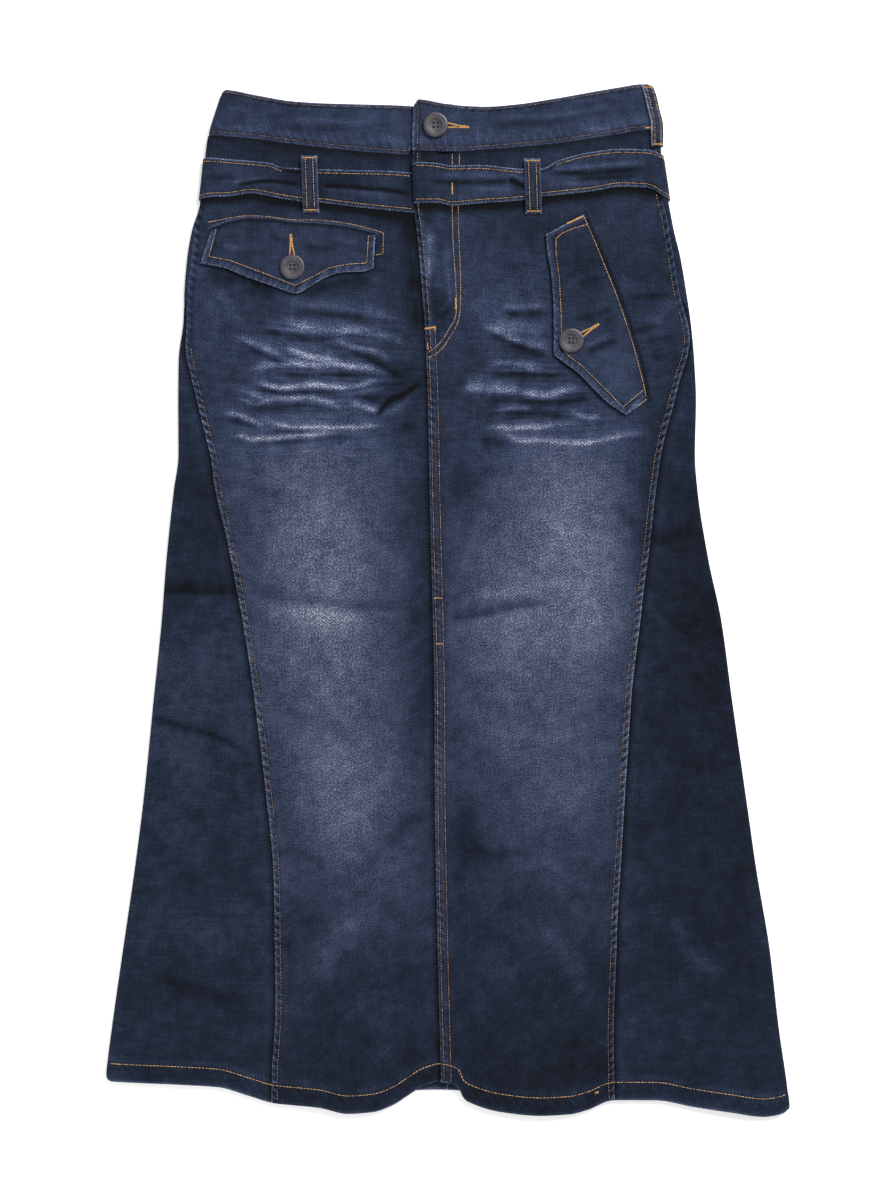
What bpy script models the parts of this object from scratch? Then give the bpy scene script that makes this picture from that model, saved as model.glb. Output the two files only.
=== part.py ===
"""Mermaid skirt in washed stretch denim, buttoned and laid flat on a table with its front up.

The skirt is a tube of cloth pressed flat. A point on it has a "turn", which says how far round the tube it is: 0 to 1 runs
across the front from the wearer's right to the left, 1 to 2 goes round the left side fold, 2 to 3 runs back under the skirt,
and 3 to 4 goes round the right side fold. The second measure is the "level", the height on the table towards the waist.
Every piece is a grid of turns and levels laid on that tube, so pieces that are sewn together or lie on each other share its
shape. Lengths are in millimetres until a mesh is made. +X is the wearer's left, +Y is the waist, +Z is up, and the origin is
on the table under the middle.
"""

import math

import bmesh
import bpy
import numpy as np

MM = 0.001

# Cloth thickness and clearances
CLOTH = 1.1
HEM_TURN = 1.0
HEM_DEPTH = 15.0
HEM_FADE = 2.5
LAYER_GAP = 0.5
SEAM_GAP = 0.3
LAY_GAP = 0.4

# Sewn-on strips and buttons
BAND_WALL = 2.4
BELT_WALL = 1.5
LOOP_WALL = 1.5
LOOP_WIDTH = 13.0
FLAP_WALL = 1.9
BUTTON_RADIUS = 10.4
BUTTON_SIDES = 24
BUTTON_HOLE_RADIUS = 0.95
BUTTON_HOLE_OFFSET = 1.55
BUTTON_HOLE_SIDES = 8
BUTTON_PROFILE = (
    # radius, height
    (0.0, 0.0),
    (8.8, 0.0),
    (10.1, 0.8),
    (BUTTON_RADIUS, 1.9),
    (9.6, 2.9),
    (8.0, 3.1),
    (5.1, 2.7),
    (4.6, 2.0),
    (0.0, 1.9),
)

# Centre front lap: the left panel lies on the right one, by more at the fly
FLY_LAP = 17.0
SEAM_LAP = 10.0
FLY_END = 232.0
FLY_TAPER = 20.0
LAP_FOLD = 0.5
LAP_RUN = 6.0
LAP_CLEAR = 1.5

# Doubled edge of the front panels along the gore seams
GORE_SEAM_RISE = 0.9
GORE_SEAM_STARTS = 248.0
GORE_SEAM_TAPER = 20.0

# How far the side folds bulge, and how far in that fades
FOLD_BULGE = 1.3
FOLD_FADE = 14.0

# Under the belt the back is lifted off the table by the belt's own thickness, and the front above it follows more softly
BELT_LIFT = BELT_WALL + LAY_GAP
BACK_LIFT_LEVELS = (311.0, 325.0)
FRONT_LIFT_LEVELS = (268.0, 330.0)

# Levels above the back's hem edge between which the front settles from the hem's thickness to the cloth's
BACK_HEM_LEVELS = (24.0, 52.0)

# Underlap of the waistband beneath the fly, and the run over which the overlap comes down past its end
UNDERLAP_END = 1.0
UNDERLAP_CLEAR = 0.8
UNDERLAP_RUN = 8.0

# Soft swell of the front over the hips, and of the waistband's middle
HIP = {"height": 1.0, "level": 230.0, "spread": 110.0, "x": -8.0, "half_width": 150.0}
BAND_SWELL = {"height": 0.4, "x": -8.0, "half_width": 120.0}
BAND_FOLD_BULGE = 0.9

# The side folds and the centre front edge, from waist to hem
OUTLINE = np.array((
    # level, right_fold, left_fold, centre
    (428.0, -186.0, 168.0, -25.4),
    (421.0, -188.8, 170.0, -26.5),
    (408.0, -193.2, 173.0, -29.1),
    (395.0, -197.4, 175.8, -29.6),
    (386.0, -199.8, 175.8, -29.8),
    (374.0, -201.6, 176.6, -29.9),
    (352.0, -203.6, 179.6, -29.8),
    (328.0, -206.8, 183.3, -29.2),
    (307.0, -213.4, 187.5, -26.5),
    (283.0, -217.5, 193.3, -24.0),
    (258.0, -219.6, 197.5, -22.0),
    (233.0, -220.4, 201.2, -20.0),
    (200.0, -224.4, 204.3, -18.5),
    (166.0, -224.8, 205.8, -17.2),
    (121.0, -224.6, 204.9, -16.2),
    (92.0, -228.4, 207.0, -15.7),
    (34.0, -234.6, 216.1, -14.3),
    (-16.0, -238.5, 226.7, -13.0),
    (-83.0, -245.3, 235.8, -11.7),
    (-166.0, -253.7, 247.7, -11.3),
    (-224.0, -261.1, 256.0, -10.4),
    (-290.0, -270.7, 267.0, -9.0),
    (-357.0, -280.2, 274.8, -7.3),
    (-394.0, -284.6, 280.2, -6.3),
    (-430.0, -286.4, 285.0, -5.8),
))

# Side seams and gore seams: distance round the cloth from each side fold, to the front positive
GORES = np.array((
    # level, front_right, back_right, front_left, back_left
    (392.0, -2.0, -2.0, 4.6, 4.6),
    (332.0, -1.0, -1.0, 5.7, 5.7),
    (320.0, 0.5, 0.5, 5.0, 5.0),
    (291.0, 5.0, 5.0, 6.7, 6.7),
    (262.0, 4.0, 4.0, 7.2, 7.2),
    (247.0, 3.5, 3.5, 6.4, 6.4),
    (245.0, 3.4, 1.0, 6.0, 3.6),
    (220.0, 4.8, -5.0, 3.4, -5.0),
    (206.0, 6.9, -9.0, 6.0, -9.0),
    (183.0, 12.5, -15.0, 14.3, -15.0),
    (141.0, 22.7, -24.0, 25.4, -25.0),
    (100.0, 33.1, -33.0, 33.9, -33.0),
    (46.0, 51.3, -49.0, 47.8, -48.0),
    (-8.0, 66.0, -63.0, 66.0, -63.0),
    (-66.0, 81.1, -78.0, 81.4, -78.0),
    (-116.0, 92.6, -89.0, 92.0, -89.0),
    (-169.0, 104.2, -100.0, 103.1, -100.0),
    (-218.0, 115.3, -111.0, 112.9, -110.0),
    (-279.0, 125.6, -122.0, 126.6, -122.0),
    (-353.0, 136.5, -133.0, 138.2, -134.0),
    (-430.0, 141.5, -139.0, 149.0, -142.0),
))

# Top and bottom edges of the waistband: front right part with its underlap, front left part, and back
WAIST_RIGHT = np.array((
    # x, top, bottom
    (-200.0, 424.0, 386.4),
    (-187.0, 424.0, 385.8),
    (-160.0, 419.6, 383.4),
    (-132.0, 414.8, 379.7),
    (-104.6, 412.9, 376.4),
    (-77.0, 412.1, 373.6),
    (-49.5, 411.4, 371.4),
    (-33.5, 410.7, 370.6),
    (-31.0, 410.4, 374.9),
    (20.0, 409.0, 375.2),
))
WAIST_LEFT = np.array((
    # x, top, bottom
    (-30.0, 409.5, 374.0),
    (-25.4, 415.7, 373.8),
    (-0.5, 411.8, 373.0),
    (31.0, 410.1, 374.6),
    (55.0, 411.8, 376.5),
    (86.7, 416.5, 379.4),
    (118.2, 422.1, 384.0),
    (142.3, 426.2, 387.7),
    (160.0, 428.6, 390.7),
    (177.0, 428.6, 391.0),
))

# The back's edges run between the same fold levels as the front's and dip in the middle
WAIST_BACK = {
    # column: (level at the right fold, level at the left fold, dip)
    1: (424.0, 428.6, 18.3),
    2: (386.4, 391.0, 15.0),
}
WAIST_FOLDS = (-200.0, 177.0)

# Hem edges: the front one is wavy, and the back one ends a little higher
HEM_FRONT = np.array((
    # x, level
    (-287.0, -395.3),
    (-279.6, -399.4),
    (-223.8, -402.1),
    (-191.7, -404.2),
    (-166.5, -411.3),
    (-145.2, -417.4),
    (-107.0, -421.2),
    (-83.5, -426.0),
    (-62.7, -424.5),
    (-44.5, -417.9),
    (-34.5, -411.3),
    (-20.0, -402.9),
    (-6.0, -399.5),
    (4.0, -401.8),
    (8.0, -404.0),
    (12.5, -413.5),
    (19.0, -417.6),
    (42.7, -424.5),
    (75.9, -427.6),
    (100.0, -426.5),
    (114.9, -423.0),
    (136.9, -415.0),
    (172.0, -415.2),
    (202.0, -420.4),
    (234.9, -425.2),
    (262.0, -428.8),
    (275.9, -426.6),
    (285.0, -421.0),
))
HEM_BACK = np.array((
    # x, level
    (-287.0, -395.0),
    (-223.0, -398.0),
    (-145.7, -405.5),
    (-83.5, -409.6),
    (-9.6, -406.7),
    (75.9, -412.9),
    (150.0, -410.5),
    (233.6, -417.1),
    (285.0, -420.6),
))

# Soft flutes that stand up towards the hem
FLUTES = (
    # x_hem, x_top, level_top, half_width, height
    (-84.0, -72.0, -70.0, 50.0, 3.0),
    (76.0, 62.0, -60.0, 52.0, 3.0),
    (236.0, 205.0, -190.0, 30.0, 2.2),
    (-226.0, -205.0, -170.0, 34.0, 1.4),
)
FLUTE_START_WIDTH = 0.6

# Belt edges on the front, and the levels at which they go round the side folds
BELT_LEFT = np.array((
    # x, top, bottom
    (-30.4, 362.3, 328.8),
    (-25.4, 363.6, 330.1),
    (-7.5, 362.4, 330.1),
    (2.0, 360.8, 328.0),
    (25.6, 361.3, 329.9),
    (60.9, 358.2, 332.4),
    (77.2, 358.4, 335.3),
    (91.5, 365.2, 336.9),
    (118.2, 372.0, 339.8),
    (143.9, 374.7, 343.8),
    (166.1, 373.8, 342.8),
    (177.0, 370.0, 337.0),
    (186.0, 368.5, 331.0),
))
BELT_RIGHT = np.array((
    # x, top, bottom
    (-210.0, 366.0, 331.5),
    (-201.0, 367.2, 334.8),
    (-181.6, 365.9, 335.9),
    (-164.0, 364.6, 338.4),
    (-148.6, 363.0, 335.9),
    (-138.0, 359.2, 333.8),
    (-122.5, 358.4, 331.6),
    (-107.6, 357.7, 330.7),
    (-76.9, 357.0, 326.9),
    (-49.5, 356.3, 324.1),
    (-30.4, 354.9, 322.2),
))

# Pocket flaps: stations along the sewn edge and the free edge below it
FLAP_RIGHT = np.array((
    # sewn_x, sewn_level, free_x, free_level
    (-196.4, 308.3, -205.7, 280.1),
    (-179.8, 314.2, -187.2, 276.8),
    (-164.0, 316.2, -166.5, 268.5),
    (-144.1, 315.0, -145.7, 261.4),
    (-129.1, 312.9, -126.7, 255.2),
    (-115.0, 312.3, -115.9, 260.2),
    (-98.4, 311.0, -97.6, 270.3),
    (-83.9, 309.2, -83.9, 273.1),
    (-71.0, 306.3, -71.5, 273.3),
    (-61.1, 303.4, -62.7, 276.0),
))
FLAP_LEFT = np.array((
    # sewn_x, sewn_level, free_x, free_level
    (113.2, 320.8, 81.0, 303.6),
    (120.7, 304.2, 82.5, 289.3),
    (128.0, 287.9, 85.8, 268.5),
    (134.8, 271.0, 87.5, 237.0),
    (142.3, 252.7, 87.5, 207.1),
    (148.9, 234.5, 95.4, 198.3),
    (154.7, 216.2, 107.4, 189.7),
    (159.7, 200.4, 119.9, 176.8),
    (163.4, 183.6, 131.1, 165.6),
    (166.1, 167.2, 147.1, 154.5),
))
FLAP_ROWS = (0.0, 0.3, 0.65, 1.0)
BUTTON_SEAT_POINTS = 13

# Front loops over the belt: centre line at both ends
LOOP_RIGHT = {"x_top": -115.9, "x_bottom": -114.2, "top": 369.0, "bottom": 322.4}
LOOP_LEFT = {"x_top": 69.3, "x_bottom": 70.7, "top": 366.6, "bottom": 321.4}
LOOP_OVER_BELT = (361.0, 350.0, 340.0, 329.6)
LOOP_SEWN = 2.5
SIDE_LOOP = {"top": 427.4, "bottom": 376.8, "front": 9.5, "behind": -1.6, "stand_off": 0.6, "stands_off_below": (386.0, 396.0)}

# Button centres: x, level
BUTTON_WAIST = (-10.7, 394.2)
BUTTON_RIGHT = (-129.6, 276.6)
BUTTON_LEFT = (101.8, 215.7)

# Levels of the rows of the panels before their ends follow the waist seam and the hem
ROWS = np.array((
    372, 358, 345, 335, 326, 318, 308, 294, 278, 262, 247, 245, 231, 216, 200, 180, 156, 130, 102, 72,
    40, 6, -28, -62, -96, -130, -164, -198, -232, -266, -298, -328, -355, -376, -389.5, -392, -407,
), dtype=float)
TOP_ROW = 372.0
TOP_FIT = 338.0
HEM_ROW = -407.0
HEM_FIT = -385.0
HEM_FREE = -245.0
GORE_APEX = 245.0

RIGHT, LEFT = -1, 1
BACK_MIDDLE = -1.501

# Columns of the grids: distances from a seam or a side fold round the cloth, places across the front (x), or shares of it
FRONT_NEAR = np.array((0.0, 1.7, 3.4, 5.1, 7.5, 11.0))
BACK_NEAR = np.array((0.0, 2.2, 4.4, 6.6, 11.0))
FRONT_MIDDLE_COLUMNS = 8
LAP_COLUMN = 4.2
BACK_SHARES = (0.2, 0.4, 0.6, 0.8, 1.0)
GORE_FRONT_SHARES = (0.0, 0.08, 0.2, 0.45, 0.72, 1.0)
GORE_NARROW = 8.0
GORE_WIDE = 48.0
BAND_NEAR = (16.0, 8.0, 4.6, 2.3, 0.0, -2.3, -4.6, -9.0)
BAND_RIGHT_X = (UNDERLAP_END, -14.0, -30.6, -33.6, -50.0, -77.0, -105.0, -132.0, -155.0)
BAND_LEFT_X = (142.0, 118.0, 87.0, 55.0, 31.0, 16.0, 9.0, 5.0, 1.8, -12.0, -25.0)
BAND_BACK_SHARES = (0.1, 0.2, 0.3, 0.4, 0.5)
BAND_ROWS = (0.0, 0.33, 0.67, 1.0)
BELT_NEAR = (20.0, 12.0, 6.6, 3.3, 1.65, 0.0, -1.65, -3.3, -6.6)
BELT_RIGHT_X = (-50.0, -64.0, -77.0, -92.0, -107.6, -122.5, -130.0, -138.0, -148.6, -164.0, -176.0)
BELT_LEFT_X = (155.0, 143.9, 118.2, 104.0, 91.5, 84.0, 77.2, 60.9, 43.0, 25.6, 10.0, 2.0)
BELT_BACK_SHARES = (0.06, 0.5)
BELT_ROWS = (0.0, 0.5, 1.0)
BELT_END_GAP = 0.4
BELT_LAP_COLUMN = 5.0

COLOURS = {
    "panel": (0.045, 0.062, 0.110, 1.0),
    "gore": (0.030, 0.042, 0.075, 1.0),
    "band": (0.036, 0.050, 0.090, 1.0),
    "trim": (0.050, 0.068, 0.120, 1.0),
    "button": (0.060, 0.058, 0.065, 1.0),
}


def smooth(low, high, value):
    """0 below low, 1 above high, and an even ease between them."""
    t = np.clip((value - low) / (high - low), 0.0, 1.0)
    return t * t * (3.0 - 2.0 * t)


def bump(value, middle, half_width):
    """1 in the middle of a rounded hump, falling away on both sides."""
    return np.exp(-(((value - middle) / half_width) ** 2))


def read(table, column, at):
    """Smooth value of a table's column at the given places, with no overshoot between rows (monotone cubic)."""
    table = table[np.argsort(table[:, 0])]
    x, y = table[:, 0], table[:, column]
    step = np.diff(x)
    slope = np.diff(y) / step
    tangent = np.zeros_like(y)
    tangent[0], tangent[-1] = slope[0], slope[-1]
    same = slope[:-1] * slope[1:] > 0.0
    total = np.where(same, slope[:-1] + slope[1:], 1.0)
    tangent[1:-1] = np.where(same, 2.0 * slope[:-1] * slope[1:] / total, 0.0)
    at = np.clip(at, x[0], x[-1])
    i = np.clip(np.searchsorted(x, at, side="right") - 1, 0, len(step) - 1)
    t = (at - x[i]) / step[i]
    rest = 1.0 - t
    return (
        (1.0 + 2.0 * t) * rest**2 * y[i]
        + t * rest**2 * step[i] * tangent[i]
        + t**2 * (3.0 - 2.0 * t) * y[i + 1]
        - t**2 * rest * step[i] * tangent[i + 1]
    )


def waist_back(column, x):
    """Level of the waistband's top edge (column 1) or bottom edge (column 2) across the back: a shallow arc."""
    right, left, dip = WAIST_BACK[column]
    share = np.clip((x - WAIST_FOLDS[0]) / (WAIST_FOLDS[1] - WAIST_FOLDS[0]), 0.0, 1.0)
    return right + (left - right) * share - dip * 4.0 * share * (1.0 - share)


def fold_x(side, level):
    """Outermost point of a side fold."""
    return read(OUTLINE, 1 if side == RIGHT else 2, level)


def centre_x(level):
    """Left panel's edge at the fly and along the centre front seam."""
    return read(OUTLINE, 3, level)


def lap_width(level):
    """How far the right panel goes on beneath the left one."""
    return SEAM_LAP + (FLY_LAP - SEAM_LAP) * smooth(FLY_END - FLY_TAPER, FLY_END, level)


def lap_step(x, level):
    """1 where the left panel lies on the right one, 0 where it has come down beside it."""
    past = x - centre_x(level) - lap_width(level)
    return 1.0 - smooth(LAP_CLEAR, LAP_CLEAR + LAP_RUN, past)


def lap_rise(x, level):
    """How far the left panel is lifted where it lies on the right one."""
    return (front_wall(x, level) + SEAM_GAP) * lap_step(x, level)


def belt_lift(level):
    """How far the back panels are off the table where the belt passes under them."""
    return BELT_LIFT * smooth(*BACK_LIFT_LEVELS, level)


def hem_share(x, level, table):
    """1 inside the turned-up hem, 0 above it."""
    return 1.0 - smooth(HEM_DEPTH, HEM_DEPTH + HEM_FADE, level - read(table, 1, x))


def front_wall(x, level):
    """Thickness of the front."""
    return CLOTH + HEM_TURN * hem_share(x, level, HEM_FRONT)


def back_wall(x, level):
    """Thickness of the back."""
    return CLOTH + HEM_TURN * hem_share(x, level, HEM_BACK)


def relief(x, level):
    """How far the front stands off the back: a swell over the hips and flutes that grow towards the hem."""
    height = HIP["height"] * bump(level, HIP["level"], HIP["spread"]) * bump(x, HIP["x"], HIP["half_width"])
    for x_hem, x_top, level_top, half_width, tall in FLUTES:
        grown = smooth(level_top, HEM_ROW, level)
        middle = x_top + (x_hem - x_top) * grown
        width = half_width * (FLUTE_START_WIDTH + (1.0 - FLUTE_START_WIDTH) * grown)
        height = height + tall * grown * bump(x, middle, width)
    return height


def above_back(x, level):
    """Height of the front's inner side over the table before the relief, clear of the back and its hem."""
    hem_room = HEM_TURN * (1.0 - smooth(*BACK_HEM_LEVELS, level - read(HEM_BACK, 1, x)))
    return BELT_LIFT * smooth(*FRONT_LIFT_LEVELS, level) + CLOTH + hem_room + LAYER_GAP


class Skirt:
    """The flat tube of the skirt itself."""

    def under(self, level):
        return belt_lift(level)

    def crest(self, side, level):
        """Height of the cloth's face where it starts to turn round a side fold."""
        x = fold_x(side, level)
        return above_back(x, level) + front_wall(x, level) + FOLD_BULGE

    def face(self, x, level):
        """Height of the front's face between the side folds."""
        sides = [x - fold_x(RIGHT, level), fold_x(LEFT, level) - x]
        inward = np.minimum(sides[0], sides[1])
        radius = (self.crest(RIGHT, level) - self.under(level)) / 2.0
        near = bump(np.maximum(inward, radius), radius, FOLD_FADE)
        flat = above_back(x, level) + front_wall(x, level) + relief(x, level)
        folded = np.where(sides[0] < sides[1], self.crest(RIGHT, level), self.crest(LEFT, level))
        return flat + (folded - flat) * near


class Band:
    """The flat tube of the waistband, which is thicker than the skirt and lies right down on the table."""

    def under(self, level):
        return 0.0 * level

    def crest(self, side, level):
        return self.under(level) + 2.0 * BAND_WALL + LAYER_GAP + BAND_FOLD_BULGE

    def face(self, x, level):
        inward = np.minimum(x - fold_x(RIGHT, level), fold_x(LEFT, level) - x)
        near = bump(np.maximum(inward, BAND_WALL), BAND_WALL, FOLD_FADE)
        swell = BAND_SWELL["height"] * bump(x, BAND_SWELL["x"], BAND_SWELL["half_width"])
        flat = 2.0 * BAND_WALL + LAYER_GAP + swell
        return flat + (self.crest(RIGHT, level) - flat) * near


def radii(tube, level):
    """Radius of the right and the left side fold."""
    return [(tube.crest(side, level) - tube.under(level)) / 2.0 for side in (RIGHT, LEFT)]


def flat_span(tube, level):
    """Where the front is flat: from the start of the right fold to the start of the left one."""
    right, left = radii(tube, level)
    return fold_x(RIGHT, level) + right, fold_x(LEFT, level) - left


def place(tube, turn, level, out=0.0):
    """Points at the given turns and levels, moved out from the cloth's face by a distance (inwards if negative)."""
    turn, level, out = np.broadcast_arrays(np.mod(turn, 4.0), np.asarray(level, float), np.asarray(out, float))
    first, last = flat_span(tube, level)
    right, left = radii(tube, level)
    low = tube.under(level)
    width = last - first
    bend = np.pi * np.mod(turn, 1.0)
    front_x = first + turn * width
    cases = [turn < 1.0, turn < 2.0, turn < 3.0]
    x = np.select(cases, [
        front_x,
        last + (left + out) * np.sin(bend),
        last - (turn - 2.0) * width,
    ], first - (right + out) * np.sin(bend))
    z = np.select(cases, [
        tube.face(front_x, level) + out,
        low + left + (left + out) * np.cos(bend),
        low - out,
    ], low + right - (right + out) * np.cos(bend))
    return np.stack((x, level, z), axis=-1)


def turn_round(tube, side, distance, level):
    """Turn of a point so far round the cloth from a side fold's outermost point, to the front positive."""
    first, last = flat_span(tube, level)
    radius = radii(tube, level)[0 if side == RIGHT else 1]
    half = np.pi * radius / 2.0
    on_front = np.maximum(distance - half, 0.0) / (last - first)
    on_back = np.maximum(-distance - half, 0.0) / (last - first)
    round_fold = np.clip(distance, -half, half) / (2.0 * half)
    if side == RIGHT:
        return -0.5 + round_fold + on_front - on_back
    return 1.5 - round_fold - on_front + on_back


def turn_front(tube, x, level):
    """Turn of a point on the front."""
    first, last = flat_span(tube, level)
    return (x - first) / (last - first)


def turn_back(tube, x, level, side):
    """Turn of a point on the back, counted so that it follows on from the given side's fold."""
    first, last = flat_span(tube, level)
    if side == RIGHT:
        return -1.0 - (x - first) / (last - first)
    return 2.0 + (last - x) / (last - first)


def frontness(turn):
    """1 on the front, 0 on the back, and an even change round the side folds."""
    turn = np.mod(turn, 4.0)
    bend = np.pi * np.mod(turn, 1.0)
    return np.select([turn < 1.0, turn < 2.0, turn < 3.0], [1.0, (1.0 + np.cos(bend)) / 2.0, 0.0], (1.0 - np.cos(bend)) / 2.0)


def between(start, end, shares):
    """Values at the given shares of the way from start to end, as columns."""
    return start[:, None] + (end - start)[:, None] * np.asarray(shares)[None, :]


def fit_row(row, x, front, waist):
    """Level of a panel's row at one place: the top rows follow the waist seam and the last rows follow the hem."""
    seam = front * read(waist, 2, x) + (1.0 - front) * waist_back(2, x)
    hem = front * read(HEM_FRONT, 1, x) + (1.0 - front) * read(HEM_BACK, 1, x)
    top_share = np.clip((row - TOP_FIT) / (TOP_ROW - TOP_FIT), 0.0, 1.0)
    hem_part = smooth(HEM_FREE, HEM_FIT, row)
    return row + top_share * (seam - SEAM_GAP - TOP_ROW) + hem_part * (hem - HEM_ROW)


def panel_grid(rows, columns, waist):
    """Turn and level of each point of a panel.

    columns gives the turns of a whole row for the levels it is asked for, and each column settles at its own levels.
    """
    count = columns(rows).shape[1]
    level = np.repeat(rows[:, None], count, axis=1)
    for _ in range(4):
        turn = np.stack([columns(level[:, j])[:, j] for j in range(count)], axis=1)
        x = place(SKIRT, turn, level)[..., 0]
        level = fit_row(rows[:, None], x, frontness(turn), waist)
    return turn, level


def wall_of(turn, level):
    """Thickness of a panel at each point of its grid."""
    x = place(SKIRT, turn, level)[..., 0]
    front = frontness(turn)
    return front * front_wall(x, level) + (1.0 - front) * back_wall(x, level)


def seam_rise(level):
    """How far the doubled edge of a front panel stands up beside its gore."""
    return GORE_SEAM_RISE * (1.0 - smooth(GORE_SEAM_STARTS - GORE_SEAM_TAPER, GORE_SEAM_STARTS, level))


def material(name, roughness=0.85, metallic=0.0):
    """One Principled material per object."""
    made = bpy.data.materials.new(name)
    made.use_nodes = True
    shader = made.node_tree.nodes["Principled BSDF"]
    shader.inputs["Base Color"].default_value = COLOURS[name.split(".")[0]]
    shader.inputs["Roughness"].default_value = roughness
    shader.inputs["Metallic"].default_value = metallic
    return made


def add_object(name, mesh, finish):
    """Object with its material, in the scene's collection."""
    thing = bpy.data.objects.new(name, mesh)
    mesh.materials.clear()
    mesh.materials.append(material(f"{finish}.{name}", 0.45 if finish == "button" else 0.85))
    bpy.context.scene.collection.objects.link(thing)
    return thing


def slab(name, outer, inner, finish):
    """Closed wall between two grids of points: its two faces and a strip round the rim, facing outwards."""
    rows, columns = outer.shape[:2]
    index = np.arange(rows * columns).reshape(rows, columns)
    a, b = index[:-1, :-1].ravel(), index[:-1, 1:].ravel()
    c, d = index[1:, 1:].ravel(), index[1:, :-1].ravel()
    top = np.concatenate((np.stack((a, b, c), axis=1), np.stack((a, c, d), axis=1)))
    bottom = top[:, ::-1] + rows * columns
    rim = np.concatenate((index[0, :], index[1:, -1], index[-1, -2::-1], index[-2:0:-1, 0]))
    following = np.roll(rim, -1)
    far_rim, far_following = rim + rows * columns, following + rows * columns
    edge = np.concatenate((
        np.stack((following, rim, far_rim), axis=1),
        np.stack((following, far_rim, far_following), axis=1),
    ))
    faces = np.concatenate((top, bottom, edge))
    points = np.concatenate((outer.reshape(-1, 3), inner.reshape(-1, 3))) * MM
    corners = points[faces]
    volume = np.einsum("ij,ij->i", corners[:, 0], np.cross(corners[:, 1], corners[:, 2])).sum()
    if volume < 0.0:
        faces = faces[:, ::-1]
    mesh = bpy.data.meshes.new(name)
    mesh.from_pydata(points.tolist(), [], faces.tolist())
    mesh.update()
    mesh.shade_smooth()
    mesh.set_sharp_from_angle(angle=math.radians(40.0))
    return add_object(name, mesh, finish)


def front_panel_right():
    """Front panel from the right gore seam to the far side of the centre lap, where it lies beneath the left panel."""

    def columns(level):
        seam = read(GORES, 1, level) + SEAM_GAP / 2.0
        near = turn_round(SKIRT, RIGHT, seam[:, None] + FRONT_NEAR[None, :], level[:, None])
        centre = turn_front(SKIRT, centre_x(level) - LAP_COLUMN, level)
        end = turn_front(SKIRT, centre_x(level) + lap_width(level), level)
        middle = between(near[:, -1], centre, np.linspace(0.0, 1.0, FRONT_MIDDLE_COLUMNS)[1:])
        return np.concatenate((near, middle, end[:, None]), axis=1)

    turn, level = panel_grid(ROWS, columns, WAIST_RIGHT)
    rise = np.zeros_like(turn)
    doubled = slice(None, len(FRONT_NEAR) - 1)
    rise[:, doubled] = seam_rise(level[:, doubled])
    slab("front_panel_right", place(SKIRT, turn, level, rise), place(SKIRT, turn, level, -wall_of(turn, level)), "panel")


def front_panel_left():
    """Front panel from the fly and centre edge, where it lies on the right panel, to the left gore seam."""

    def columns(level):
        seam = read(GORES, 3, level) + SEAM_GAP / 2.0
        near = turn_round(SKIRT, LEFT, seam[:, None] + FRONT_NEAR[None, ::-1], level[:, None])
        edge = centre_x(level)
        lap = edge + lap_width(level)
        down = lap + LAP_CLEAR + LAP_RUN
        start = np.stack((edge, (edge + lap) / 2.0, lap + LAP_CLEAR, down - LAP_RUN / 2.0, down, down + 2.0 * LAP_RUN), axis=1)
        start = turn_front(SKIRT, start, level[:, None])
        middle = between(start[:, -1], near[:, 0], np.linspace(0.0, 1.0, FRONT_MIDDLE_COLUMNS)[1:-1])
        return np.concatenate((start, middle, near), axis=1)

    turn, level = panel_grid(ROWS, columns, WAIST_LEFT)
    rise = np.zeros_like(turn)
    doubled = slice(1 - len(FRONT_NEAR), None)
    rise[:, doubled] = seam_rise(level[:, doubled])
    x = place(SKIRT, turn, level)[..., 0]
    lift = lap_rise(x, level)
    outer = place(SKIRT, turn, level, rise + lift + LAP_FOLD * lap_step(x, level))
    inner = place(SKIRT, turn, level, lift - wall_of(turn, level))
    slab("front_panel_left", outer, inner, "panel")


def back_panel(name, side):
    """Back panel from its side and gore seams to the centre back seam, flat on the table."""
    seam_column = 2 if side == RIGHT else 4

    def columns(level):
        seam = read(GORES, seam_column, level) - SEAM_GAP / 2.0
        near = turn_round(SKIRT, side, seam[:, None] - BACK_NEAR[None, :], level[:, None])
        middle_x = centre_x(level) + SEAM_LAP / 2.0 + side * SEAM_GAP / 2.0
        end = turn_back(SKIRT, middle_x, level, side)
        return np.concatenate((near, between(near[:, -1], end, BACK_SHARES)), axis=1)

    turn, level = panel_grid(ROWS, columns, WAIST_RIGHT if side == RIGHT else WAIST_LEFT)
    slab(name, place(SKIRT, turn, level), place(SKIRT, turn, level, -wall_of(turn, level)), "panel")


def side_gore(name, side):
    """Gore that goes round a side fold, from its point at the hip down to the hem."""
    front_column, back_column = (1, 2) if side == RIGHT else (3, 4)
    half = np.pi * (above_back(0.0, 0.0) + CLOTH + FOLD_BULGE) / 4.0

    def columns(level):
        front = read(GORES, front_column, level) - SEAM_GAP / 2.0
        back = read(GORES, back_column, level) + SEAM_GAP / 2.0
        wide = np.concatenate((
            between(back, np.full_like(back, -half), (0.0, 0.5)),
            np.repeat([[-half, -half / 2.0, 0.0, half / 2.0]], len(level), axis=0),
            between(np.full_like(front, half), front, GORE_FRONT_SHARES),
        ), axis=1)
        narrow = between(back, front, np.linspace(0.0, 1.0, wide.shape[1]))
        share = np.clip((front - back - GORE_NARROW) / (GORE_WIDE - GORE_NARROW), 0.0, 1.0)[:, None]
        return turn_round(SKIRT, side, narrow + (wide - narrow) * share, level[:, None])

    turn, level = panel_grid(ROWS[ROWS <= GORE_APEX], columns, WAIST_RIGHT if side == RIGHT else WAIST_LEFT)
    slab(name, place(SKIRT, turn, level), place(SKIRT, turn, level, -wall_of(turn, level)), "gore")


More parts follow.
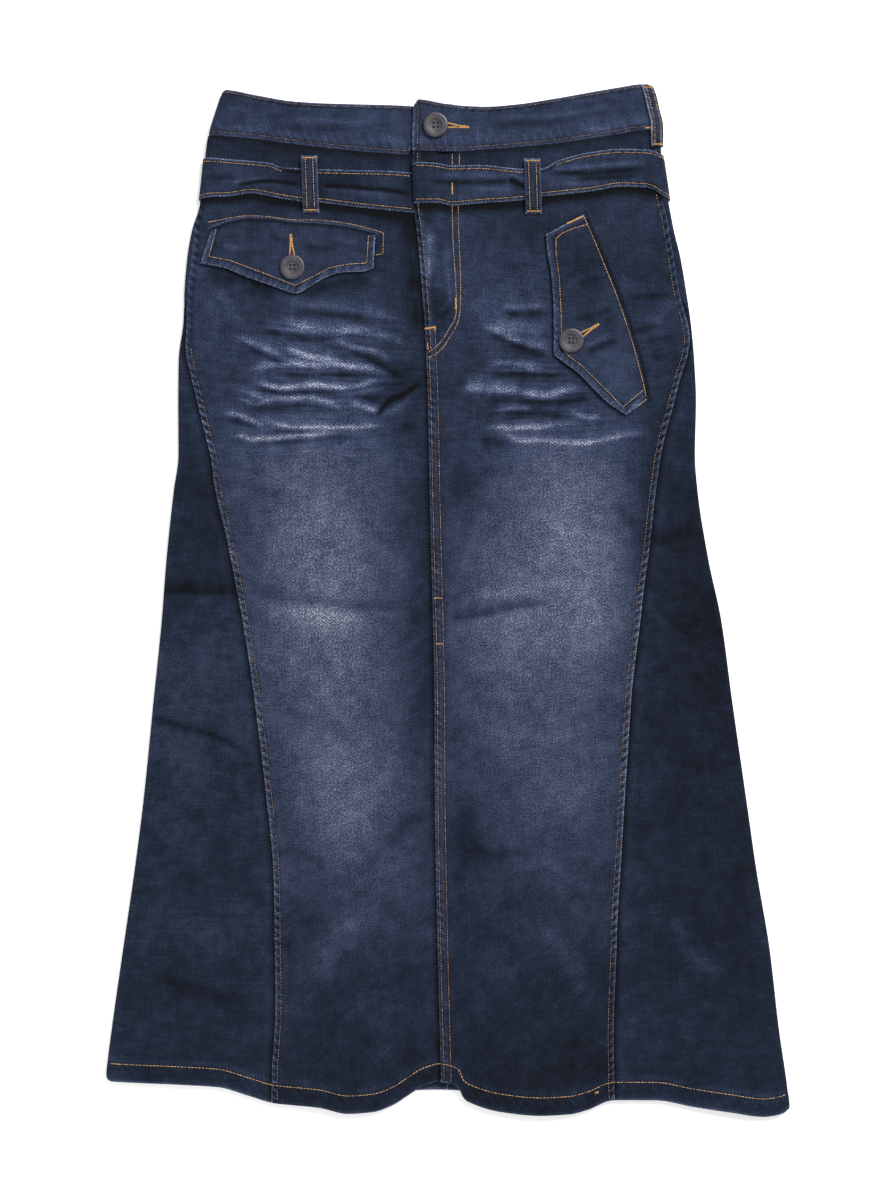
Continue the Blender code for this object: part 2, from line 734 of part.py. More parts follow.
def strip_grid(tube, columns, top, bottom, shares):
    """Turn and level of a strip that runs round the tube between a top and a bottom edge."""
    count = columns(np.array((TOP_ROW,))).shape[1]
    share = np.array(shares)[:, None]
    level = np.full((len(shares), count), TOP_ROW)
    for _ in range(4):
        turn = np.stack([columns(level[:, j])[:, j] for j in range(count)], axis=1)
        x = place(tube, turn, level)[..., 0]
        upper = np.repeat(top(x[:1], turn[:1]), len(shares), axis=0)
        lower = np.repeat(bottom(x[-1:], turn[-1:]), len(shares), axis=0)
        level = upper + (lower - upper) * share
    return turn, level


def every_row(values, level):
    """The same columns for every level."""
    return np.repeat(np.array([values]), len(level), axis=0)


def round_columns(tube, level, right_front, left_front, near, back_shares):
    """Turns of a strip's columns from its right front end round the back to its left front end."""
    rows = level[:, None]
    folds = [turn_round(tube, side, every_row(order, level), rows) for side, order in ((RIGHT, near), (LEFT, near[::-1]))]
    first = turn_front(tube, right_front, rows)
    last = turn_front(tube, left_front, rows)
    right_back = -1.0 - every_row(back_shares, level)
    left_back = 2.0 + every_row(back_shares[-2::-1], level)
    return np.concatenate((first, folds[0], right_back, left_back - 4.0, folds[1] - 4.0, last - 4.0), axis=1)


def on_left_front(turn):
    """1 on the left front part of a strip that runs right round, 0 elsewhere."""
    return np.where((turn < BACK_MIDDLE) & (frontness(turn) > 0.99), 1.0, 0.0)


def waistband():
    """One doubled strip right round, from the underlap beneath the fly to the overlap that buttons onto it."""

    def columns(level):
        right_front = every_row(BAND_RIGHT_X, level)
        left_front = np.concatenate((every_row(BAND_LEFT_X, level), centre_x(level)[:, None]), axis=1)
        return round_columns(BAND, level, right_front, left_front, BAND_NEAR, BAND_BACK_SHARES)

    def edge(column):
        def find(x, turn):
            half = np.where(turn < BACK_MIDDLE, read(WAIST_LEFT, column, x), read(WAIST_RIGHT, column, x))
            front = frontness(turn)
            return front * half + (1.0 - front) * waist_back(column, x)
        return find

    turn, level = strip_grid(BAND, columns, edge(1), edge(2), BAND_ROWS)
    x = place(BAND, turn, level)[..., 0]
    overlap = on_left_front(turn)
    past = x - UNDERLAP_END
    rise = (BAND_WALL + SEAM_GAP) * overlap * (1.0 - smooth(UNDERLAP_CLEAR, UNDERLAP_RUN, past))
    slab("waistband", place(BAND, turn, level, rise), place(BAND, turn, level, rise - BAND_WALL), "band")


def belt():
    """One doubled strip, caught at the fly edge at both ends, which lies on the skirt all the way round."""

    def columns(level):
        edge = centre_x(level)[:, None]
        down = edge + FLY_LAP + LAP_CLEAR + LAP_RUN
        lap = np.concatenate((down, down - LAP_RUN / 2.0, down - LAP_RUN, edge + BELT_LAP_COLUMN, edge), axis=1)
        right_front = np.concatenate((edge - BELT_END_GAP, every_row(BELT_RIGHT_X, level)), axis=1)
        left_front = np.concatenate((every_row(BELT_LEFT_X, level), lap), axis=1)
        return round_columns(SKIRT, level, right_front, left_front, BELT_NEAR, BELT_BACK_SHARES)

    def edge(column):
        def find(x, turn):
            half = np.where(turn < BACK_MIDDLE, read(BELT_LEFT, column, x), read(BELT_RIGHT, column, x))
            right, left = BELT_RIGHT[0], BELT_LEFT[-1]
            across = right[column] + (left[column] - right[column]) * (x - right[0]) / (left[0] - right[0])
            front = frontness(turn)
            return front * half + (1.0 - front) * across
        return find

    turn, level = strip_grid(SKIRT, columns, edge(1), edge(2), BELT_ROWS)
    x = place(SKIRT, turn, level)[..., 0]
    lap = (lap_rise(x, level) + LAP_FOLD * lap_step(x, level)) * on_left_front(turn) + LAY_GAP
    slab("belt", place(SKIRT, turn, level, lap + BELT_WALL), place(SKIRT, turn, level, lap), "trim")


def front_loop(name, loop):
    """Strip sewn to the panel above and below the belt and standing over it between."""
    level = np.array((
        loop["top"], loop["top"] - LOOP_SEWN, *LOOP_OVER_BELT, loop["bottom"] + LOOP_SEWN, loop["bottom"],
    ))
    lift = np.array((0.0, 0.0, 1.0, 1.0, 1.0, 1.0, 0.0, 0.0)) * (BELT_WALL + LAY_GAP) + LAY_GAP
    share = (loop["top"] - level) / (loop["top"] - loop["bottom"])
    centre = loop["x_top"] + (loop["x_bottom"] - loop["x_top"]) * share
    x = centre[:, None] + np.array((-0.5, 0.0, 0.5))[None, :] * LOOP_WIDTH
    level = np.repeat(level[:, None], x.shape[1], axis=1)
    base = SKIRT.face(x, level) + lift[:, None]
    outer = np.stack((x, level, base + LOOP_WALL), axis=-1)
    inner = np.stack((x, level, base), axis=-1)
    slab(name, outer, inner, "trim")


def side_loop():
    """Loop for a belt on the waistband at the left side fold, which it goes just round, sewn on at top and bottom."""
    distance = np.linspace(SIDE_LOOP["front"], SIDE_LOOP["behind"], 7)
    level = np.linspace(SIDE_LOOP["top"], SIDE_LOOP["bottom"], 6)[:, None]
    turn = turn_round(BAND, LEFT, distance[None, :], level)
    clear = LAY_GAP + SIDE_LOOP["stand_off"] * (1.0 - smooth(*SIDE_LOOP["stands_off_below"], level))
    outer = place(BAND, turn, level, clear + LOOP_WALL)
    inner = place(BAND, turn, level, clear)
    slab("belt_loop_side_left", outer, inner, "trim")


def flap(name, table):
    """Pointed pocket flap between its sewn edge and its free edge, lying on the front."""
    share = np.array(FLAP_ROWS)[:, None]
    x = table[None, :, 0] + (table[None, :, 2] - table[None, :, 0]) * share
    level = table[None, :, 1] + (table[None, :, 3] - table[None, :, 1]) * share
    base = SKIRT.face(x, level) + LAY_GAP
    outer = np.stack((x, level, base + FLAP_WALL), axis=-1)
    inner = np.stack((x, level, base), axis=-1)
    slab(name, outer, inner, "trim")


def button_mesh():
    """Turned disc with a raised rim and a dished middle, cut through by four thread holes."""
    shape = bmesh.new()
    points = [shape.verts.new((radius * MM, 0.0, height * MM)) for radius, height in BUTTON_PROFILE]
    lines = [shape.edges.new(pair) for pair in zip(points, points[1:])]
    bmesh.ops.spin(shape, geom=points + lines, cent=(0.0, 0.0, 0.0), axis=(0.0, 0.0, 1.0), angle=2.0 * math.pi,
                   steps=BUTTON_SIDES)
    bmesh.ops.remove_doubles(shape, verts=shape.verts, dist=0.00001)
    bmesh.ops.recalc_face_normals(shape, faces=shape.faces)
    disc = bpy.data.meshes.new("button_disc")
    shape.to_mesh(disc)
    shape.free()

    holes = bmesh.new()
    for x_sign in (-1.0, 1.0):
        for y_sign in (-1.0, 1.0):
            made = bmesh.ops.create_cone(holes, cap_ends=True, segments=BUTTON_HOLE_SIDES, depth=0.01,
                                         radius1=BUTTON_HOLE_RADIUS * MM, radius2=BUTTON_HOLE_RADIUS * MM)
            offset = BUTTON_HOLE_OFFSET * MM
            bmesh.ops.translate(holes, verts=made["verts"], vec=(x_sign * offset, y_sign * offset, 0.0))
    cutter_mesh = bpy.data.meshes.new("button_holes")
    holes.to_mesh(cutter_mesh)
    holes.free()

    blank = bpy.data.objects.new("button_blank", disc)
    cutter = bpy.data.objects.new("button_cutter", cutter_mesh)
    for thing in (blank, cutter):
        bpy.context.scene.collection.objects.link(thing)
    cut = blank.modifiers.new("thread holes", "BOOLEAN")
    cut.operation = "DIFFERENCE"
    cut.solver = "EXACT"
    cut.object = cutter
    bpy.context.view_layer.update()
    finished = bpy.data.meshes.new_from_object(blank.evaluated_get(bpy.context.evaluated_depsgraph_get()))
    bpy.data.objects.remove(blank)
    bpy.data.objects.remove(cutter)
    finished.shade_smooth()
    finished.set_sharp_from_angle(angle=math.radians(35.0))
    return finished


def add_button(name, mesh, centre, seat):
    """Button at its place, just clear of what it is sewn on."""
    thing = add_object(name, mesh.copy(), "button")
    thing.location = (centre[0] * MM, centre[1] * MM, (seat + SEAM_GAP) * MM)


def seat_height(tube, centre, rise):
    """Highest point under a button, on cloth that stands so far above the tube's face."""
    angle = np.linspace(0.0, 2.0 * np.pi, BUTTON_SEAT_POINTS)
    x = centre[0] + BUTTON_RADIUS * np.cos(angle)
    level = centre[1] + BUTTON_RADIUS * np.sin(angle)
    return float(np.max(tube.face(x, level))) + rise


SKIRT = Skirt()
BAND = Band()


def main():
    """Clear the scene and build every piece of the skirt."""
    for thing in list(bpy.data.objects):
        bpy.data.objects.remove(thing)
    front_panel_right()
    front_panel_left()
    back_panel("back_panel_right", RIGHT)
    back_panel("back_panel_left", LEFT)
    side_gore("side_gore_right", RIGHT)
    side_gore("side_gore_left", LEFT)
    waistband()
    belt()
    front_loop("belt_loop_front_right", LOOP_RIGHT)
    front_loop("belt_loop_front_left", LOOP_LEFT)
    side_loop()
    flap("flap_right", FLAP_RIGHT)
    flap("flap_left", FLAP_LEFT)
    disc = button_mesh()
    on_flap = LAY_GAP + FLAP_WALL
    add_button("button_waist", disc, BUTTON_WAIST, seat_height(BAND, BUTTON_WAIST, BAND_WALL + SEAM_GAP))
    add_button("button_flap_right", disc, BUTTON_RIGHT, seat_height(SKIRT, BUTTON_RIGHT, on_flap))
    add_button("button_flap_left", disc, BUTTON_LEFT, seat_height(SKIRT, BUTTON_LEFT, on_flap))


main()
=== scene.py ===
"""Mermaid skirt in washed stretch denim, buttoned and laid flat with its front up.

The skirt is a tube of cloth pressed flat, and this script lays its cloth on the same tube as the solids do.
A point has a "turn", how far round the tube it is: 0 to 1 runs across the front from the wearer's right to
the left, 1 to 2 goes round the left side fold, 2 to 3 runs back under the skirt, and 3 to 4 goes round the
right side fold. The second measure is the "level", the height on the table towards the waist. Lengths are
in millimetres until a mesh is made. +X is the wearer's left, +Y is the waist, +Z is up, and the origin is
on the table under the middle.
"""

import logging
import math
from collections.abc import Callable, Sequence
from dataclasses import dataclass, field
from enum import Enum

import bmesh
import bpy
import numpy as np
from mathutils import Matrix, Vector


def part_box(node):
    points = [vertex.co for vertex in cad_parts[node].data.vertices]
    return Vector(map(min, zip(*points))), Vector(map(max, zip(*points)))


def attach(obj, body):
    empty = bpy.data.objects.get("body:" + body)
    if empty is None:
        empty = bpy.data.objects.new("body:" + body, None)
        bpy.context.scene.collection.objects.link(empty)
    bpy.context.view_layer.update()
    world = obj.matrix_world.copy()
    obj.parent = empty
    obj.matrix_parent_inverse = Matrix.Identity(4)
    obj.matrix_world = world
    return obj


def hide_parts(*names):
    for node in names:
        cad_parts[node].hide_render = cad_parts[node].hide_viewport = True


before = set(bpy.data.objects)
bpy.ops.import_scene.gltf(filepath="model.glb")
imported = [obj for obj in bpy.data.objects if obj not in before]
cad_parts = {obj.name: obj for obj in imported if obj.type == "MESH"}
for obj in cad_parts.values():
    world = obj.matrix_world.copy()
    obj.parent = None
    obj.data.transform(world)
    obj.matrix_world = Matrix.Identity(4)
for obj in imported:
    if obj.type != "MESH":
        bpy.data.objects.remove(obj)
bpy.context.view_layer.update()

logging.basicConfig(level=logging.INFO, format="%(message)s")
LOG = logging.getLogger("mermaid_skirt")

MM = 0.001
BODY = "root"
SEED = 20

# Cloth thickness and clearances, as in the solids
CLOTH = 1.1
HEM_TURN = 1.0
HEM_DEPTH = 15.0
HEM_FADE = 2.5
LAYER_GAP = 0.5
SEAM_GAP = 0.3
LAY_GAP = 0.4
BAND_WALL = 2.4
BELT_WALL = 1.5
LOOP_WALL = 1.5
LOOP_WIDTH = 13.0
FLAP_WALL = 1.9

# Centre front lap: the left panel lies on the right one, by more at the fly
FLY_LAP = 17.0
SEAM_LAP = 10.0
FLY_END = 232.0
FLY_TAPER = 20.0
LAP_FOLD = 0.5
LAP_RUN = 6.0
LAP_CLEAR = 1.5

# Doubled edge of the front panels along the gore seams
GORE_SEAM_RISE = 0.9
GORE_SEAM_STARTS = 248.0
GORE_SEAM_TAPER = 20.0
GORE_SEAM_END = (6.2, 9.6)

# How far the side folds bulge and how far in that fades, and the lift over the belt's back part
FOLD_BULGE = 1.3
FOLD_FADE = 14.0
BELT_LIFT = BELT_WALL + LAY_GAP
BACK_LIFT_LEVELS = (311.0, 325.0)
FRONT_LIFT_LEVELS = (268.0, 330.0)
BACK_HEM_LEVELS = (24.0, 52.0)

# Underlap of the waistband beneath the fly, and the run over which the overlap comes down past its end
UNDERLAP_END = 1.0
UNDERLAP_CLEAR = 0.8
UNDERLAP_RUN = 8.0

# Rows of the panels before their ends follow the waist seam and the hem
TOP_ROW = 372.0
TOP_FIT = 338.0
HEM_ROW = -407.0
HEM_FIT = -385.0
HEM_FREE = -245.0
GORE_APEX = 245.0
# How often the levels of the rows are fitted to the edges, which depend on the places that the levels give
FIT_ROUNDS = 4

Grid = np.ndarray


class Side(Enum):
    """The wearer's right and left side, with the sign of its x."""

    RIGHT = -1
    LEFT = 1

    @property
    def word(self) -> str:
        """Its name as the nodes' names have it."""
        return self.name.lower()


def ease(low: float | Grid, high: float | Grid, value: Grid) -> Grid:
    """Share of a change that is done: 0 at low, 1 at high, and t squared times (3 - 2t) between them."""
    t = np.clip((value - low) / (high - low), 0.0, 1.0)
    return t * t * (3.0 - 2.0 * t)


def hump(value: Grid, middle: float | Grid, half_width: float | Grid) -> Grid:
    """Rounded hump: the exponential of minus the squared distance from its middle in half widths."""
    return np.exp(-(((value - middle) / half_width) ** 2))


def distances(line: Grid) -> Grid:
    """Distance of each point of a line from its start, along it."""
    return np.concatenate(([0.0], np.cumsum(np.linalg.norm(np.diff(line, axis=0), axis=-1))))


@dataclass(frozen=True)
class Table:
    """Short table of measures with named columns, read smoothly over its first column.

    Attributes:
        columns: Names, the first for the places and the rest for the values there.
        rows: One tuple for each place.
    """

    columns: tuple[str, ...]
    rows: tuple[tuple[float, ...], ...]

    def values(self, column: str) -> Grid:
        """One column in the order of its places."""
        rows = np.array(self.rows, dtype=float)
        return rows[np.argsort(rows[:, 0]), self.columns.index(column)]

    def read(self, column: str, at: Grid | float) -> Grid:
        """Monotone cubic through the column, with no overshoot between rows.

        Each inner slope is the harmonic mean of the slopes on its two sides, or zero at a turning point.

        Args:
            column: Name of the column.
            at: Places asked for, held within the table.

        Returns:
            The column's value at each place.
        """
        x, y = self.values(self.columns[0]), self.values(column)
        step = np.diff(x)
        slope = np.diff(y) / step
        tangent = np.zeros_like(y)
        tangent[0], tangent[-1] = slope[0], slope[-1]
        same = slope[:-1] * slope[1:] > 0.0
        total = np.where(same, slope[:-1] + slope[1:], 1.0)
        tangent[1:-1] = np.where(same, 2.0 * slope[:-1] * slope[1:] / total, 0.0)
        at = np.clip(at, x[0], x[-1])
        i = np.clip(np.searchsorted(x, at, side="right") - 1, 0, len(step) - 1)
        t = (at - x[i]) / step[i]
        rest = 1.0 - t
        start = (1.0 + 2.0 * t) * rest**2 * y[i] + t * rest**2 * step[i] * tangent[i]
        end = t**2 * (3.0 - 2.0 * t) * y[i + 1] - t**2 * rest * step[i] * tangent[i + 1]
        return start + end


OUTLINE = Table(("level", "right_fold", "left_fold", "centre"), (
    (428, -186, 168, -25.4), (421, -188.8, 170, -26.5), (408, -193.2, 173, -29.1),
    (395, -197.4, 175.8, -29.6), (386, -199.8, 175.8, -29.8), (374, -201.6, 176.6, -29.9),
    (352, -203.6, 179.6, -29.8), (328, -206.8, 183.3, -29.2), (307, -213.4, 187.5, -26.5),
    (283, -217.5, 193.3, -24), (258, -219.6, 197.5, -22), (233, -220.4, 201.2, -20),
    (200, -224.4, 204.3, -18.5), (166, -224.8, 205.8, -17.2), (121, -224.6, 204.9, -16.2),
    (92, -228.4, 207, -15.7), (34, -234.6, 216.1, -14.3), (-16, -238.5, 226.7, -13),
    (-83, -245.3, 235.8, -11.7), (-166, -253.7, 247.7, -11.3), (-224, -261.1, 256, -10.4),
    (-290, -270.7, 267, -9), (-357, -280.2, 274.8, -7.3), (-394, -284.6, 280.2, -6.3),
    (-430, -286.4, 285, -5.8),
))

# Side seams and gore seams: distance round the cloth from each side fold, to the front positive
GORE_SEAMS = Table(("level", "front_right", "back_right", "front_left", "back_left"), (
    (392, -2, -2, 4.6, 4.6), (332, -1, -1, 5.7, 5.7), (320, 0.5, 0.5, 5, 5), (291, 5, 5, 6.7, 6.7),
    (262, 4, 4, 7.2, 7.2), (247, 3.5, 3.5, 6.4, 6.4), (245, 3.4, 1, 6, 3.6), (220, 4.8, -5, 3.4, -5),
    (206, 6.9, -9, 6, -9), (183, 12.5, -15, 14.3, -15), (141, 22.7, -24, 25.4, -25),
    (100, 33.1, -33, 33.9, -33), (46, 51.3, -49, 47.8, -48), (-8, 66, -63, 66, -63),
    (-66, 81.1, -78, 81.4, -78), (-116, 92.6, -89, 92, -89), (-169, 104.2, -100, 103.1, -100),
    (-218, 115.3, -111, 112.9, -110), (-279, 125.6, -122, 126.6, -122), (-353, 136.5, -133, 138.2, -134),
    (-430, 141.5, -139, 149, -142),
))

# Top and bottom edges of the waistband: front right part with its underlap, front left part, and back
WAIST = {
    Side.RIGHT: Table(("x", "top", "bottom"), (
        (-200, 424, 386.4), (-187, 424, 385.8), (-160, 419.6, 383.4), (-132, 414.8, 379.7),
        (-104.6, 412.9, 376.4), (-77, 412.1, 373.6), (-49.5, 411.4, 371.4), (-33.5, 410.7, 370.6),
        (-31, 410.4, 374.9), (20, 409, 375.2),
    )),
    Side.LEFT: Table(("x", "top", "bottom"), (
        (-30, 409.5, 374), (-25.4, 415.7, 373.8), (-0.5, 411.8, 373), (31, 410.1, 374.6),
        (55, 411.8, 376.5), (86.7, 416.5, 379.4), (118.2, 422.1, 384), (142.3, 426.2, 387.7),
        (160, 428.6, 390.7), (177, 428.6, 391),
    )),
}
# The back's edges run between the same fold levels as the front's and dip in the middle
WAIST_BACK = {
    # column: (level at the right fold, level at the left fold, dip)
    "top": (424.0, 428.6, 18.3),
    "bottom": (386.4, 391.0, 15.0),
}
WAIST_FOLDS = (-200.0, 177.0)

# Hem edges: the front one is wavy, and the back one ends a little higher
HEM_FRONT = Table(("x", "level"), (
    (-287, -395.3), (-279.6, -399.4), (-223.8, -402.1), (-191.7, -404.2), (-166.5, -411.3),
    (-145.2, -417.4), (-107, -421.2), (-83.5, -426), (-62.7, -424.5), (-44.5, -417.9), (-34.5, -411.3),
    (-20, -402.9), (-6, -399.5), (4, -401.8), (8, -404), (12.5, -413.5), (19, -417.6), (42.7, -424.5),
    (75.9, -427.6), (100, -426.5), (114.9, -423), (136.9, -415), (172, -415.2), (202, -420.4),
    (234.9, -425.2), (262, -428.8), (275.9, -426.6), (285, -421),
))
HEM_BACK = Table(("x", "level"), (
    (-287, -395), (-223, -398), (-145.7, -405.5), (-83.5, -409.6), (-9.6, -406.7), (75.9, -412.9),
    (150, -410.5), (233.6, -417.1), (285, -420.6),
))

# Belt edges on the front, and the levels at which they go round the side folds
BELT_EDGES = {
    Side.LEFT: Table(("x", "top", "bottom"), (
        (-30.4, 362.3, 328.8), (-25.4, 363.6, 330.1), (-7.5, 362.4, 330.1), (2, 360.8, 328),
        (25.6, 361.3, 329.9), (60.9, 358.2, 332.4), (77.2, 358.4, 335.3), (91.5, 365.2, 336.9),
        (118.2, 372, 339.8), (143.9, 374.7, 343.8), (166.1, 373.8, 342.8), (177, 370, 337),
        (186, 368.5, 331),
    )),
    Side.RIGHT: Table(("x", "top", "bottom"), (
        (-210, 366, 331.5), (-201, 367.2, 334.8), (-181.6, 365.9, 335.9), (-164, 364.6, 338.4),
        (-148.6, 363, 335.9), (-138, 359.2, 333.8), (-122.5, 358.4, 331.6), (-107.6, 357.7, 330.7),
        (-76.9, 357, 326.9), (-49.5, 356.3, 324.1), (-30.4, 354.9, 322.2),
    )),
}

# Pocket flaps: stations along the sewn edge and the free edge below it
FLAP_EDGES = {
    Side.RIGHT: Table(("station", "sewn_x", "sewn_level", "free_x", "free_level"), (
        (0, -196.4, 308.3, -205.7, 280.1), (1, -179.8, 314.2, -187.2, 276.8),
        (2, -164, 316.2, -166.5, 268.5), (3, -144.1, 315, -145.7, 261.4), (4, -129.1, 312.9, -126.7, 255.2),
        (5, -115, 312.3, -115.9, 260.2), (6, -98.4, 311, -97.6, 270.3), (7, -83.9, 309.2, -83.9, 273.1),
        (8, -71, 306.3, -71.5, 273.3), (9, -61.1, 303.4, -62.7, 276),
    )),
    Side.LEFT: Table(("station", "sewn_x", "sewn_level", "free_x", "free_level"), (
        (0, 113.2, 320.8, 81, 303.6), (1, 120.7, 304.2, 82.5, 289.3), (2, 128, 287.9, 85.8, 268.5),
        (3, 134.8, 271, 87.5, 237), (4, 142.3, 252.7, 87.5, 207.1), (5, 148.9, 234.5, 95.4, 198.3),
        (6, 154.7, 216.2, 107.4, 189.7), (7, 159.7, 200.4, 119.9, 176.8), (8, 163.4, 183.6, 131.1, 165.6),
        (9, 166.1, 167.2, 147.1, 154.5),
    )),
}


def nearest(line: Grid, x: Grid, level: Grid) -> tuple[Grid, Grid, Grid]:
    """Nearest point of a line of straight stretches to each place.

    Args:
        line: Its corners (x, level).
        x: Places across.
        level: Places up.

    Returns:
        The distance from it, the share of its length there, and a value that is positive on its left.
    """
    place = np.stack((x, level), axis=-1)[..., None, :]
    start, step = line[:-1], np.diff(line, axis=0)
    length = np.maximum(np.linalg.norm(step, axis=-1), 1e-9)
    along = np.clip(((place - start) * step).sum(-1) / length**2, 0.0, 1.0)
    away = place - start - along[..., None] * step
    distance = np.linalg.norm(away, axis=-1)
    best = distance.argmin(axis=-1)[..., None]
    left = step[:, 0] * away[..., 1] - step[:, 1] * away[..., 0]
    before = distances(line)
    share = (before[:-1] + along * length) / before[-1]
    return tuple(np.take_along_axis(values, best, axis=-1)[..., 0] for values in (distance, share, left))


@dataclass(frozen=True)
class Stroke:
    """Soft line on the cloth: a crease in its height, or a worn line or a line of painted shade or highlight
    in its colour.

    Attributes:
        points: Places (x, level) along the line.
        amount: Its height in millimetres, or its share of bleach.
        above: Half width on its side towards the waist, where it runs towards the wearer's left.
        below: Half width on the other side.
        taper: Share of the length over which each end fades.
    """

    points: tuple[tuple[float, float], ...]
    amount: float
    above: float = 2.8
    below: float = 3.7
    taper: float = 0.26

    def curve(self) -> Grid:
        """Smooth line through the points: a cubic between each two, with slopes from their neighbours."""
        p = np.array(self.points, dtype=float)
        padded = np.concatenate((2.0 * p[:1] - p[1:2], p, 2.0 * p[-1:] - p[-2:-1]))
        t = np.linspace(0.0, 1.0, 6, endpoint=False)[:, None, None]
        a, b, c, d = padded[:-3], padded[1:-2], padded[2:-1], padded[3:]
        square, cube = 2.0 * a - 5.0 * b + 4.0 * c - d, 3.0 * (b - c) + d - a
        line = 0.5 * (2.0 * b + (c - a) * t + square * t**2 + cube * t**3)
        return np.concatenate((line.transpose(1, 0, 2).reshape(-1, 2), p[-1:]))

    def spread(self, x: Grid, level: Grid) -> Grid:
        """Its amount at each place: a rounded profile across it, faded at both ends and a little uneven.

        Args:
            x: Places across.
            level: Places up.

        Returns:
            The amount there, which is 0 away from the line.
        """
        line = self.curve()
        reach = 3.0 * max(self.above, self.below)
        low, high = line.min(axis=0) - reach, line.max(axis=0) + reach
        near = (x > low[0]) & (x < high[0]) & (level > low[1]) & (level < high[1])
        found = np.zeros(x.shape)
        if not near.any():
            return found
        distance, share, side = nearest(line, x[near], level[near])
        width = np.where(side > 0.0, self.above, self.below)
        ends = ease(0.0, self.taper, share) * ease(0.0, self.taper, 1.0 - share)
        start_x, start_level = self.points[0]
        uneven = 1.0 + 0.14 * np.sin(17.0 * share + start_x) + 0.1 * np.sin(41.0 * share + start_level)
        found[near] = self.amount * ends * uneven * np.exp(-((distance / width) ** 1.7))
        return found


@dataclass(frozen=True)
class Patch:
    """Soft oval on the cloth, faded or dark.

    Attributes:
        x: Middle across.
        level: Middle up.
        half_x: Half width at which it has fallen to about a third.
        half_level: The same up and down.
        amount: Its share of bleach in the middle, negative where it is darker.
    """

    x: float
    level: float
    half_x: float
    half_level: float
    amount: float

    def spread(self, x: Grid, level: Grid) -> Grid:
        """Its amount at each place: one hump across times one up and down."""
        return self.amount * hump(x, self.x, self.half_x) * hump(level, self.level, self.half_level)


Mark = Stroke | Patch


def gather(marks: Sequence[Mark], x: Grid, level: Grid) -> Grid:
    """All marks added up.

    Args:
        marks: Strokes and patches.
        x: Places across.
        level: Places up.

    Returns:
        Their sum at each place.
    """
    total = np.zeros(np.shape(x))
    for mark in marks:
        total = total + mark.spread(x, level)
    return total


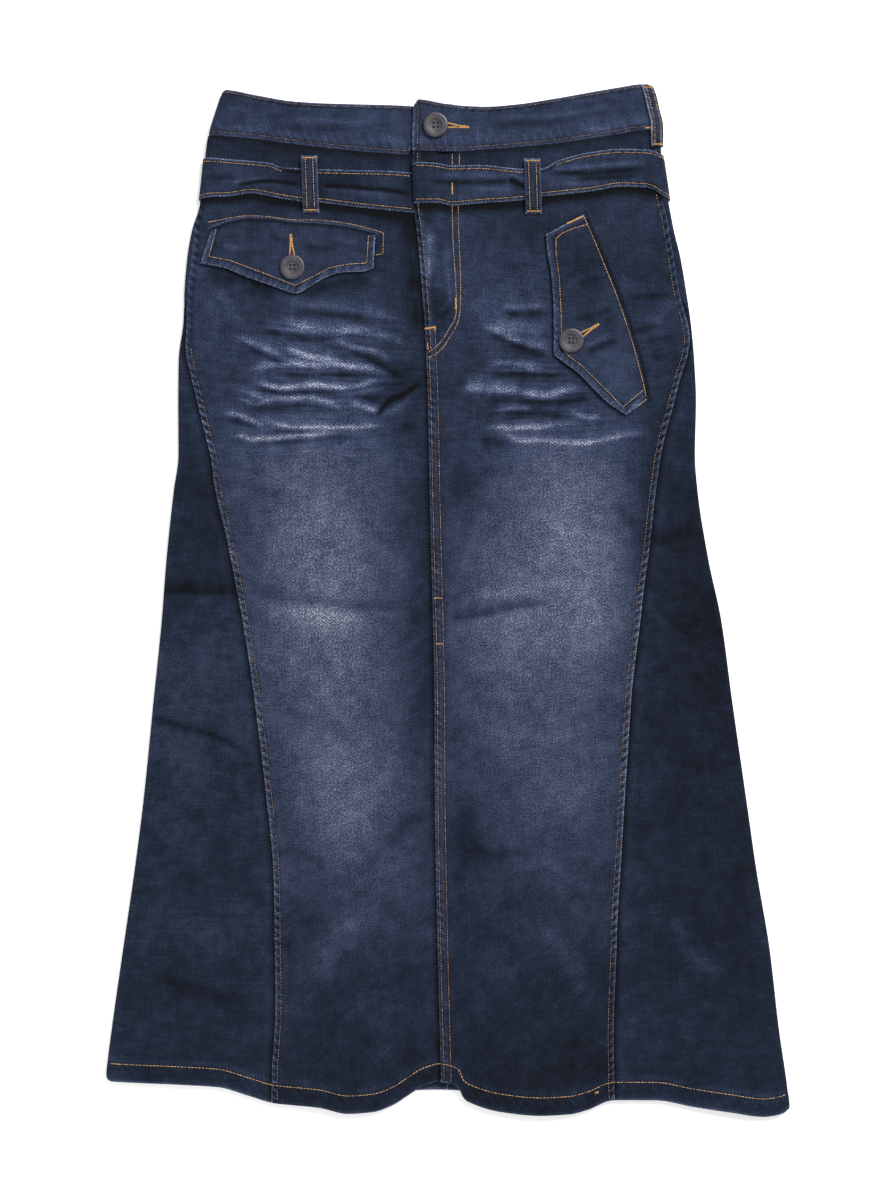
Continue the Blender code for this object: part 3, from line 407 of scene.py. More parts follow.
# Worn lines across the hips: pale on their raised backs
WHISKERS = (
    Stroke(((-143, 247), (-108, 245), (-78, 242), (-49, 236), (-34, 233)), 0.12, 4.9, 3.8),
    Stroke(((-148, 234), (-132, 230), (-114, 226), (-96, 224), (-72, 224), (-49, 226)), 0.24, 4.9, 2.6),
    Stroke(((-158, 227), (-139, 226), (-122, 224), (-101, 221)), 0.11, 1.7, 1.8),
    Stroke(((-75, 221), (-57, 220), (-45, 217), (-33, 211)), 0.16, 3.7, 2.6),
    Stroke(((-97, 221), (-89, 215), (-78, 210), (-65, 208), (-51, 202), (-43, 196)), 0.22, 2.9, 2.8),
    Stroke(((-179, 221), (-164, 214), (-148, 207), (-134, 201)), 0.21, 3.7, 1.9),
    Stroke(((-147, 215), (-134, 210), (-120, 204), (-102, 200), (-84, 195), (-66, 193),
        (-53, 189), (-44, 183)), 0.33, 3.9, 3.1),
    Stroke(((-171, 191), (-158, 193), (-146, 195), (-132, 196), (-120, 195), (-101, 194),
        (-89, 194)), 0.28, 4.4, 1.9),
    Stroke(((-171, 189), (-161, 183), (-148, 178), (-139, 176), (-125, 178), (-108, 179),
        (-96, 177), (-84, 177), (-72, 179), (-60, 183), (-44, 184)), 0.34, 2.9, 2.2),
    Stroke(((-183, 174), (-173, 175), (-164, 172), (-153, 168), (-139, 168), (-125, 168),
        (-113, 168), (-101, 165), (-89, 160), (-78, 158)), 0.24, 2.9, 2.0),
    Stroke(((-179, 170), (-170, 166), (-161, 163), (-151, 165), (-139, 166)), 0.18, 1.8, 1.5),
    Stroke(((-83, 164), (-75, 162), (-65, 159), (-57, 157)), 0.29, 3.2, 1.9),
    Stroke(((-77, 174), (-65, 175), (-51, 176)), 0.16, 1.6, 1.5),
    Stroke(((-190, 155), (-179, 155), (-167, 151), (-158, 147), (-151, 144)), 0.26, 2.7, 1.8),
    Stroke(((-164, 156), (-153, 151), (-141, 146), (-127, 144), (-108, 144), (-91, 144),
        (-77, 144), (-60, 145), (-45, 143)), 0.3, 2.4, 1.9),
    Stroke(((-181, 134), (-174, 137), (-165, 134), (-158, 135), (-151, 139)), 0.24, 2.0, 1.8),
    Stroke(((-167, 132), (-148, 134), (-132, 136), (-117, 137), (-103, 139), (-89, 142)), 0.25, 2.4, 1.9),
    Stroke(((-57, 155), (-49, 157), (-39, 163), (-30, 171)), 0.13, 1.8, 3.8),
    Stroke(((39, 246), (51, 243), (66, 244), (83, 243)), 0.17, 3.2, 1.9),
    Stroke(((25, 230), (33, 226), (43, 222), (51, 217), (60, 214), (71, 211), (81, 210),
        (87, 209)), 0.24, 5.1, 2.0),
    Stroke(((31, 229), (45, 228), (59, 226), (81, 223)), 0.12, 6.1, 5.1),
    Stroke(((28, 193), (38, 196), (50, 197), (63, 195), (76, 193), (85, 193)), 0.21, 3.7, 2.0),
    Stroke(((37, 188), (50, 191), (63, 191), (76, 190), (97, 190)), 0.15, 1.7, 1.5),
    Stroke(((10, 177), (24, 176), (39, 175), (60, 174)), 0.28, 7.3, 3.8, 0.14),
    Stroke(((55, 173), (71, 171), (81, 170), (90, 172), (100, 175), (111, 175)), 0.33, 3.9, 2.6),
    Stroke(((38, 158), (47, 159), (57, 160), (71, 159)), 0.18, 3.2, 1.8),
    Stroke(((97, 157), (104, 156), (111, 153), (120, 152), (130, 155)), 0.2, 2.7, 1.9),
    Stroke(((24, 141), (39, 144), (49, 143), (59, 143), (76, 144), (90, 146), (107, 147)), 0.28, 3.2, 1.9),
    Stroke(((30, 141), (40, 140), (50, 137), (59, 133), (73, 133), (85, 132), (100, 131),
        (114, 131), (128, 133), (140, 136), (149, 138), (173, 139)), 0.26, 2.9, 2.3),
)
# Dark hollows between them: troughs in the relief, and painted shade in the colour
SHADED_HOLLOWS = (
    Stroke(((-20, 181), (-30, 176), (-39, 170), (-49, 166), (-56, 158), (-62, 151)), -0.34, 1.7, 2.0),
    Stroke(((-132, 240), (-108, 239), (-84, 236), (-60, 233)), -0.11, 4.0, 4.0),
    Stroke(((-158, 224), (-132, 220), (-108, 217), (-95, 216)), -0.16, 2.6, 3.0),
    Stroke(((-173, 213), (-158, 206), (-141, 199), (-129, 198)), -0.16, 2.0, 2.4),
    Stroke(((-89, 211), (-78, 206), (-60, 198), (-49, 191), (-37, 184)), -0.19, 2.4, 2.6),
    Stroke(((-148, 188), (-125, 187), (-96, 187), (-72, 188), (-60, 187)), -0.11, 2.4, 2.0),
    Stroke(((-165, 181), (-151, 175), (-136, 172), (-120, 173), (-96, 173), (-78, 175)), -0.16, 1.8, 2.0),
    Stroke(((-176, 166), (-165, 161), (-148, 160), (-125, 162), (-108, 161), (-90, 156)), -0.16, 2.2, 3.0),
    Stroke(((-82, 170), (-66, 168), (-55, 164)), -0.13, 2.0, 2.0),
    Stroke(((-187, 150), (-176, 149), (-164, 145), (-155, 142)), -0.14, 2.0, 2.6),
    Stroke(((-151, 141), (-132, 140), (-114, 141)), -0.1, 1.6, 1.6),
    Stroke(((-167, 129), (-148, 131), (-113, 133), (-90, 136), (-72, 133), (-63, 130)), -0.11, 2.4, 3.0),
    Stroke(((-51, 139), (-37, 143), (-23, 146)), -0.11, 3.0, 3.0),
    Stroke(((40, 240), (63, 238), (85, 240)), -0.16, 3.0, 3.6),
    Stroke(((31, 223), (43, 218), (55, 213), (71, 207), (85, 202)), -0.19, 2.6, 4.0),
    Stroke(((32, 185), (50, 188), (63, 188), (83, 187), (102, 188)), -0.21, 2.6, 3.4),
    Stroke(((25, 168), (40, 169), (55, 167), (69, 165), (92, 165), (111, 168),
        (126, 170)), -0.19, 2.6, 4.0),
    Stroke(((39, 152), (57, 155), (76, 155), (92, 153), (104, 150)), -0.18, 3.4, 3.6),
    Stroke(((24, 133), (40, 132), (57, 128)), -0.11, 4.0, 5.0),
)
# Where fine crumples show between the whiskers, and the fan in which they lie
CRUMPLED = (
    Patch(-118, 186, 66, 52, 0.42), Patch(84, 176, 66, 50, 0.38), Patch(-60, 196, 40, 36, 0.16),
)
WHISKER_LEVEL = 165.0
WHISKER_FAN = 0.0016
# Faded middles of both fronts, and darker patches; the ones just under the waistband and at the fly's lower
# end are painted shade
FADES_AND_SHADE = (
    Patch(-112, 176, 70, 80, 0.12), Patch(-118, 226, 50, 14, 0.05), Patch(-118, 92, 66, 66, 0.18),
    Patch(-100, -28, 66, 96, 0.32), Patch(-84, -170, 56, 70, 0.27), Patch(-20, 0, 16, 110, -0.13),
    Patch(-120, 372, 110, 12, -0.07), Patch(-104, 34, 50, 40, 0.06), Patch(-6, 244, 11, 14, -0.12),
    Patch(-200, 224, 18, 30, 0.05), Patch(186, 30, 22, 60, -0.05), Patch(-58, -250, 24, 40, 0.07),
    Patch(84, 176, 70, 80, 0.03), Patch(104, 92, 48, 70, 0.25), Patch(112, -8, 54, 80, 0.32),
    Patch(98, -156, 54, 70, 0.19), Patch(40, -20, 40, 120, 0.23), Patch(14, -190, 18, 26, -0.12),
    Patch(12, 100, 14, 18, -0.1), Patch(52, 246, 40, 34, 0.11), Patch(8, 290, 22, 60, 0.05),
    Patch(-190, 290, 24, 50, 0.04), Patch(174, 30, 24, 90, -0.13), Patch(-90, -420, 110, 60, -0.1),
    Patch(100, -400, 110, 80, -0.13),
)
# Painted shade: darker cloth left of the fly, under the flaps, beside the left flap's edges, and in the folds
# beside them
PAINTED_SHADE = (
    Stroke(((-32, 330), (-31, 290), (-28, 250), (-24, 212)), -0.2, 5.0, 7.0, 0.2),
    Stroke(((-204, 276), (-172, 266), (-138, 253)), -0.16, 4.0, 7.0, 0.2),
    Stroke(((-126, 252), (-92, 264), (-62, 268)), -0.18, 4.0, 6.0, 0.2),
    Stroke(((-70, 322), (-44, 318), (-26, 312)), -0.12, 7.0, 7.0),
    Stroke(((149, 251), (163, 253), (187, 254)), -0.16, 2.0, 3.0),
    Stroke(((152, 225), (163, 226), (175, 229)), -0.14, 2.0, 3.0),
    Stroke(((161, 216), (175, 218), (187, 222)), -0.1, 2.0, 2.6),
    Stroke(((166, 202), (176, 203), (187, 204)), -0.1, 2.0, 2.6),
    Stroke(((86, 206), (105, 194), (124, 178), (146, 158)), -0.14, 3.0, 4.0, 0.2),
    Patch(-40, 178, 30, 26, -0.1),
)
# Folds in the cloth as it lies: their heights, and the same lines painted a little paler or darker as painted
# highlight and shade
CREASES = (
    Stroke(((-170, 6), (-146, 3), (-122, 0), (-82, -5), (-53, -7), (-32, -7)), -0.9, 8.0, 2.0, 0.15),
    Stroke(((-165, -5), (-123, -9), (-86, -14), (-57, -16)), 1.0, 3.6, 10.0, 0.3),
    Stroke(((-4, -16), (29, -12), (56, -6), (90, -2)), -1.5, 9.0, 2.2, 0.15),
    Stroke(((12, 3), (54, 4), (86, 7)), 0.9, 7.0, 3.6, 0.3),
    Stroke(((-243, 8), (-208, 7), (-172, 5)), -1.5, 11.0, 1.8, 0.1),
    Stroke(((-249, -96), (-240, -98), (-225, -103), (-200, -110), (-185, -116),
        (-172, -124)), -1.7, 1.5, 3.6, 0.1),
    Stroke(((-255, -309), (-213, -322), (-160, -338)), -0.9, 6.0, 8.0),
    Stroke(((2, -206), (34, -210), (61, -208), (72, -204)), -0.7, 4.0, 5.0),
    Stroke(((180, -252), (202, -295), (235, -312)), 0.9, 8.0, 6.0),
    Stroke(((150, 60), (176, 52), (205, 56)), -0.6, 4.0, 5.0),
    Stroke(((-14, -170), (-42, -194), (-72, -228)), -0.8, 8.0, 10.0),
    Stroke(((-60, -255), (-95, -285), (-110, -330)), 0.8, 10.0, 9.0),
    Stroke(((60, -262), (95, -290), (120, -345)), 0.8, 9.0, 10.0),
    Stroke(((-140, -92), (-110, -100), (-78, -118)), -0.6, 5.0, 6.0),
    Stroke(((-150, -205), (-120, -212), (-92, -230)), -0.6, 6.0, 7.0),
    Stroke(((30, -88), (60, -96), (92, -118)), -0.5, 6.0, 7.0),
    Stroke(((128, 84), (146, 72), (158, 52)), -0.6, 4.0, 5.0),
    Stroke(((-172, 98), (-150, 90), (-128, 88)), -0.5, 4.0, 5.0),
    Stroke(((-196, 262), (-180, 240), (-168, 226)), 0.7, 4.0, 5.0),
    Stroke(((186, 262), (178, 240), (165, 222)), 0.6, 4.0, 5.0),
)
LOWEST_RELIEF = -0.35
WHISKER_HEIGHT = 1.5
# Share of the whiskers' strokes in the colour: paler worn whiskers, and painted shade in the hollows
WHISKER_WEAR_AND_SHADE = 1.3
# Share of each crease's height painted into the colour, as painted shade in its troughs and painted highlight
# on its ridges
CREASE_PAINTED_SHADING = 0.13
HIP = Patch(-8.0, 230.0, 150.0, 110.0, 1.0)
BAND_SWELL = {"height": 0.4, "x": -8.0, "half_width": 120.0}
BAND_FOLD_BULGE = 0.9
# Soft flutes that stand up towards the hem
FLUTES = (
    # x_hem, x_top, level_top, half_width, height
    (-84.0, -72.0, -70.0, 50.0, 3.0),
    (76.0, 62.0, -60.0, 52.0, 3.0),
    (236.0, 205.0, -190.0, 30.0, 2.2),
    (-226.0, -205.0, -170.0, 34.0, 1.4),
)
FLUTE_START_WIDTH = 0.6


def fold_x(side: Side, level: Grid) -> Grid:
    """Outermost point of a side fold."""
    return OUTLINE.read("right_fold" if side is Side.RIGHT else "left_fold", level)


def centre_x(level: Grid) -> Grid:
    """Left panel's edge at the fly and along the centre front seam."""
    return OUTLINE.read("centre", level)


def lap_width(level: Grid) -> Grid:
    """How far the right panel goes on beneath the left one."""
    return SEAM_LAP + (FLY_LAP - SEAM_LAP) * ease(FLY_END - FLY_TAPER, FLY_END, level)


def lap_step(x: Grid, level: Grid) -> Grid:
    """1 where the left panel lies on the right one, 0 where it has come down beside it."""
    past = x - centre_x(level) - lap_width(level)
    return 1.0 - ease(LAP_CLEAR, LAP_CLEAR + LAP_RUN, past)


def in_hem(x: Grid, level: Grid, hem: Table) -> Grid:
    """1 inside the turned-up hem, 0 above it."""
    return 1.0 - ease(HEM_DEPTH, HEM_DEPTH + HEM_FADE, level - hem.read("level", x))


def front_wall(x: Grid, level: Grid) -> Grid:
    """Thickness of the front."""
    return CLOTH + HEM_TURN * in_hem(x, level, HEM_FRONT)


def back_wall(x: Grid, level: Grid) -> Grid:
    """Thickness of the back."""
    return CLOTH + HEM_TURN * in_hem(x, level, HEM_BACK)


def lap_rise(x: Grid, level: Grid) -> Grid:
    """How far the left panel is lifted where it lies on the right one."""
    return (front_wall(x, level) + SEAM_GAP) * lap_step(x, level)


def lap_top(x: Grid, level: Grid) -> Grid:
    """How far the left panel's outside stands above the tube's face: its lift and the fold of its edge."""
    return lap_rise(x, level) + LAP_FOLD * lap_step(x, level)


def relief(x: Grid, level: Grid) -> Grid:
    """How far the front stands off the back: hips, flutes that grow towards the hem, folds and worn ridges.

    Each flute is a hump across whose middle moves and whose width grows with its height.

    Args:
        x: Places across.
        level: Places up.

    Returns:
        The height at each place.
    """
    height = HIP.spread(x, level)
    for x_hem, x_top, level_top, half_width, tall in FLUTES:
        grown = ease(level_top, HEM_ROW, level)
        middle = x_top + (x_hem - x_top) * grown
        width = half_width * (FLUTE_START_WIDTH + (1.0 - FLUTE_START_WIDTH) * grown)
        height = height + tall * grown * hump(x, middle, width)
    folds = gather(CREASES, x, level) + WHISKER_HEIGHT * gather(WHISKERS + SHADED_HOLLOWS, x, level)
    return np.maximum(height + folds, LOWEST_RELIEF)


def above_back(x: Grid, level: Grid) -> Grid:
    """Height of the front's inner side over the table before the relief, clear of the back and its hem."""
    hem_room = HEM_TURN * (1.0 - ease(*BACK_HEM_LEVELS, level - HEM_BACK.read("level", x)))
    return BELT_LIFT * ease(*FRONT_LIFT_LEVELS, level) + CLOTH + hem_room + LAYER_GAP


class Tube:
    """Cloth tube pressed flat on the table. A subclass gives its heights."""

    def under(self, level: Grid) -> Grid:
        """Height of the back's outside."""
        raise NotImplementedError

    def crest(self, side: Side, level: Grid) -> Grid:
        """Height of the cloth's face where it starts to turn round a side fold."""
        raise NotImplementedError

    def face(self, x: Grid, level: Grid) -> Grid:
        """Height of the front's face between the side folds."""
        raise NotImplementedError

    def radius(self, side: Side, level: Grid) -> Grid:
        """Radius of a side fold."""
        return (self.crest(side, level) - self.under(level)) / 2.0

    def span(self, level: Grid) -> tuple[Grid, Grid]:
        """Where the front is flat: from the start of the right fold to the start of the left one."""
        first = fold_x(Side.RIGHT, level) + self.radius(Side.RIGHT, level)
        return first, fold_x(Side.LEFT, level) - self.radius(Side.LEFT, level)

    def across(self, turn: Grid, level: Grid, out: Grid | float = 0.0) -> Grid:
        """Only the x of points at the given turns and levels, as place works it out."""
        turn = np.mod(turn, 4.0)
        first, last = self.span(level)
        right, left = self.radius(Side.RIGHT, level), self.radius(Side.LEFT, level)
        bend = np.sin(np.pi * np.mod(turn, 1.0))
        cases = [turn < 1.0, turn < 2.0, turn < 3.0]
        wide = last - first
        ways = [first + turn * wide, last + (left + out) * bend, last - (turn - 2.0) * wide]
        return np.select(cases, ways, first - (right + out) * bend)

    def place(self, turn: Grid, level: Grid, out: Grid | float = 0.0) -> Grid:
        """Points at the given turns and levels: flat across, and half circles round the side folds.

        Args:
            turn: How far round the tube.
            level: Height on the table towards the waist.
            out: Distance out from the cloth's face, inwards if negative.

        Returns:
            The points, with x, level and height in the last axis.
        """
        turn, level, out = np.broadcast_arrays(np.mod(turn, 4.0), level, np.asarray(out, float))
        right, left = self.radius(Side.RIGHT, level), self.radius(Side.LEFT, level)
        low = self.under(level)
        x = self.across(turn, level, out)
        bend = np.cos(np.pi * np.mod(turn, 1.0))
        cases = [turn < 1.0, turn < 2.0, turn < 3.0]
        ways = [self.face(x, level) + out, low + left + (left + out) * bend, low - out]
        height = np.select(cases, ways, low + right - (right + out) * bend)
        return np.stack((x, level, height), axis=-1)

    def turn_round(self, side: Side, distance: Grid, level: Grid) -> Grid:
        """Turn of a point so far round the cloth from a side fold's outermost point, to the front positive.

        Args:
            side: Which fold.
            distance: Distance round the cloth.
            level: Levels of the points.

        Returns:
            Their turns.
        """
        first, last = self.span(level)
        half = np.pi * self.radius(side, level) / 2.0
        on_front = np.maximum(distance - half, 0.0) / (last - first)
        on_back = np.maximum(-distance - half, 0.0) / (last - first)
        round_fold = np.clip(distance, -half, half) / (2.0 * half)
        if side is Side.RIGHT:
            return -0.5 + round_fold + on_front - on_back
        return 1.5 - round_fold - on_front + on_back

    def turn_front(self, x: Grid, level: Grid) -> Grid:
        """Turn of a point on the front."""
        first, last = self.span(level)
        return (x - first) / (last - first)

    def turn_back(self, x: Grid, level: Grid, side: Side) -> Grid:
        """Turn of a point on the back, counted so that it follows on from the given side's fold."""
        first, last = self.span(level)
        if side is Side.RIGHT:
            return -1.0 - (x - first) / (last - first)
        return 2.0 + (last - x) / (last - first)

    def normal(self, turn: Grid, level: Grid) -> Grid:
        """Unit vectors out of the cloth: the cross product of its slopes along the turn and the level."""
        small_turn, small_level = 0.002, 0.6
        round_way = self.place(turn + small_turn, level) - self.place(turn - small_turn, level)
        up_way = self.place(turn, level + small_level) - self.place(turn, level - small_level)
        out = np.cross(round_way, up_way)
        return out / np.linalg.norm(out, axis=-1, keepdims=True)


class SkirtTube(Tube):
    """The flat tube of the skirt itself."""

    def under(self, level: Grid) -> Grid:
        """Height of the back's outside, lifted where the belt passes under it."""
        return BELT_LIFT * ease(*BACK_LIFT_LEVELS, level)

    def crest(self, side: Side, level: Grid) -> Grid:
        """Height of the cloth's face where it starts to turn round a side fold."""
        x = fold_x(side, level)
        return above_back(x, level) + front_wall(x, level) + FOLD_BULGE

    def face(self, x: Grid, level: Grid) -> Grid:
        """Height of the front's face: the flat height, changing to the fold's height near each side."""
        sides = [x - fold_x(Side.RIGHT, level), fold_x(Side.LEFT, level) - x]
        inward = np.minimum(sides[0], sides[1])
        radius = self.radius(Side.RIGHT, level)
        near = hump(np.maximum(inward, radius), radius, FOLD_FADE)
        flat = above_back(x, level) + front_wall(x, level) + relief(x, level)
        folded = np.where(sides[0] < sides[1], self.crest(Side.RIGHT, level), self.crest(Side.LEFT, level))
        return flat + (folded - flat) * near


class BandTube(Tube):
    """The flat tube of the waistband, which is thicker than the skirt and lies right down on the table."""

    def under(self, level: Grid) -> Grid:
        """Height of the back's outside."""
        return 0.0 * level

    def crest(self, side: Side, level: Grid) -> Grid:
        """Height of the cloth's face where it starts to turn round a side fold."""
        return self.under(level) + 2.0 * BAND_WALL + LAYER_GAP + BAND_FOLD_BULGE

    def face(self, x: Grid, level: Grid) -> Grid:
        """Height of the front's face, with a soft swell in the middle."""
        inward = np.minimum(x - fold_x(Side.RIGHT, level), fold_x(Side.LEFT, level) - x)
        near = hump(np.maximum(inward, BAND_WALL), BAND_WALL, FOLD_FADE)
        swell = BAND_SWELL["height"] * hump(x, BAND_SWELL["x"], BAND_SWELL["half_width"])
        flat = 2.0 * BAND_WALL + LAYER_GAP + swell
        return flat + (self.crest(Side.RIGHT, level) - flat) * near


SKIRT = SkirtTube()
BAND = BandTube()


def frontness(turn: Grid) -> Grid:
    """1 on the front, 0 on the back, and an even change round the side folds."""
    turn = np.mod(turn, 4.0)
    bend = np.cos(np.pi * np.mod(turn, 1.0))
    cases = [turn < 1.0, turn < 2.0, turn < 3.0]
    return np.select(cases, [1.0, (1.0 + bend) / 2.0, 0.0], (1.0 - bend) / 2.0)


def waist_back(column: str, x: Grid) -> Grid:
    """Level of the waistband's top or bottom edge across the back: a straight line less a shallow arc."""
    right, left, dip = WAIST_BACK[column]
    share = np.clip((x - WAIST_FOLDS[0]) / (WAIST_FOLDS[1] - WAIST_FOLDS[0]), 0.0, 1.0)
    return right + (left - right) * share - dip * 4.0 * share * (1.0 - share)


def fit_row(row: Grid, x: Grid, front: Grid, side: Side) -> Grid:
    """Level of a panel's row at each place: the top rows follow the waist seam and the last rows the hem.

    Args:
        row: The row's level before it is fitted.
        x: Places across.
        front: How much of each place belongs to the front.
        side: Side of the front whose waist edge it has.

    Returns:
        The fitted levels.
    """
    seam = front * WAIST[side].read("bottom", x) + (1.0 - front) * waist_back("bottom", x)
    hem = front * HEM_FRONT.read("level", x) + (1.0 - front) * HEM_BACK.read("level", x)
    top_share = np.clip((row - TOP_FIT) / (TOP_ROW - TOP_FIT), 0.0, 1.0)
    hem_share = ease(HEM_FREE, HEM_FIT, row)
    return row + top_share * (seam - SEAM_GAP - TOP_ROW) + hem_share * (hem - HEM_ROW)


class Graph:
    """Node tree of one material, with short ways to add and join its nodes.

    Attributes:
        material: The material.
        shader: Its Principled shader.
    """

    def __init__(self, name: str) -> None:
        """Start a material of the given name with a Principled shader."""
        self.material = bpy.data.materials.new(name)
        self.material.use_nodes = True
        self.shader = self.material.node_tree.nodes["Principled BSDF"]

    def add(self, kind: str, inputs: dict | None = None, **settings: object) -> bpy.types.Node:
        """Add a node.

        Args:
            kind: Type of node.
            inputs: Its sockets by name or number, each with a value or another node's output.
            settings: Its own properties.

        Returns:
            The node.
        """
        node = self.material.node_tree.nodes.new(kind)
        for key, value in settings.items():
            setattr(node, key, value)
        for key, value in (inputs or {}).items():
            self.put(node.inputs[key], value)
        return node

    def put(self, socket: bpy.types.NodeSocket, value: object) -> None:
        """Join another node's output to a socket, or give the socket a value."""
        if isinstance(value, bpy.types.NodeSocket):
            self.material.node_tree.links.new(value, socket)
        else:
            socket.default_value = value

    def attribute(self, name: str, output: str = "Fac") -> bpy.types.NodeSocket:
        """Output of an attribute of the mesh."""
        return self.add("ShaderNodeAttribute", attribute_name=name).outputs[output]

    def place(self) -> bpy.types.NodeSocket:
        """Object coordinates."""
        return self.add("ShaderNodeTexCoord").outputs["Object"]

    def math(self, operation: str, *values: object) -> bpy.types.NodeSocket:
        """Result of one sum."""
        return self.add("ShaderNodeMath", dict(enumerate(values)), operation=operation).outputs[0]

    def noise(self, vector: bpy.types.NodeSocket, scale: float, detail: float = 2.0) -> bpy.types.NodeSocket:
        """Noise from 0 to 1 about a half."""
        inputs = {"Vector": vector, "Scale": scale, "Detail": detail, "Roughness": 0.55}
        return self.add("ShaderNodeTexNoise", inputs).outputs["Fac"]

    def stretched(self, vector: bpy.types.NodeSocket, scale: Sequence[float]) -> bpy.types.NodeSocket:
        """A vector with each axis scaled."""
        return self.add("ShaderNodeMapping", {"Vector": vector, "Scale": tuple(scale)}).outputs[0]

    def ramp(self, share: bpy.types.NodeSocket, stops: Sequence[tuple[float, tuple]]) -> bpy.types.NodeSocket:
        """Colour that runs through the given stops.

        Args:
            share: Place along the ramp.
            stops: Places from 0 to 1, each with its linear colour.

        Returns:
            The colour output.
        """
        node = self.add("ShaderNodeValToRGB", {0: share})
        band = node.color_ramp
        for place, colour in stops[1:-1]:
            band.elements.new(place).color = (*colour, 1.0)
        band.elements[0].position, band.elements[-1].position = stops[0][0], stops[-1][0]
        band.elements[0].color, band.elements[-1].color = (*stops[0][1], 1.0), (*stops[-1][1], 1.0)
        return node.outputs["Color"]

    def finish(self, **sockets: object) -> bpy.types.Material:
        """Set the shader's sockets, with underscores for the spaces in their names, and give the material."""
        for key, value in sockets.items():
            self.put(self.shader.inputs[key.replace("_", " ")], value)
        return self.material


def shade(red: int, green: int, blue: int) -> tuple[float, float, float]:
    """Linear colour of a shade that was judged on the usual scale of 0 to 255."""
    values = []
    for value in (red, green, blue):
        share = value / 255.0
        values.append(share / 12.92 if share <= 0.04045 else ((share + 0.055) / 1.055) ** 2.4)
    return tuple(values)


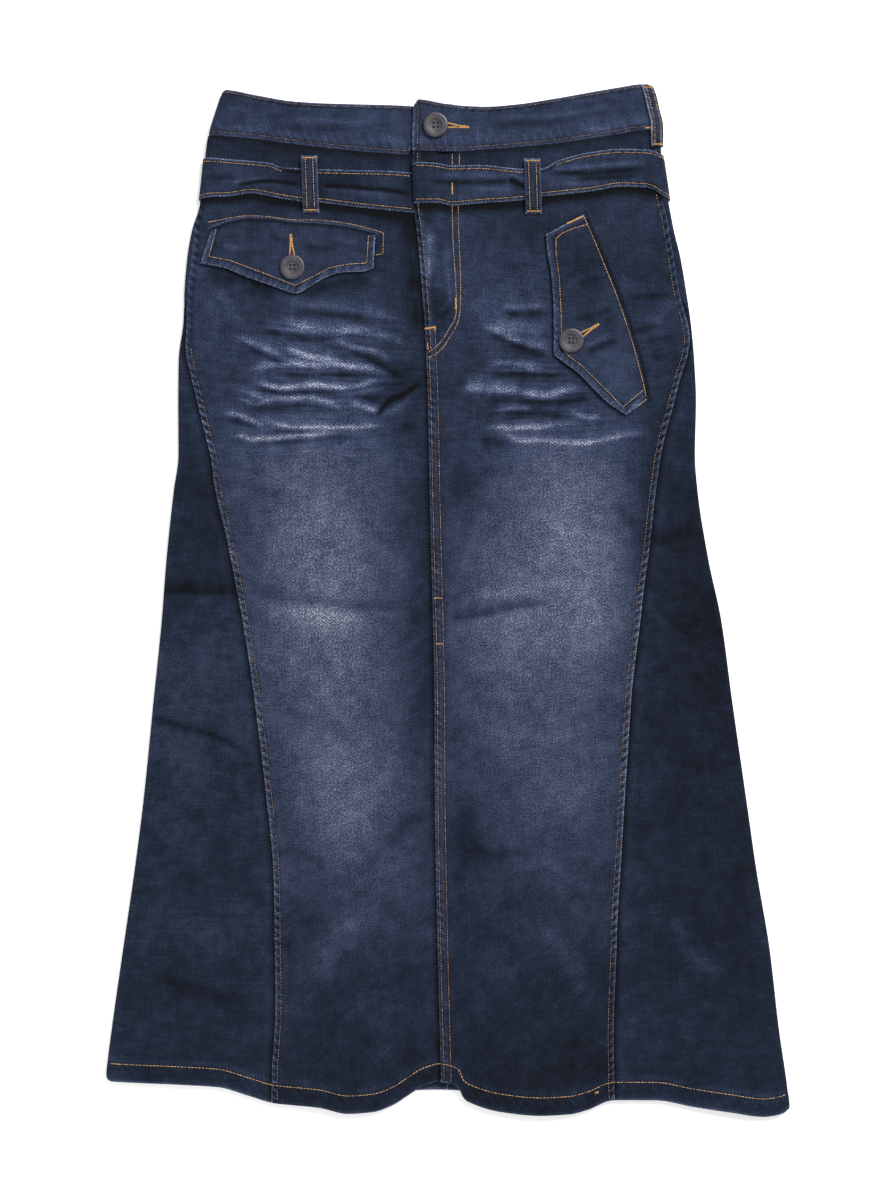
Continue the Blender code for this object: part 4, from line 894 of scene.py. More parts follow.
@dataclass(frozen=True)
class Denim:
    """Washed stretch denim: indigo warp over a pale weft, darkest where it is least worn and where shade is
    painted.

    The tone of a place is its dye, plus the worn fading and the painted shade and highlights that its mesh
    carries, plus blotches, slubs, grain and twill. The tone picks a colour from nearly black indigo to the
    pale weft.

    Attributes:
        name: Name of the material.
        dye: Tone of the unworn cloth.
    """

    name: str
    dye: float

    STOPS = (
        # tone, colour: from raw indigo to worn through
        (0.0, shade(6, 8, 13)),
        (0.2, shade(19, 26, 40)),
        (0.35, shade(35, 43, 63)),
        (0.5, shade(51, 59, 83)),
        (0.62, shade(68, 75, 98)),
        (0.75, shade(85, 93, 116)),
        (0.9, shade(113, 122, 145)),
        (1.0, shade(141, 150, 172)),
    )

    # Faint change of hue from place to place, and the warmer grey of worn cloth
    CAST = ((0.35, (0.96, 1.0, 0.98)), (0.65, (1.03, 1.0, 1.01)))
    GREYING = ((0.22, (1.0, 1.0, 1.0)), (0.52, (1.09, 1.01, 0.9)))
    # Levels between which worn cloth turns from blue to grey
    BLUE_ABOVE = 185.0
    GREY_BELOW = 90.0

    def material(self) -> bpy.types.Material:
        """Make the material."""
        graph = Graph(self.name)
        grain = graph.attribute("grain", "Vector")
        place = graph.place()
        wear_and_shade = graph.attribute("wear_and_shade")
        flow = graph.attribute("flow", "Vector")
        crumple = graph.add("ShaderNodeSeparateXYZ", {0: flow}).outputs["Z"]
        slanted = graph.add("ShaderNodeMapping", {"Vector": grain, "Rotation": (0.0, 0.0, -0.9)}).outputs[0]
        twill_lines = graph.add("ShaderNodeTexWave", {
            "Vector": slanted, "Scale": 160.0, "Distortion": 2.2, "Detail": 2.0, "Detail Scale": 3.0,
        }).outputs["Fac"]
        salt = graph.noise(grain, 760.0, 3.0)
        streak = graph.noise(graph.stretched(flow, (42.0, 300.0, 0.0)), 1.0, 4.0)
        worn = graph.math("MAXIMUM", wear_and_shade, 0.0)
        layers = (
            # pattern, how strongly it shows on unworn cloth, and how much more for each share of bleach
            (graph.noise(place, 24.0, 3.0), 0.25, 0.15),
            (graph.noise(place, 110.0, 4.0), 0.26, 0.3),
            (salt, 0.42, 3.2),
            (graph.noise(graph.stretched(grain, (800.0, 40.0, 1.0)), 1.0, 2.0), 0.13, 0.3),
            (graph.noise(graph.stretched(grain, (90.0, 700.0, 1.0)), 1.0, 1.0), 0.05, 0.2),
            (twill_lines, 0.04, 0.32),
        )
        tone = graph.math("ADD", wear_and_shade, self.dye)
        for pattern, plain, faded in layers:
            strength = graph.math("MULTIPLY_ADD", worn, faded, plain)
            tone = graph.math("MULTIPLY_ADD", graph.math("SUBTRACT", pattern, 0.5), strength, tone)
        tone = graph.math("MULTIPLY_ADD", graph.math("SUBTRACT", streak, 0.5), crumple, tone)
        specks = graph.noise(graph.stretched(place, (1.0, 1.0, 0.0)), 520.0, 1.0)
        lint = graph.math("MULTIPLY", graph.math("GREATER_THAN", specks, 0.765), 0.24)
        tone = graph.math("ADD", tone, lint)
        weave = graph.math("ADD", graph.math("MULTIPLY", twill_lines, 0.6), salt)
        weave_bump = graph.add("ShaderNodeBump", {"Strength": 0.4, "Distance": 0.0005, "Height": weave})
        rumple = graph.add("ShaderNodeBump", {
            "Strength": 0.5, "Distance": 0.003, "Height": graph.noise(place, 38.0),
            "Normal": weave_bump.outputs[0],
        })
        folds = graph.math("MULTIPLY", streak, crumple)
        bump = graph.add("ShaderNodeBump", {
            "Strength": 0.8, "Distance": 0.0022, "Height": folds, "Normal": rumple.outputs[0],
        })
        cast = graph.ramp(graph.noise(place, 75.0, 2.0), self.CAST)
        indigo = graph.ramp(tone, self.STOPS)
        colour = graph.add("ShaderNodeVectorMath", {0: indigo, 1: cast}, operation="MULTIPLY")
        height = graph.add("ShaderNodeSeparateXYZ", {0: place}).outputs["Y"]
        low = graph.add("ShaderNodeMapRange", {
            "Value": height, "From Min": self.BLUE_ABOVE * MM, "From Max": self.GREY_BELOW * MM,
            "To Min": -0.5, "To Max": 0.0,
        }).outputs[0]
        grey = graph.ramp(graph.math("ADD", tone, low), self.GREYING)
        colour = graph.add("ShaderNodeVectorMath", {0: colour.outputs[0], 1: grey}, operation="MULTIPLY")
        return graph.finish(
            Base_Color=colour.outputs[0], Roughness=0.94, Specular_IOR_Level=0.1, Sheen_Weight=0.04,
            Sheen_Roughness=0.45, Normal=bump.outputs[0],
        )


@dataclass(frozen=True)
class Thread:
    """Sewing thread, two-tone where the stitches are partly rubbed and dyed by the cloth.

    Attributes:
        name: Name of the material.
        light: Colour of the cleanest stitches.
        dark: Colour of the most stained ones.
    """

    name: str
    light: tuple[int, int, int]
    dark: tuple[int, int, int]

    def material(self) -> bpy.types.Material:
        """Make the material, whose colour follows each stitch's own tone."""
        graph = Graph(self.name)
        fuzz = graph.math("SUBTRACT", graph.noise(graph.place(), 1400.0, 1.0), 0.5)
        tone = graph.math("MULTIPLY_ADD", fuzz, 0.5, graph.attribute("tone"))
        colour = graph.ramp(tone, [(0.0, shade(*self.dark)), (1.0, shade(*self.light))])
        bump = graph.add("ShaderNodeBump", {"Strength": 0.4, "Distance": 0.0002, "Height": fuzz})
        return graph.finish(
            Base_Color=colour, Roughness=0.6, Specular_IOR_Level=0.35, Sheen_Weight=0.2,
            Normal=bump.outputs[0],
        )


@dataclass(frozen=True)
class ButtonResin:
    """Charcoal resin with a satin skin, faintly clouded and scuffed.

    Attributes:
        name: Name of the material.
    """

    name: str

    def material(self) -> bpy.types.Material:
        """Make the material."""
        graph = Graph(self.name)
        place = graph.place()
        cloud = graph.noise(place, 180.0, 3.0)
        colour = graph.ramp(cloud, [(0.3, shade(40, 37, 43)), (0.7, shade(62, 58, 65))])
        scuffs = graph.noise(graph.stretched(place, (500.0, 2600.0, 500.0)), 1.0, 2.0)
        rough = graph.math("MULTIPLY_ADD", scuffs, 0.22, 0.34)
        bump = graph.add("ShaderNodeBump", {"Strength": 0.12, "Distance": 0.0002, "Height": scuffs})
        return graph.finish(
            Base_Color=colour, Roughness=rough, Specular_IOR_Level=0.5, Normal=bump.outputs[0],
        )


@dataclass(frozen=True)
class Paper:
    """Plain white floor.

    Attributes:
        name: Name of the material.
    """

    name: str

    def material(self) -> bpy.types.Material:
        """Make the material."""
        white = (0.92, 0.92, 0.92, 1.0)
        return Graph(self.name).finish(
            Base_Color=white, Roughness=0.95, Specular_IOR_Level=0.1, Emission_Color=white,
            Emission_Strength=0.25,
        )


class Finish(Enum):
    """Finishes of the skirt, each made into a material once."""

    FRONT = Denim("washed_denim_front", 0.24)
    BACK = Denim("washed_denim_back", 0.24)
    GORE = Denim("dark_denim_gores", 0.22)
    BAND = Denim("dark_denim_waistband", 0.315)
    TRIM = Denim("worn_denim_trim", 0.285)
    TAN = Thread("tan_topstitching", (204, 161, 113), (86, 67, 57))
    DULL = Thread("stained_topstitching", (150, 116, 88), (26, 24, 32))
    GOLD = Thread("gold_bartack_thread", (198, 148, 78), (120, 84, 44))
    DARK = Thread("dark_thread_and_slit_shade", (30, 27, 32), (14, 13, 16))
    RESIN = ButtonResin("charcoal_button")

    def material(self) -> bpy.types.Material:
        """The finish's material, made when it is first asked for."""
        return bpy.data.materials.get(self.value.name) or self.value.material()


def mesh_from(
    name: str, points: Grid, faces: Grid, values: dict[str, Grid], crease_angle: float,
) -> bpy.types.Mesh:
    """Mesh from arrays.

    Args:
        name: Name of the mesh.
        points: Points in millimetres.
        faces: Corners of the faces, three or four to each.
        values: Values that the finish reads, one or three to a point.
        crease_angle: Angle in degrees above which an edge stays sharp.

    Returns:
        The mesh.
    """
    sides = faces.shape[1]
    mesh = bpy.data.meshes.new(name)
    mesh.vertices.add(len(points))
    mesh.vertices.foreach_set("co", (points * MM).ravel())
    mesh.loops.add(faces.size)
    mesh.loops.foreach_set("vertex_index", faces.ravel().astype(np.int32))
    mesh.polygons.add(len(faces))
    mesh.polygons.foreach_set("loop_start", np.arange(0, faces.size, sides, dtype=np.int32))
    mesh.update(calc_edges=True)
    for key, value in values.items():
        vector = value.ndim == 2
        layer = mesh.attributes.new(key, "FLOAT_VECTOR" if vector else "FLOAT", "POINT")
        layer.data.foreach_set("vector" if vector else "value", value.ravel().astype(np.float32))
    mesh.validate()
    mesh.shade_smooth()
    mesh.set_sharp_from_angle(angle=math.radians(crease_angle))
    return mesh


def add_piece(name: str, mesh: bpy.types.Mesh, finish: Finish) -> bpy.types.Object:
    """Object in the scene with its finish, riding on the skirt's one body.

    Args:
        name: Name of the piece.
        mesh: Its mesh, with its place in it.
        finish: Its finish.

    Returns:
        The object.
    """
    piece = bpy.data.objects.new(name, mesh)
    bpy.context.scene.collection.objects.link(piece)
    mesh.materials.append(finish.material())
    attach(piece, BODY)
    triangles = sum(len(face.vertices) - 2 for face in mesh.polygons)
    LOG.info("%s: %d triangles", name, triangles)
    return piece


@dataclass
class Cloth:
    """One piece of cloth as a grid of points, from which its closed shell is made.

    Attributes:
        outer: Points of its outside, rows by columns.
        inner: Points of its inside.
        grain: Places along and across its weave, in millimetres.
        wear_and_shade: How worn each place is, plus the shade and highlights painted into its colour.
        crumple: How strongly fine lengthwise crumples show, from 0 to 1, for the whole piece or each place.
        lie: Places along and across those crumples, in millimetres, or None where they follow the weave.
        edge: How far its cut or folded edges are rounded outwards.
        edge_bleach: How much more its rim is worn.
    """

    outer: Grid
    inner: Grid
    grain: Grid
    wear_and_shade: Grid
    crumple: Grid | float = 0.15
    lie: Grid | None = None
    edge: float = 0.1
    edge_bleach: float = 0.0

    SHARP = 70.0
    RIM_SHARE = 0.2

    def shell(self, name: str, finish: Finish) -> bpy.types.Object:
        """Closed wall between the two grids, with its rim rounded over a middle ring.

        A rim point of each side moves a fifth of the way towards the other, and the ring halfway between them
        stands out from the point's inside neighbour by the edge's rounding.

        Args:
            name: Name of the piece.
            finish: Its finish.

        Returns:
            The object.
        """
        rows, columns = self.outer.shape[:2]
        index = np.arange(rows * columns).reshape(rows, columns)
        count = rows * columns
        rim = np.concatenate((index[0, :], index[1:, -1], index[-1, -2::-1], index[-2:0:-1, 0]))
        outer, inner = self.outer.reshape(-1, 3).copy(), self.inner.reshape(-1, 3).copy()
        row, column = np.divmod(rim, columns)
        inside = np.clip(row, 1, rows - 2) * columns + np.clip(column, 1, columns - 2)
        away = outer[rim] - outer[inside]
        away /= np.maximum(np.linalg.norm(away, axis=-1, keepdims=True), 1e-6)
        ring = (outer[rim] + inner[rim]) / 2.0 + away * self.edge
        wall = inner[rim] - outer[rim]
        outer[rim] += self.RIM_SHARE * wall
        inner[rim] -= self.RIM_SHARE * wall
        points = np.concatenate((outer, inner, ring))
        a, b = index[:-1, :-1].ravel(), index[:-1, 1:].ravel()
        c, d = index[1:, 1:].ravel(), index[1:, :-1].ravel()
        top = np.stack((a, b, c, d), axis=1)
        following = np.roll(rim, -1)
        middle = 2 * count + np.arange(len(rim))
        after = np.roll(middle, -1)
        faces = np.concatenate((
            top,
            top[:, ::-1] + count,
            np.stack((following, rim, middle, after), axis=1),
            np.stack((after, middle, rim + count, following + count), axis=1),
        ))
        corners = points[faces]
        tilt = np.cross(corners[:, 2] - corners[:, 0], corners[:, 3] - corners[:, 1])
        if np.einsum("ij,ij->i", corners.mean(axis=1), tilt).sum() < 0.0:
            faces = faces[:, ::-1]
        crumple = np.broadcast_to(self.crumple, self.wear_and_shade.shape)[..., None] / MM
        lie = self.grain if self.lie is None else self.lie
        fields = {
            "grain": np.concatenate((self.grain, np.zeros_like(crumple)), axis=-1) * MM,
            "flow": np.concatenate((lie, crumple), axis=-1) * MM,
            "wear_and_shade": self.wear_and_shade[..., None],
        }
        values = {}
        for key, value in fields.items():
            value = value.reshape(count, -1)
            values[key] = np.concatenate((value, value, value[rim])).squeeze()
        values["wear_and_shade"][2 * count:] += self.edge_bleach
        return add_piece(name, mesh_from(name, points, faces, values, self.SHARP), finish)

    def dress(self, node: str, finish: Finish, slot: str, flat: tuple[float, float], **sheet: object) -> None:
        """Make its shell in place of a node, and hide the node.

        Args:
            node: Node that it replaces.
            finish: Its finish.
            slot: Material slot; not used.
            flat: Width and length that it was cut to, in metres; not used.
            sheet: What it rests on, and its area where that isn't the width times the length; not used.
        """
        piece = self.shell(f"{node}_denim", finish)
        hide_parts(node)


@dataclass(frozen=True)
class Stitch:
    """Size of one visible stitch and its spacing along the row.

    Attributes:
        pitch: Distance from one stitch to the next.
        length: Length of a stitch.
        radius: Radius of the thread.
    """

    pitch: float = 2.3
    length: float = 2.0
    radius: float = 0.31


# Distance between the points that a row of stitches is laid on
STITCH_STEP = 0.8
TOPSTITCH = Stitch()
HEM_STITCH = Stitch(2.9, 2.5, 0.33)
GORE_STITCH = Stitch(2.7, 2.1, 0.33)
SATIN = Stitch(0.42, 2.4, 0.27)
TWIST = Stitch(1.4, 1.5, 0.42)


def drawn(
    points: Sequence[tuple[float, float]], spacing: float = STITCH_STEP, rounded: bool = True,
) -> tuple[Grid, Grid]:
    """Evenly spaced places along a line drawn through a few points.

    Args:
        points: Places (x, level).
        spacing: Distance between the places given back.
        rounded: Whether the line is a smooth curve, or straight from point to point.

    Returns:
        The x and the level of each place.
    """
    line = Stroke(tuple(points), 1.0).curve() if rounded else np.array(points, dtype=float)
    before = distances(line)
    at = np.linspace(0.0, before[-1], max(2, round(before[-1] / spacing) + 1))
    return np.interp(at, before, line[:, 0]), np.interp(at, before, line[:, 1])


def ring_triangles(rings: int, steps: int) -> Grid:
    """Triangles of a closed form that runs from its first point over rings of points to its last one.

    Args:
        rings: Number of rings.
        steps: Points in each.

    Returns:
        The triangles, for points in that order.
    """
    here = np.arange(steps)
    after = (here + 1) % steps
    start = 1 + steps * np.arange(rings)
    faces = [np.stack((np.zeros(steps, int), 1 + after, 1 + here), axis=1)]
    for near, far in zip(start, start[1:]):
        faces.append(np.stack((near + here, near + after, far + after), axis=1))
        faces.append(np.stack((near + here, far + after, far + here), axis=1))
    faces.append(np.stack((np.full(steps, 1 + rings * steps), start[-1] + here, start[-1] + after), axis=1))
    return np.concatenate(faces)


class Sewing:
    """Stitches of one colour gathered into one piece, each a slim capsule whose ends dive into the cloth."""

    RING_PLACES = (-0.78, 0.0, 0.78)
    RING_HEIGHTS = (0.0, 0.3, 0.0)
    TIP_HEIGHT = -0.9
    SIDES = 4

    def __init__(self, seed: int) -> None:
        """Start with no stitches, and with this seed for their small differences."""
        self.random = np.random.default_rng(SEED + seed)
        self.points: list[Grid] = []
        self.tones: list[Grid] = []

    def capsule(self) -> Grid:
        """One stitch of half length and radius 1, as (along, aside, up): a tip, rings and a tip."""
        turn = 2.0 * np.pi * (np.arange(self.SIDES) + 0.5) / self.SIDES
        rings = [np.stack((np.full(self.SIDES, at), np.cos(turn), np.sin(turn) + up), axis=1)
                 for at, up in zip(self.RING_PLACES, self.RING_HEIGHTS)]
        return np.concatenate(([[-1.0, 0.0, self.TIP_HEIGHT]], *rings, [[1.0, 0.0, self.TIP_HEIGHT]]))

    def lay(self, centre: Grid, along: Grid, up: Grid, length: Grid, radius: float, tone: Grid) -> None:
        """Put a capsule at each centre.

        Args:
            centre: Middles of the stitches.
            along: Their directions.
            up: Directions out of the cloth.
            length: Their lengths.
            radius: Radius of the thread.
            tone: How clean each stitch is, from 0 to 1.
        """
        shape = self.capsule()
        along = along / np.maximum(np.linalg.norm(along, axis=-1, keepdims=True), 1e-9)
        aside = np.cross(up, along)
        aside /= np.maximum(np.linalg.norm(aside, axis=-1, keepdims=True), 1e-9)
        half = (length / 2.0)[:, None, None]
        points = (
            centre[:, None] + shape[None, :, 0:1] * half * along[:, None]
            + shape[None, :, 1:2] * radius * aside[:, None] + shape[None, :, 2:3] * radius * up[:, None]
        )
        self.points.append(points)
        self.tones.append(np.repeat(tone[:, None], len(shape), axis=1))

    def row(self, path: Grid, up: Grid, size: Stitch, across: float = 0.0, tone: float = 0.5) -> None:
        """Stitches end to end along a path, or across it as in a bartack or a satin edge.

        Args:
            path: Close points of the line, in space.
            up: Direction out of the cloth at each of them.
            size: Size and spacing of the stitches.
            across: Length of the stitches if they lie across the path, or 0.
            tone: Mean cleanness of the thread.
        """
        before = distances(path)
        count = max(1, round(before[-1] / size.pitch))
        pitch = before[-1] / count
        at = (np.arange(count) + 0.5) * pitch + self.random.normal(0.0, 0.04 * pitch, count)
        length = size.length * pitch / size.pitch * self.random.normal(1.0, 0.05, count)

        def along_path(values: Grid, where: Grid) -> Grid:
            """Values of the path at distances along it."""
            return np.stack([np.interp(where, before, values[:, axis]) for axis in range(3)], axis=1)

        centre, out = along_path(path, at), along_path(up, at)
        further, nearer = np.minimum(at + 0.4, before[-1]), np.maximum(at - 0.4, 0.0)
        ahead = along_path(path, further) - along_path(path, nearer)
        aside = np.cross(out, ahead)
        aside /= np.maximum(np.linalg.norm(aside, axis=-1, keepdims=True), 1e-9)
        lean = self.random.normal(0.0, 0.06, (count, 1))
        tones = np.clip(self.random.normal(tone, 0.22, count), 0.0, 1.0)
        if across:
            length = across * self.random.normal(1.0, 0.06, count)
            self.lay(centre, aside + 0.12 * ahead + lean * ahead, out, length, size.radius, tones)
        else:
            self.lay(centre, ahead + lean * aside, out, length, size.radius, tones)

    def on(self, tube: Tube, turn: Grid, level: Grid, out: Grid | float, size: Stitch, **kind: float) -> None:
        """A row on a tube, a little above what it is sewn on.

        Args:
            tube: The tube.
            turn: Turns along the row.
            level: Levels along the row.
            out: Height of the sewn cloth over the tube's face.
            size: Size and spacing of the stitches.
            kind: Whether the stitches lie across, and how clean they are.
        """
        lift = out + 0.35 * size.radius
        self.row(tube.place(turn, level, lift), tube.normal(turn, level), size, **kind)

    def piece(self, name: str, finish: Finish, slot: str) -> bpy.types.Object:
        """All stitches as one object.

        Args:
            name: Name of the piece.
            finish: The thread.
            slot: Material slot of the cloth that it is sewn into; not used.

        Returns:
            The object.
        """
        points = np.concatenate(self.points)
        triangles = ring_triangles(len(self.RING_PLACES), self.SIDES)
        faces = (triangles[None] + np.arange(len(points))[:, None, None] * points.shape[1]).reshape(-1, 3)
        values = {"tone": np.concatenate(self.tones).ravel()}
        return add_piece(name, mesh_from(name, points.reshape(-1, 3), faces, values, 180.0), finish)


def settle(rows: Grid, count: int, turns: Callable[[Grid], Grid], side: Side) -> tuple[Grid, Grid]:
    """Turn and level of each point of a panel, whose columns depend on the level and whose rows depend on x.

    Args:
        rows: Levels of the rows before they are fitted.
        count: Number of columns.
        turns: Gives the turn of every point for its level.
        side: Side of the front whose waist edge it has.

    Returns:
        The turns and the levels, rows by columns.
    """
    level = np.repeat(rows[:, None], count, axis=1)
    for _ in range(FIT_ROUNDS):
        turn = turns(level)
        level = fit_row(rows[:, None], SKIRT.across(turn, level), frontness(turn), side)
    return turn, level


def rows_of(top: float, pitch: float) -> Grid:
    """Evenly spaced rows from a top level down to the hem."""
    return np.linspace(top, HEM_ROW, round((top - HEM_ROW) / pitch) + 1)


def spread(start: Grid, end: Grid, shares: Grid) -> Grid:
    """Values at the given shares of the way from start to end."""
    return start + (end - start) * shares


def hem_twist(above: Grid, x: Grid) -> Grid:
    """Slanting twists of a turned hem, from -1 to 1: a wave 8.5 mm long."""
    return np.cos(2.0 * np.pi * (x + 0.8 * above) / 8.5)


def hem_wear(above: Grid, x: Grid) -> Grid:
    """Bleach of a turned hem: a pale edge, ropy twists inside the row, and a soft pale line just over it."""
    twist = hem_twist(above, x) * hump(above, 11.0, 5.0)
    return 0.34 * np.exp(-np.abs(above) / 1.3) + 0.05 * twist + 0.08 * hump(above, 18.5, 2.5)


def hem_relief(above: Grid, x: Grid) -> Grid:
    """Height of a turned hem's details: a groove under the row, and soft twists below it."""
    return 0.16 * hem_twist(above, x) * hump(above, 8.0, 7.0) - 0.3 * hump(above, HEM_DEPTH, 1.6)


def seam_ripple(along: Grid, away: Grid) -> Grid:
    """Slanting puckers beside a sewn edge: a wandering wave 7 mm long that dies out past the stitches."""
    phase = 2.0 * np.pi * (along + 0.7 * away) / 7.0 + 1.3 * np.sin(along / 31.0) + 0.9 * np.sin(along / 9.0)
    return np.cos(phase) * hump(away, 2.6, 2.6) * (0.75 + 0.35 * np.sin(along / 22.0 + 1.0))


def beside_edge(
    along: Grid, inset: Grid, row: float, rim: float, pucker: float, groove: float,
    rim_width: float = 0.9, groove_width: float = 0.9,
) -> Grid:
    """Height or bleach beside a sewn edge: its rim, the puckers there, and the groove under its stitches.

    Args:
        along: Distance along the edge.
        inset: Distance from it.
        row: Distance of its stitch row.
        rim: Amount on the edge itself, falling off exponentially.
        pucker: Amount of the slanting puckers.
        groove: Amount taken off under the row.
        rim_width: Distance at which the rim has fallen to about a third.
        groove_width: Half width of the groove.

    Returns:
        The amount at each place.
    """
    sewn = rim * np.exp(-inset / rim_width) + pucker * seam_ripple(along, inset)
    return sewn - groove * hump(inset, row, groove_width)


# Columns beside a sewn edge, beside the fly's folded edge and past the end of the lap, from the edge
SEAM_COLUMNS = np.array((0.0, 0.7, 1.5, 2.4, 3.4, 4.6, 6.0, 7.4, 9.0, 11.0, 13.0))
LAP_COLUMNS = np.array((0.0, 0.8, 1.8, 3.0, 4.5, 6.0, 7.5, 9.0))
PAST_LAP_COLUMNS = np.array((0.0, 1.5, 3.5, 5.5, 7.5, 9.5))
BENEATH_COLUMNS = np.array((-1.5, 1.5, 5.0))
LAP_COLUMN = 4.2
# Rows of the front panels: the level that each zone goes down to, and the distance between its rows
ROW_ZONES = ((322.0, 2.1), (300.0, 1.0), (252.0, 2.1), (122.0, 1.3), (HEM_ROW, 2.2))
FAR_AWAY = 99.0
# Where the flaps can lie: beyond this x on both sides, and between two levels
FLAP_ZONE = (40.0, 130.0, 340.0)

# Stitch rows: distances from the edge
SEAM_ROW = 4.5
GORE_ROW_TOPS = {Side.RIGHT: 213.0, Side.LEFT: 338.0}
BACK_ROW_TOP = 236.0
BACK_CENTRE_ROWS = (2.0, 7.8)
BACK_CENTRE_ENDS = (-404.0, 368.0)
BAND_END_ROW = (378.5, 411.0)
CENTRE_ROWS = (2.5, 8.3)
FLY_EDGE_ROW = 4.0
CENTRE_ROWS_START = 203.0
FLY_BARTACK_LEVEL = 226.0

FLY_CURVES = (
    ((3, 371), (3, 323), (4, 293), (6, 261), (6, 237), (0, 225), (-4, 218), (-10, 211), (-17, 206)),
    ((9, 371), (8, 323), (9, 293), (10, 261), (9, 237), (5, 225), (1, 219), (-4, 211), (-10, 205),
     (-16, 202)),
)
POCKET_ROW = (
    (-200, 314), (-173, 319), (-153, 319), (-129, 316), (-109, 316), (-84, 313), (-63, 308), (-54, 305),
)
POCKET_END = ((-54, 305), (-54.4, 296), (-54.6, 288), (-61, 287))
# Worn streaks down the fly, and at its lower end a crease painted as a dark line of shade beside a pale line
# of highlight
FLY_WEAR_AND_SHADE = (
    Stroke(((-16, 322), (-16, 290), (-15, 256)), 0.34, 1.8, 2.8, 0.3),
    Stroke(((-24, 300), (-22, 262), (-20, 236)), 0.16, 1.6, 1.8, 0.3),
    Stroke(((-12, 226), (-3, 238), (3, 246)), -0.16, 1.6, 2.0, 0.3),
    Stroke(((-15, 226), (-7, 236), (-2, 246)), 0.14, 1.6, 2.0, 0.3),
    Stroke(((-1, 300), (0, 270), (2, 240)), 0.12, 1.4, 1.6, 0.3),
)


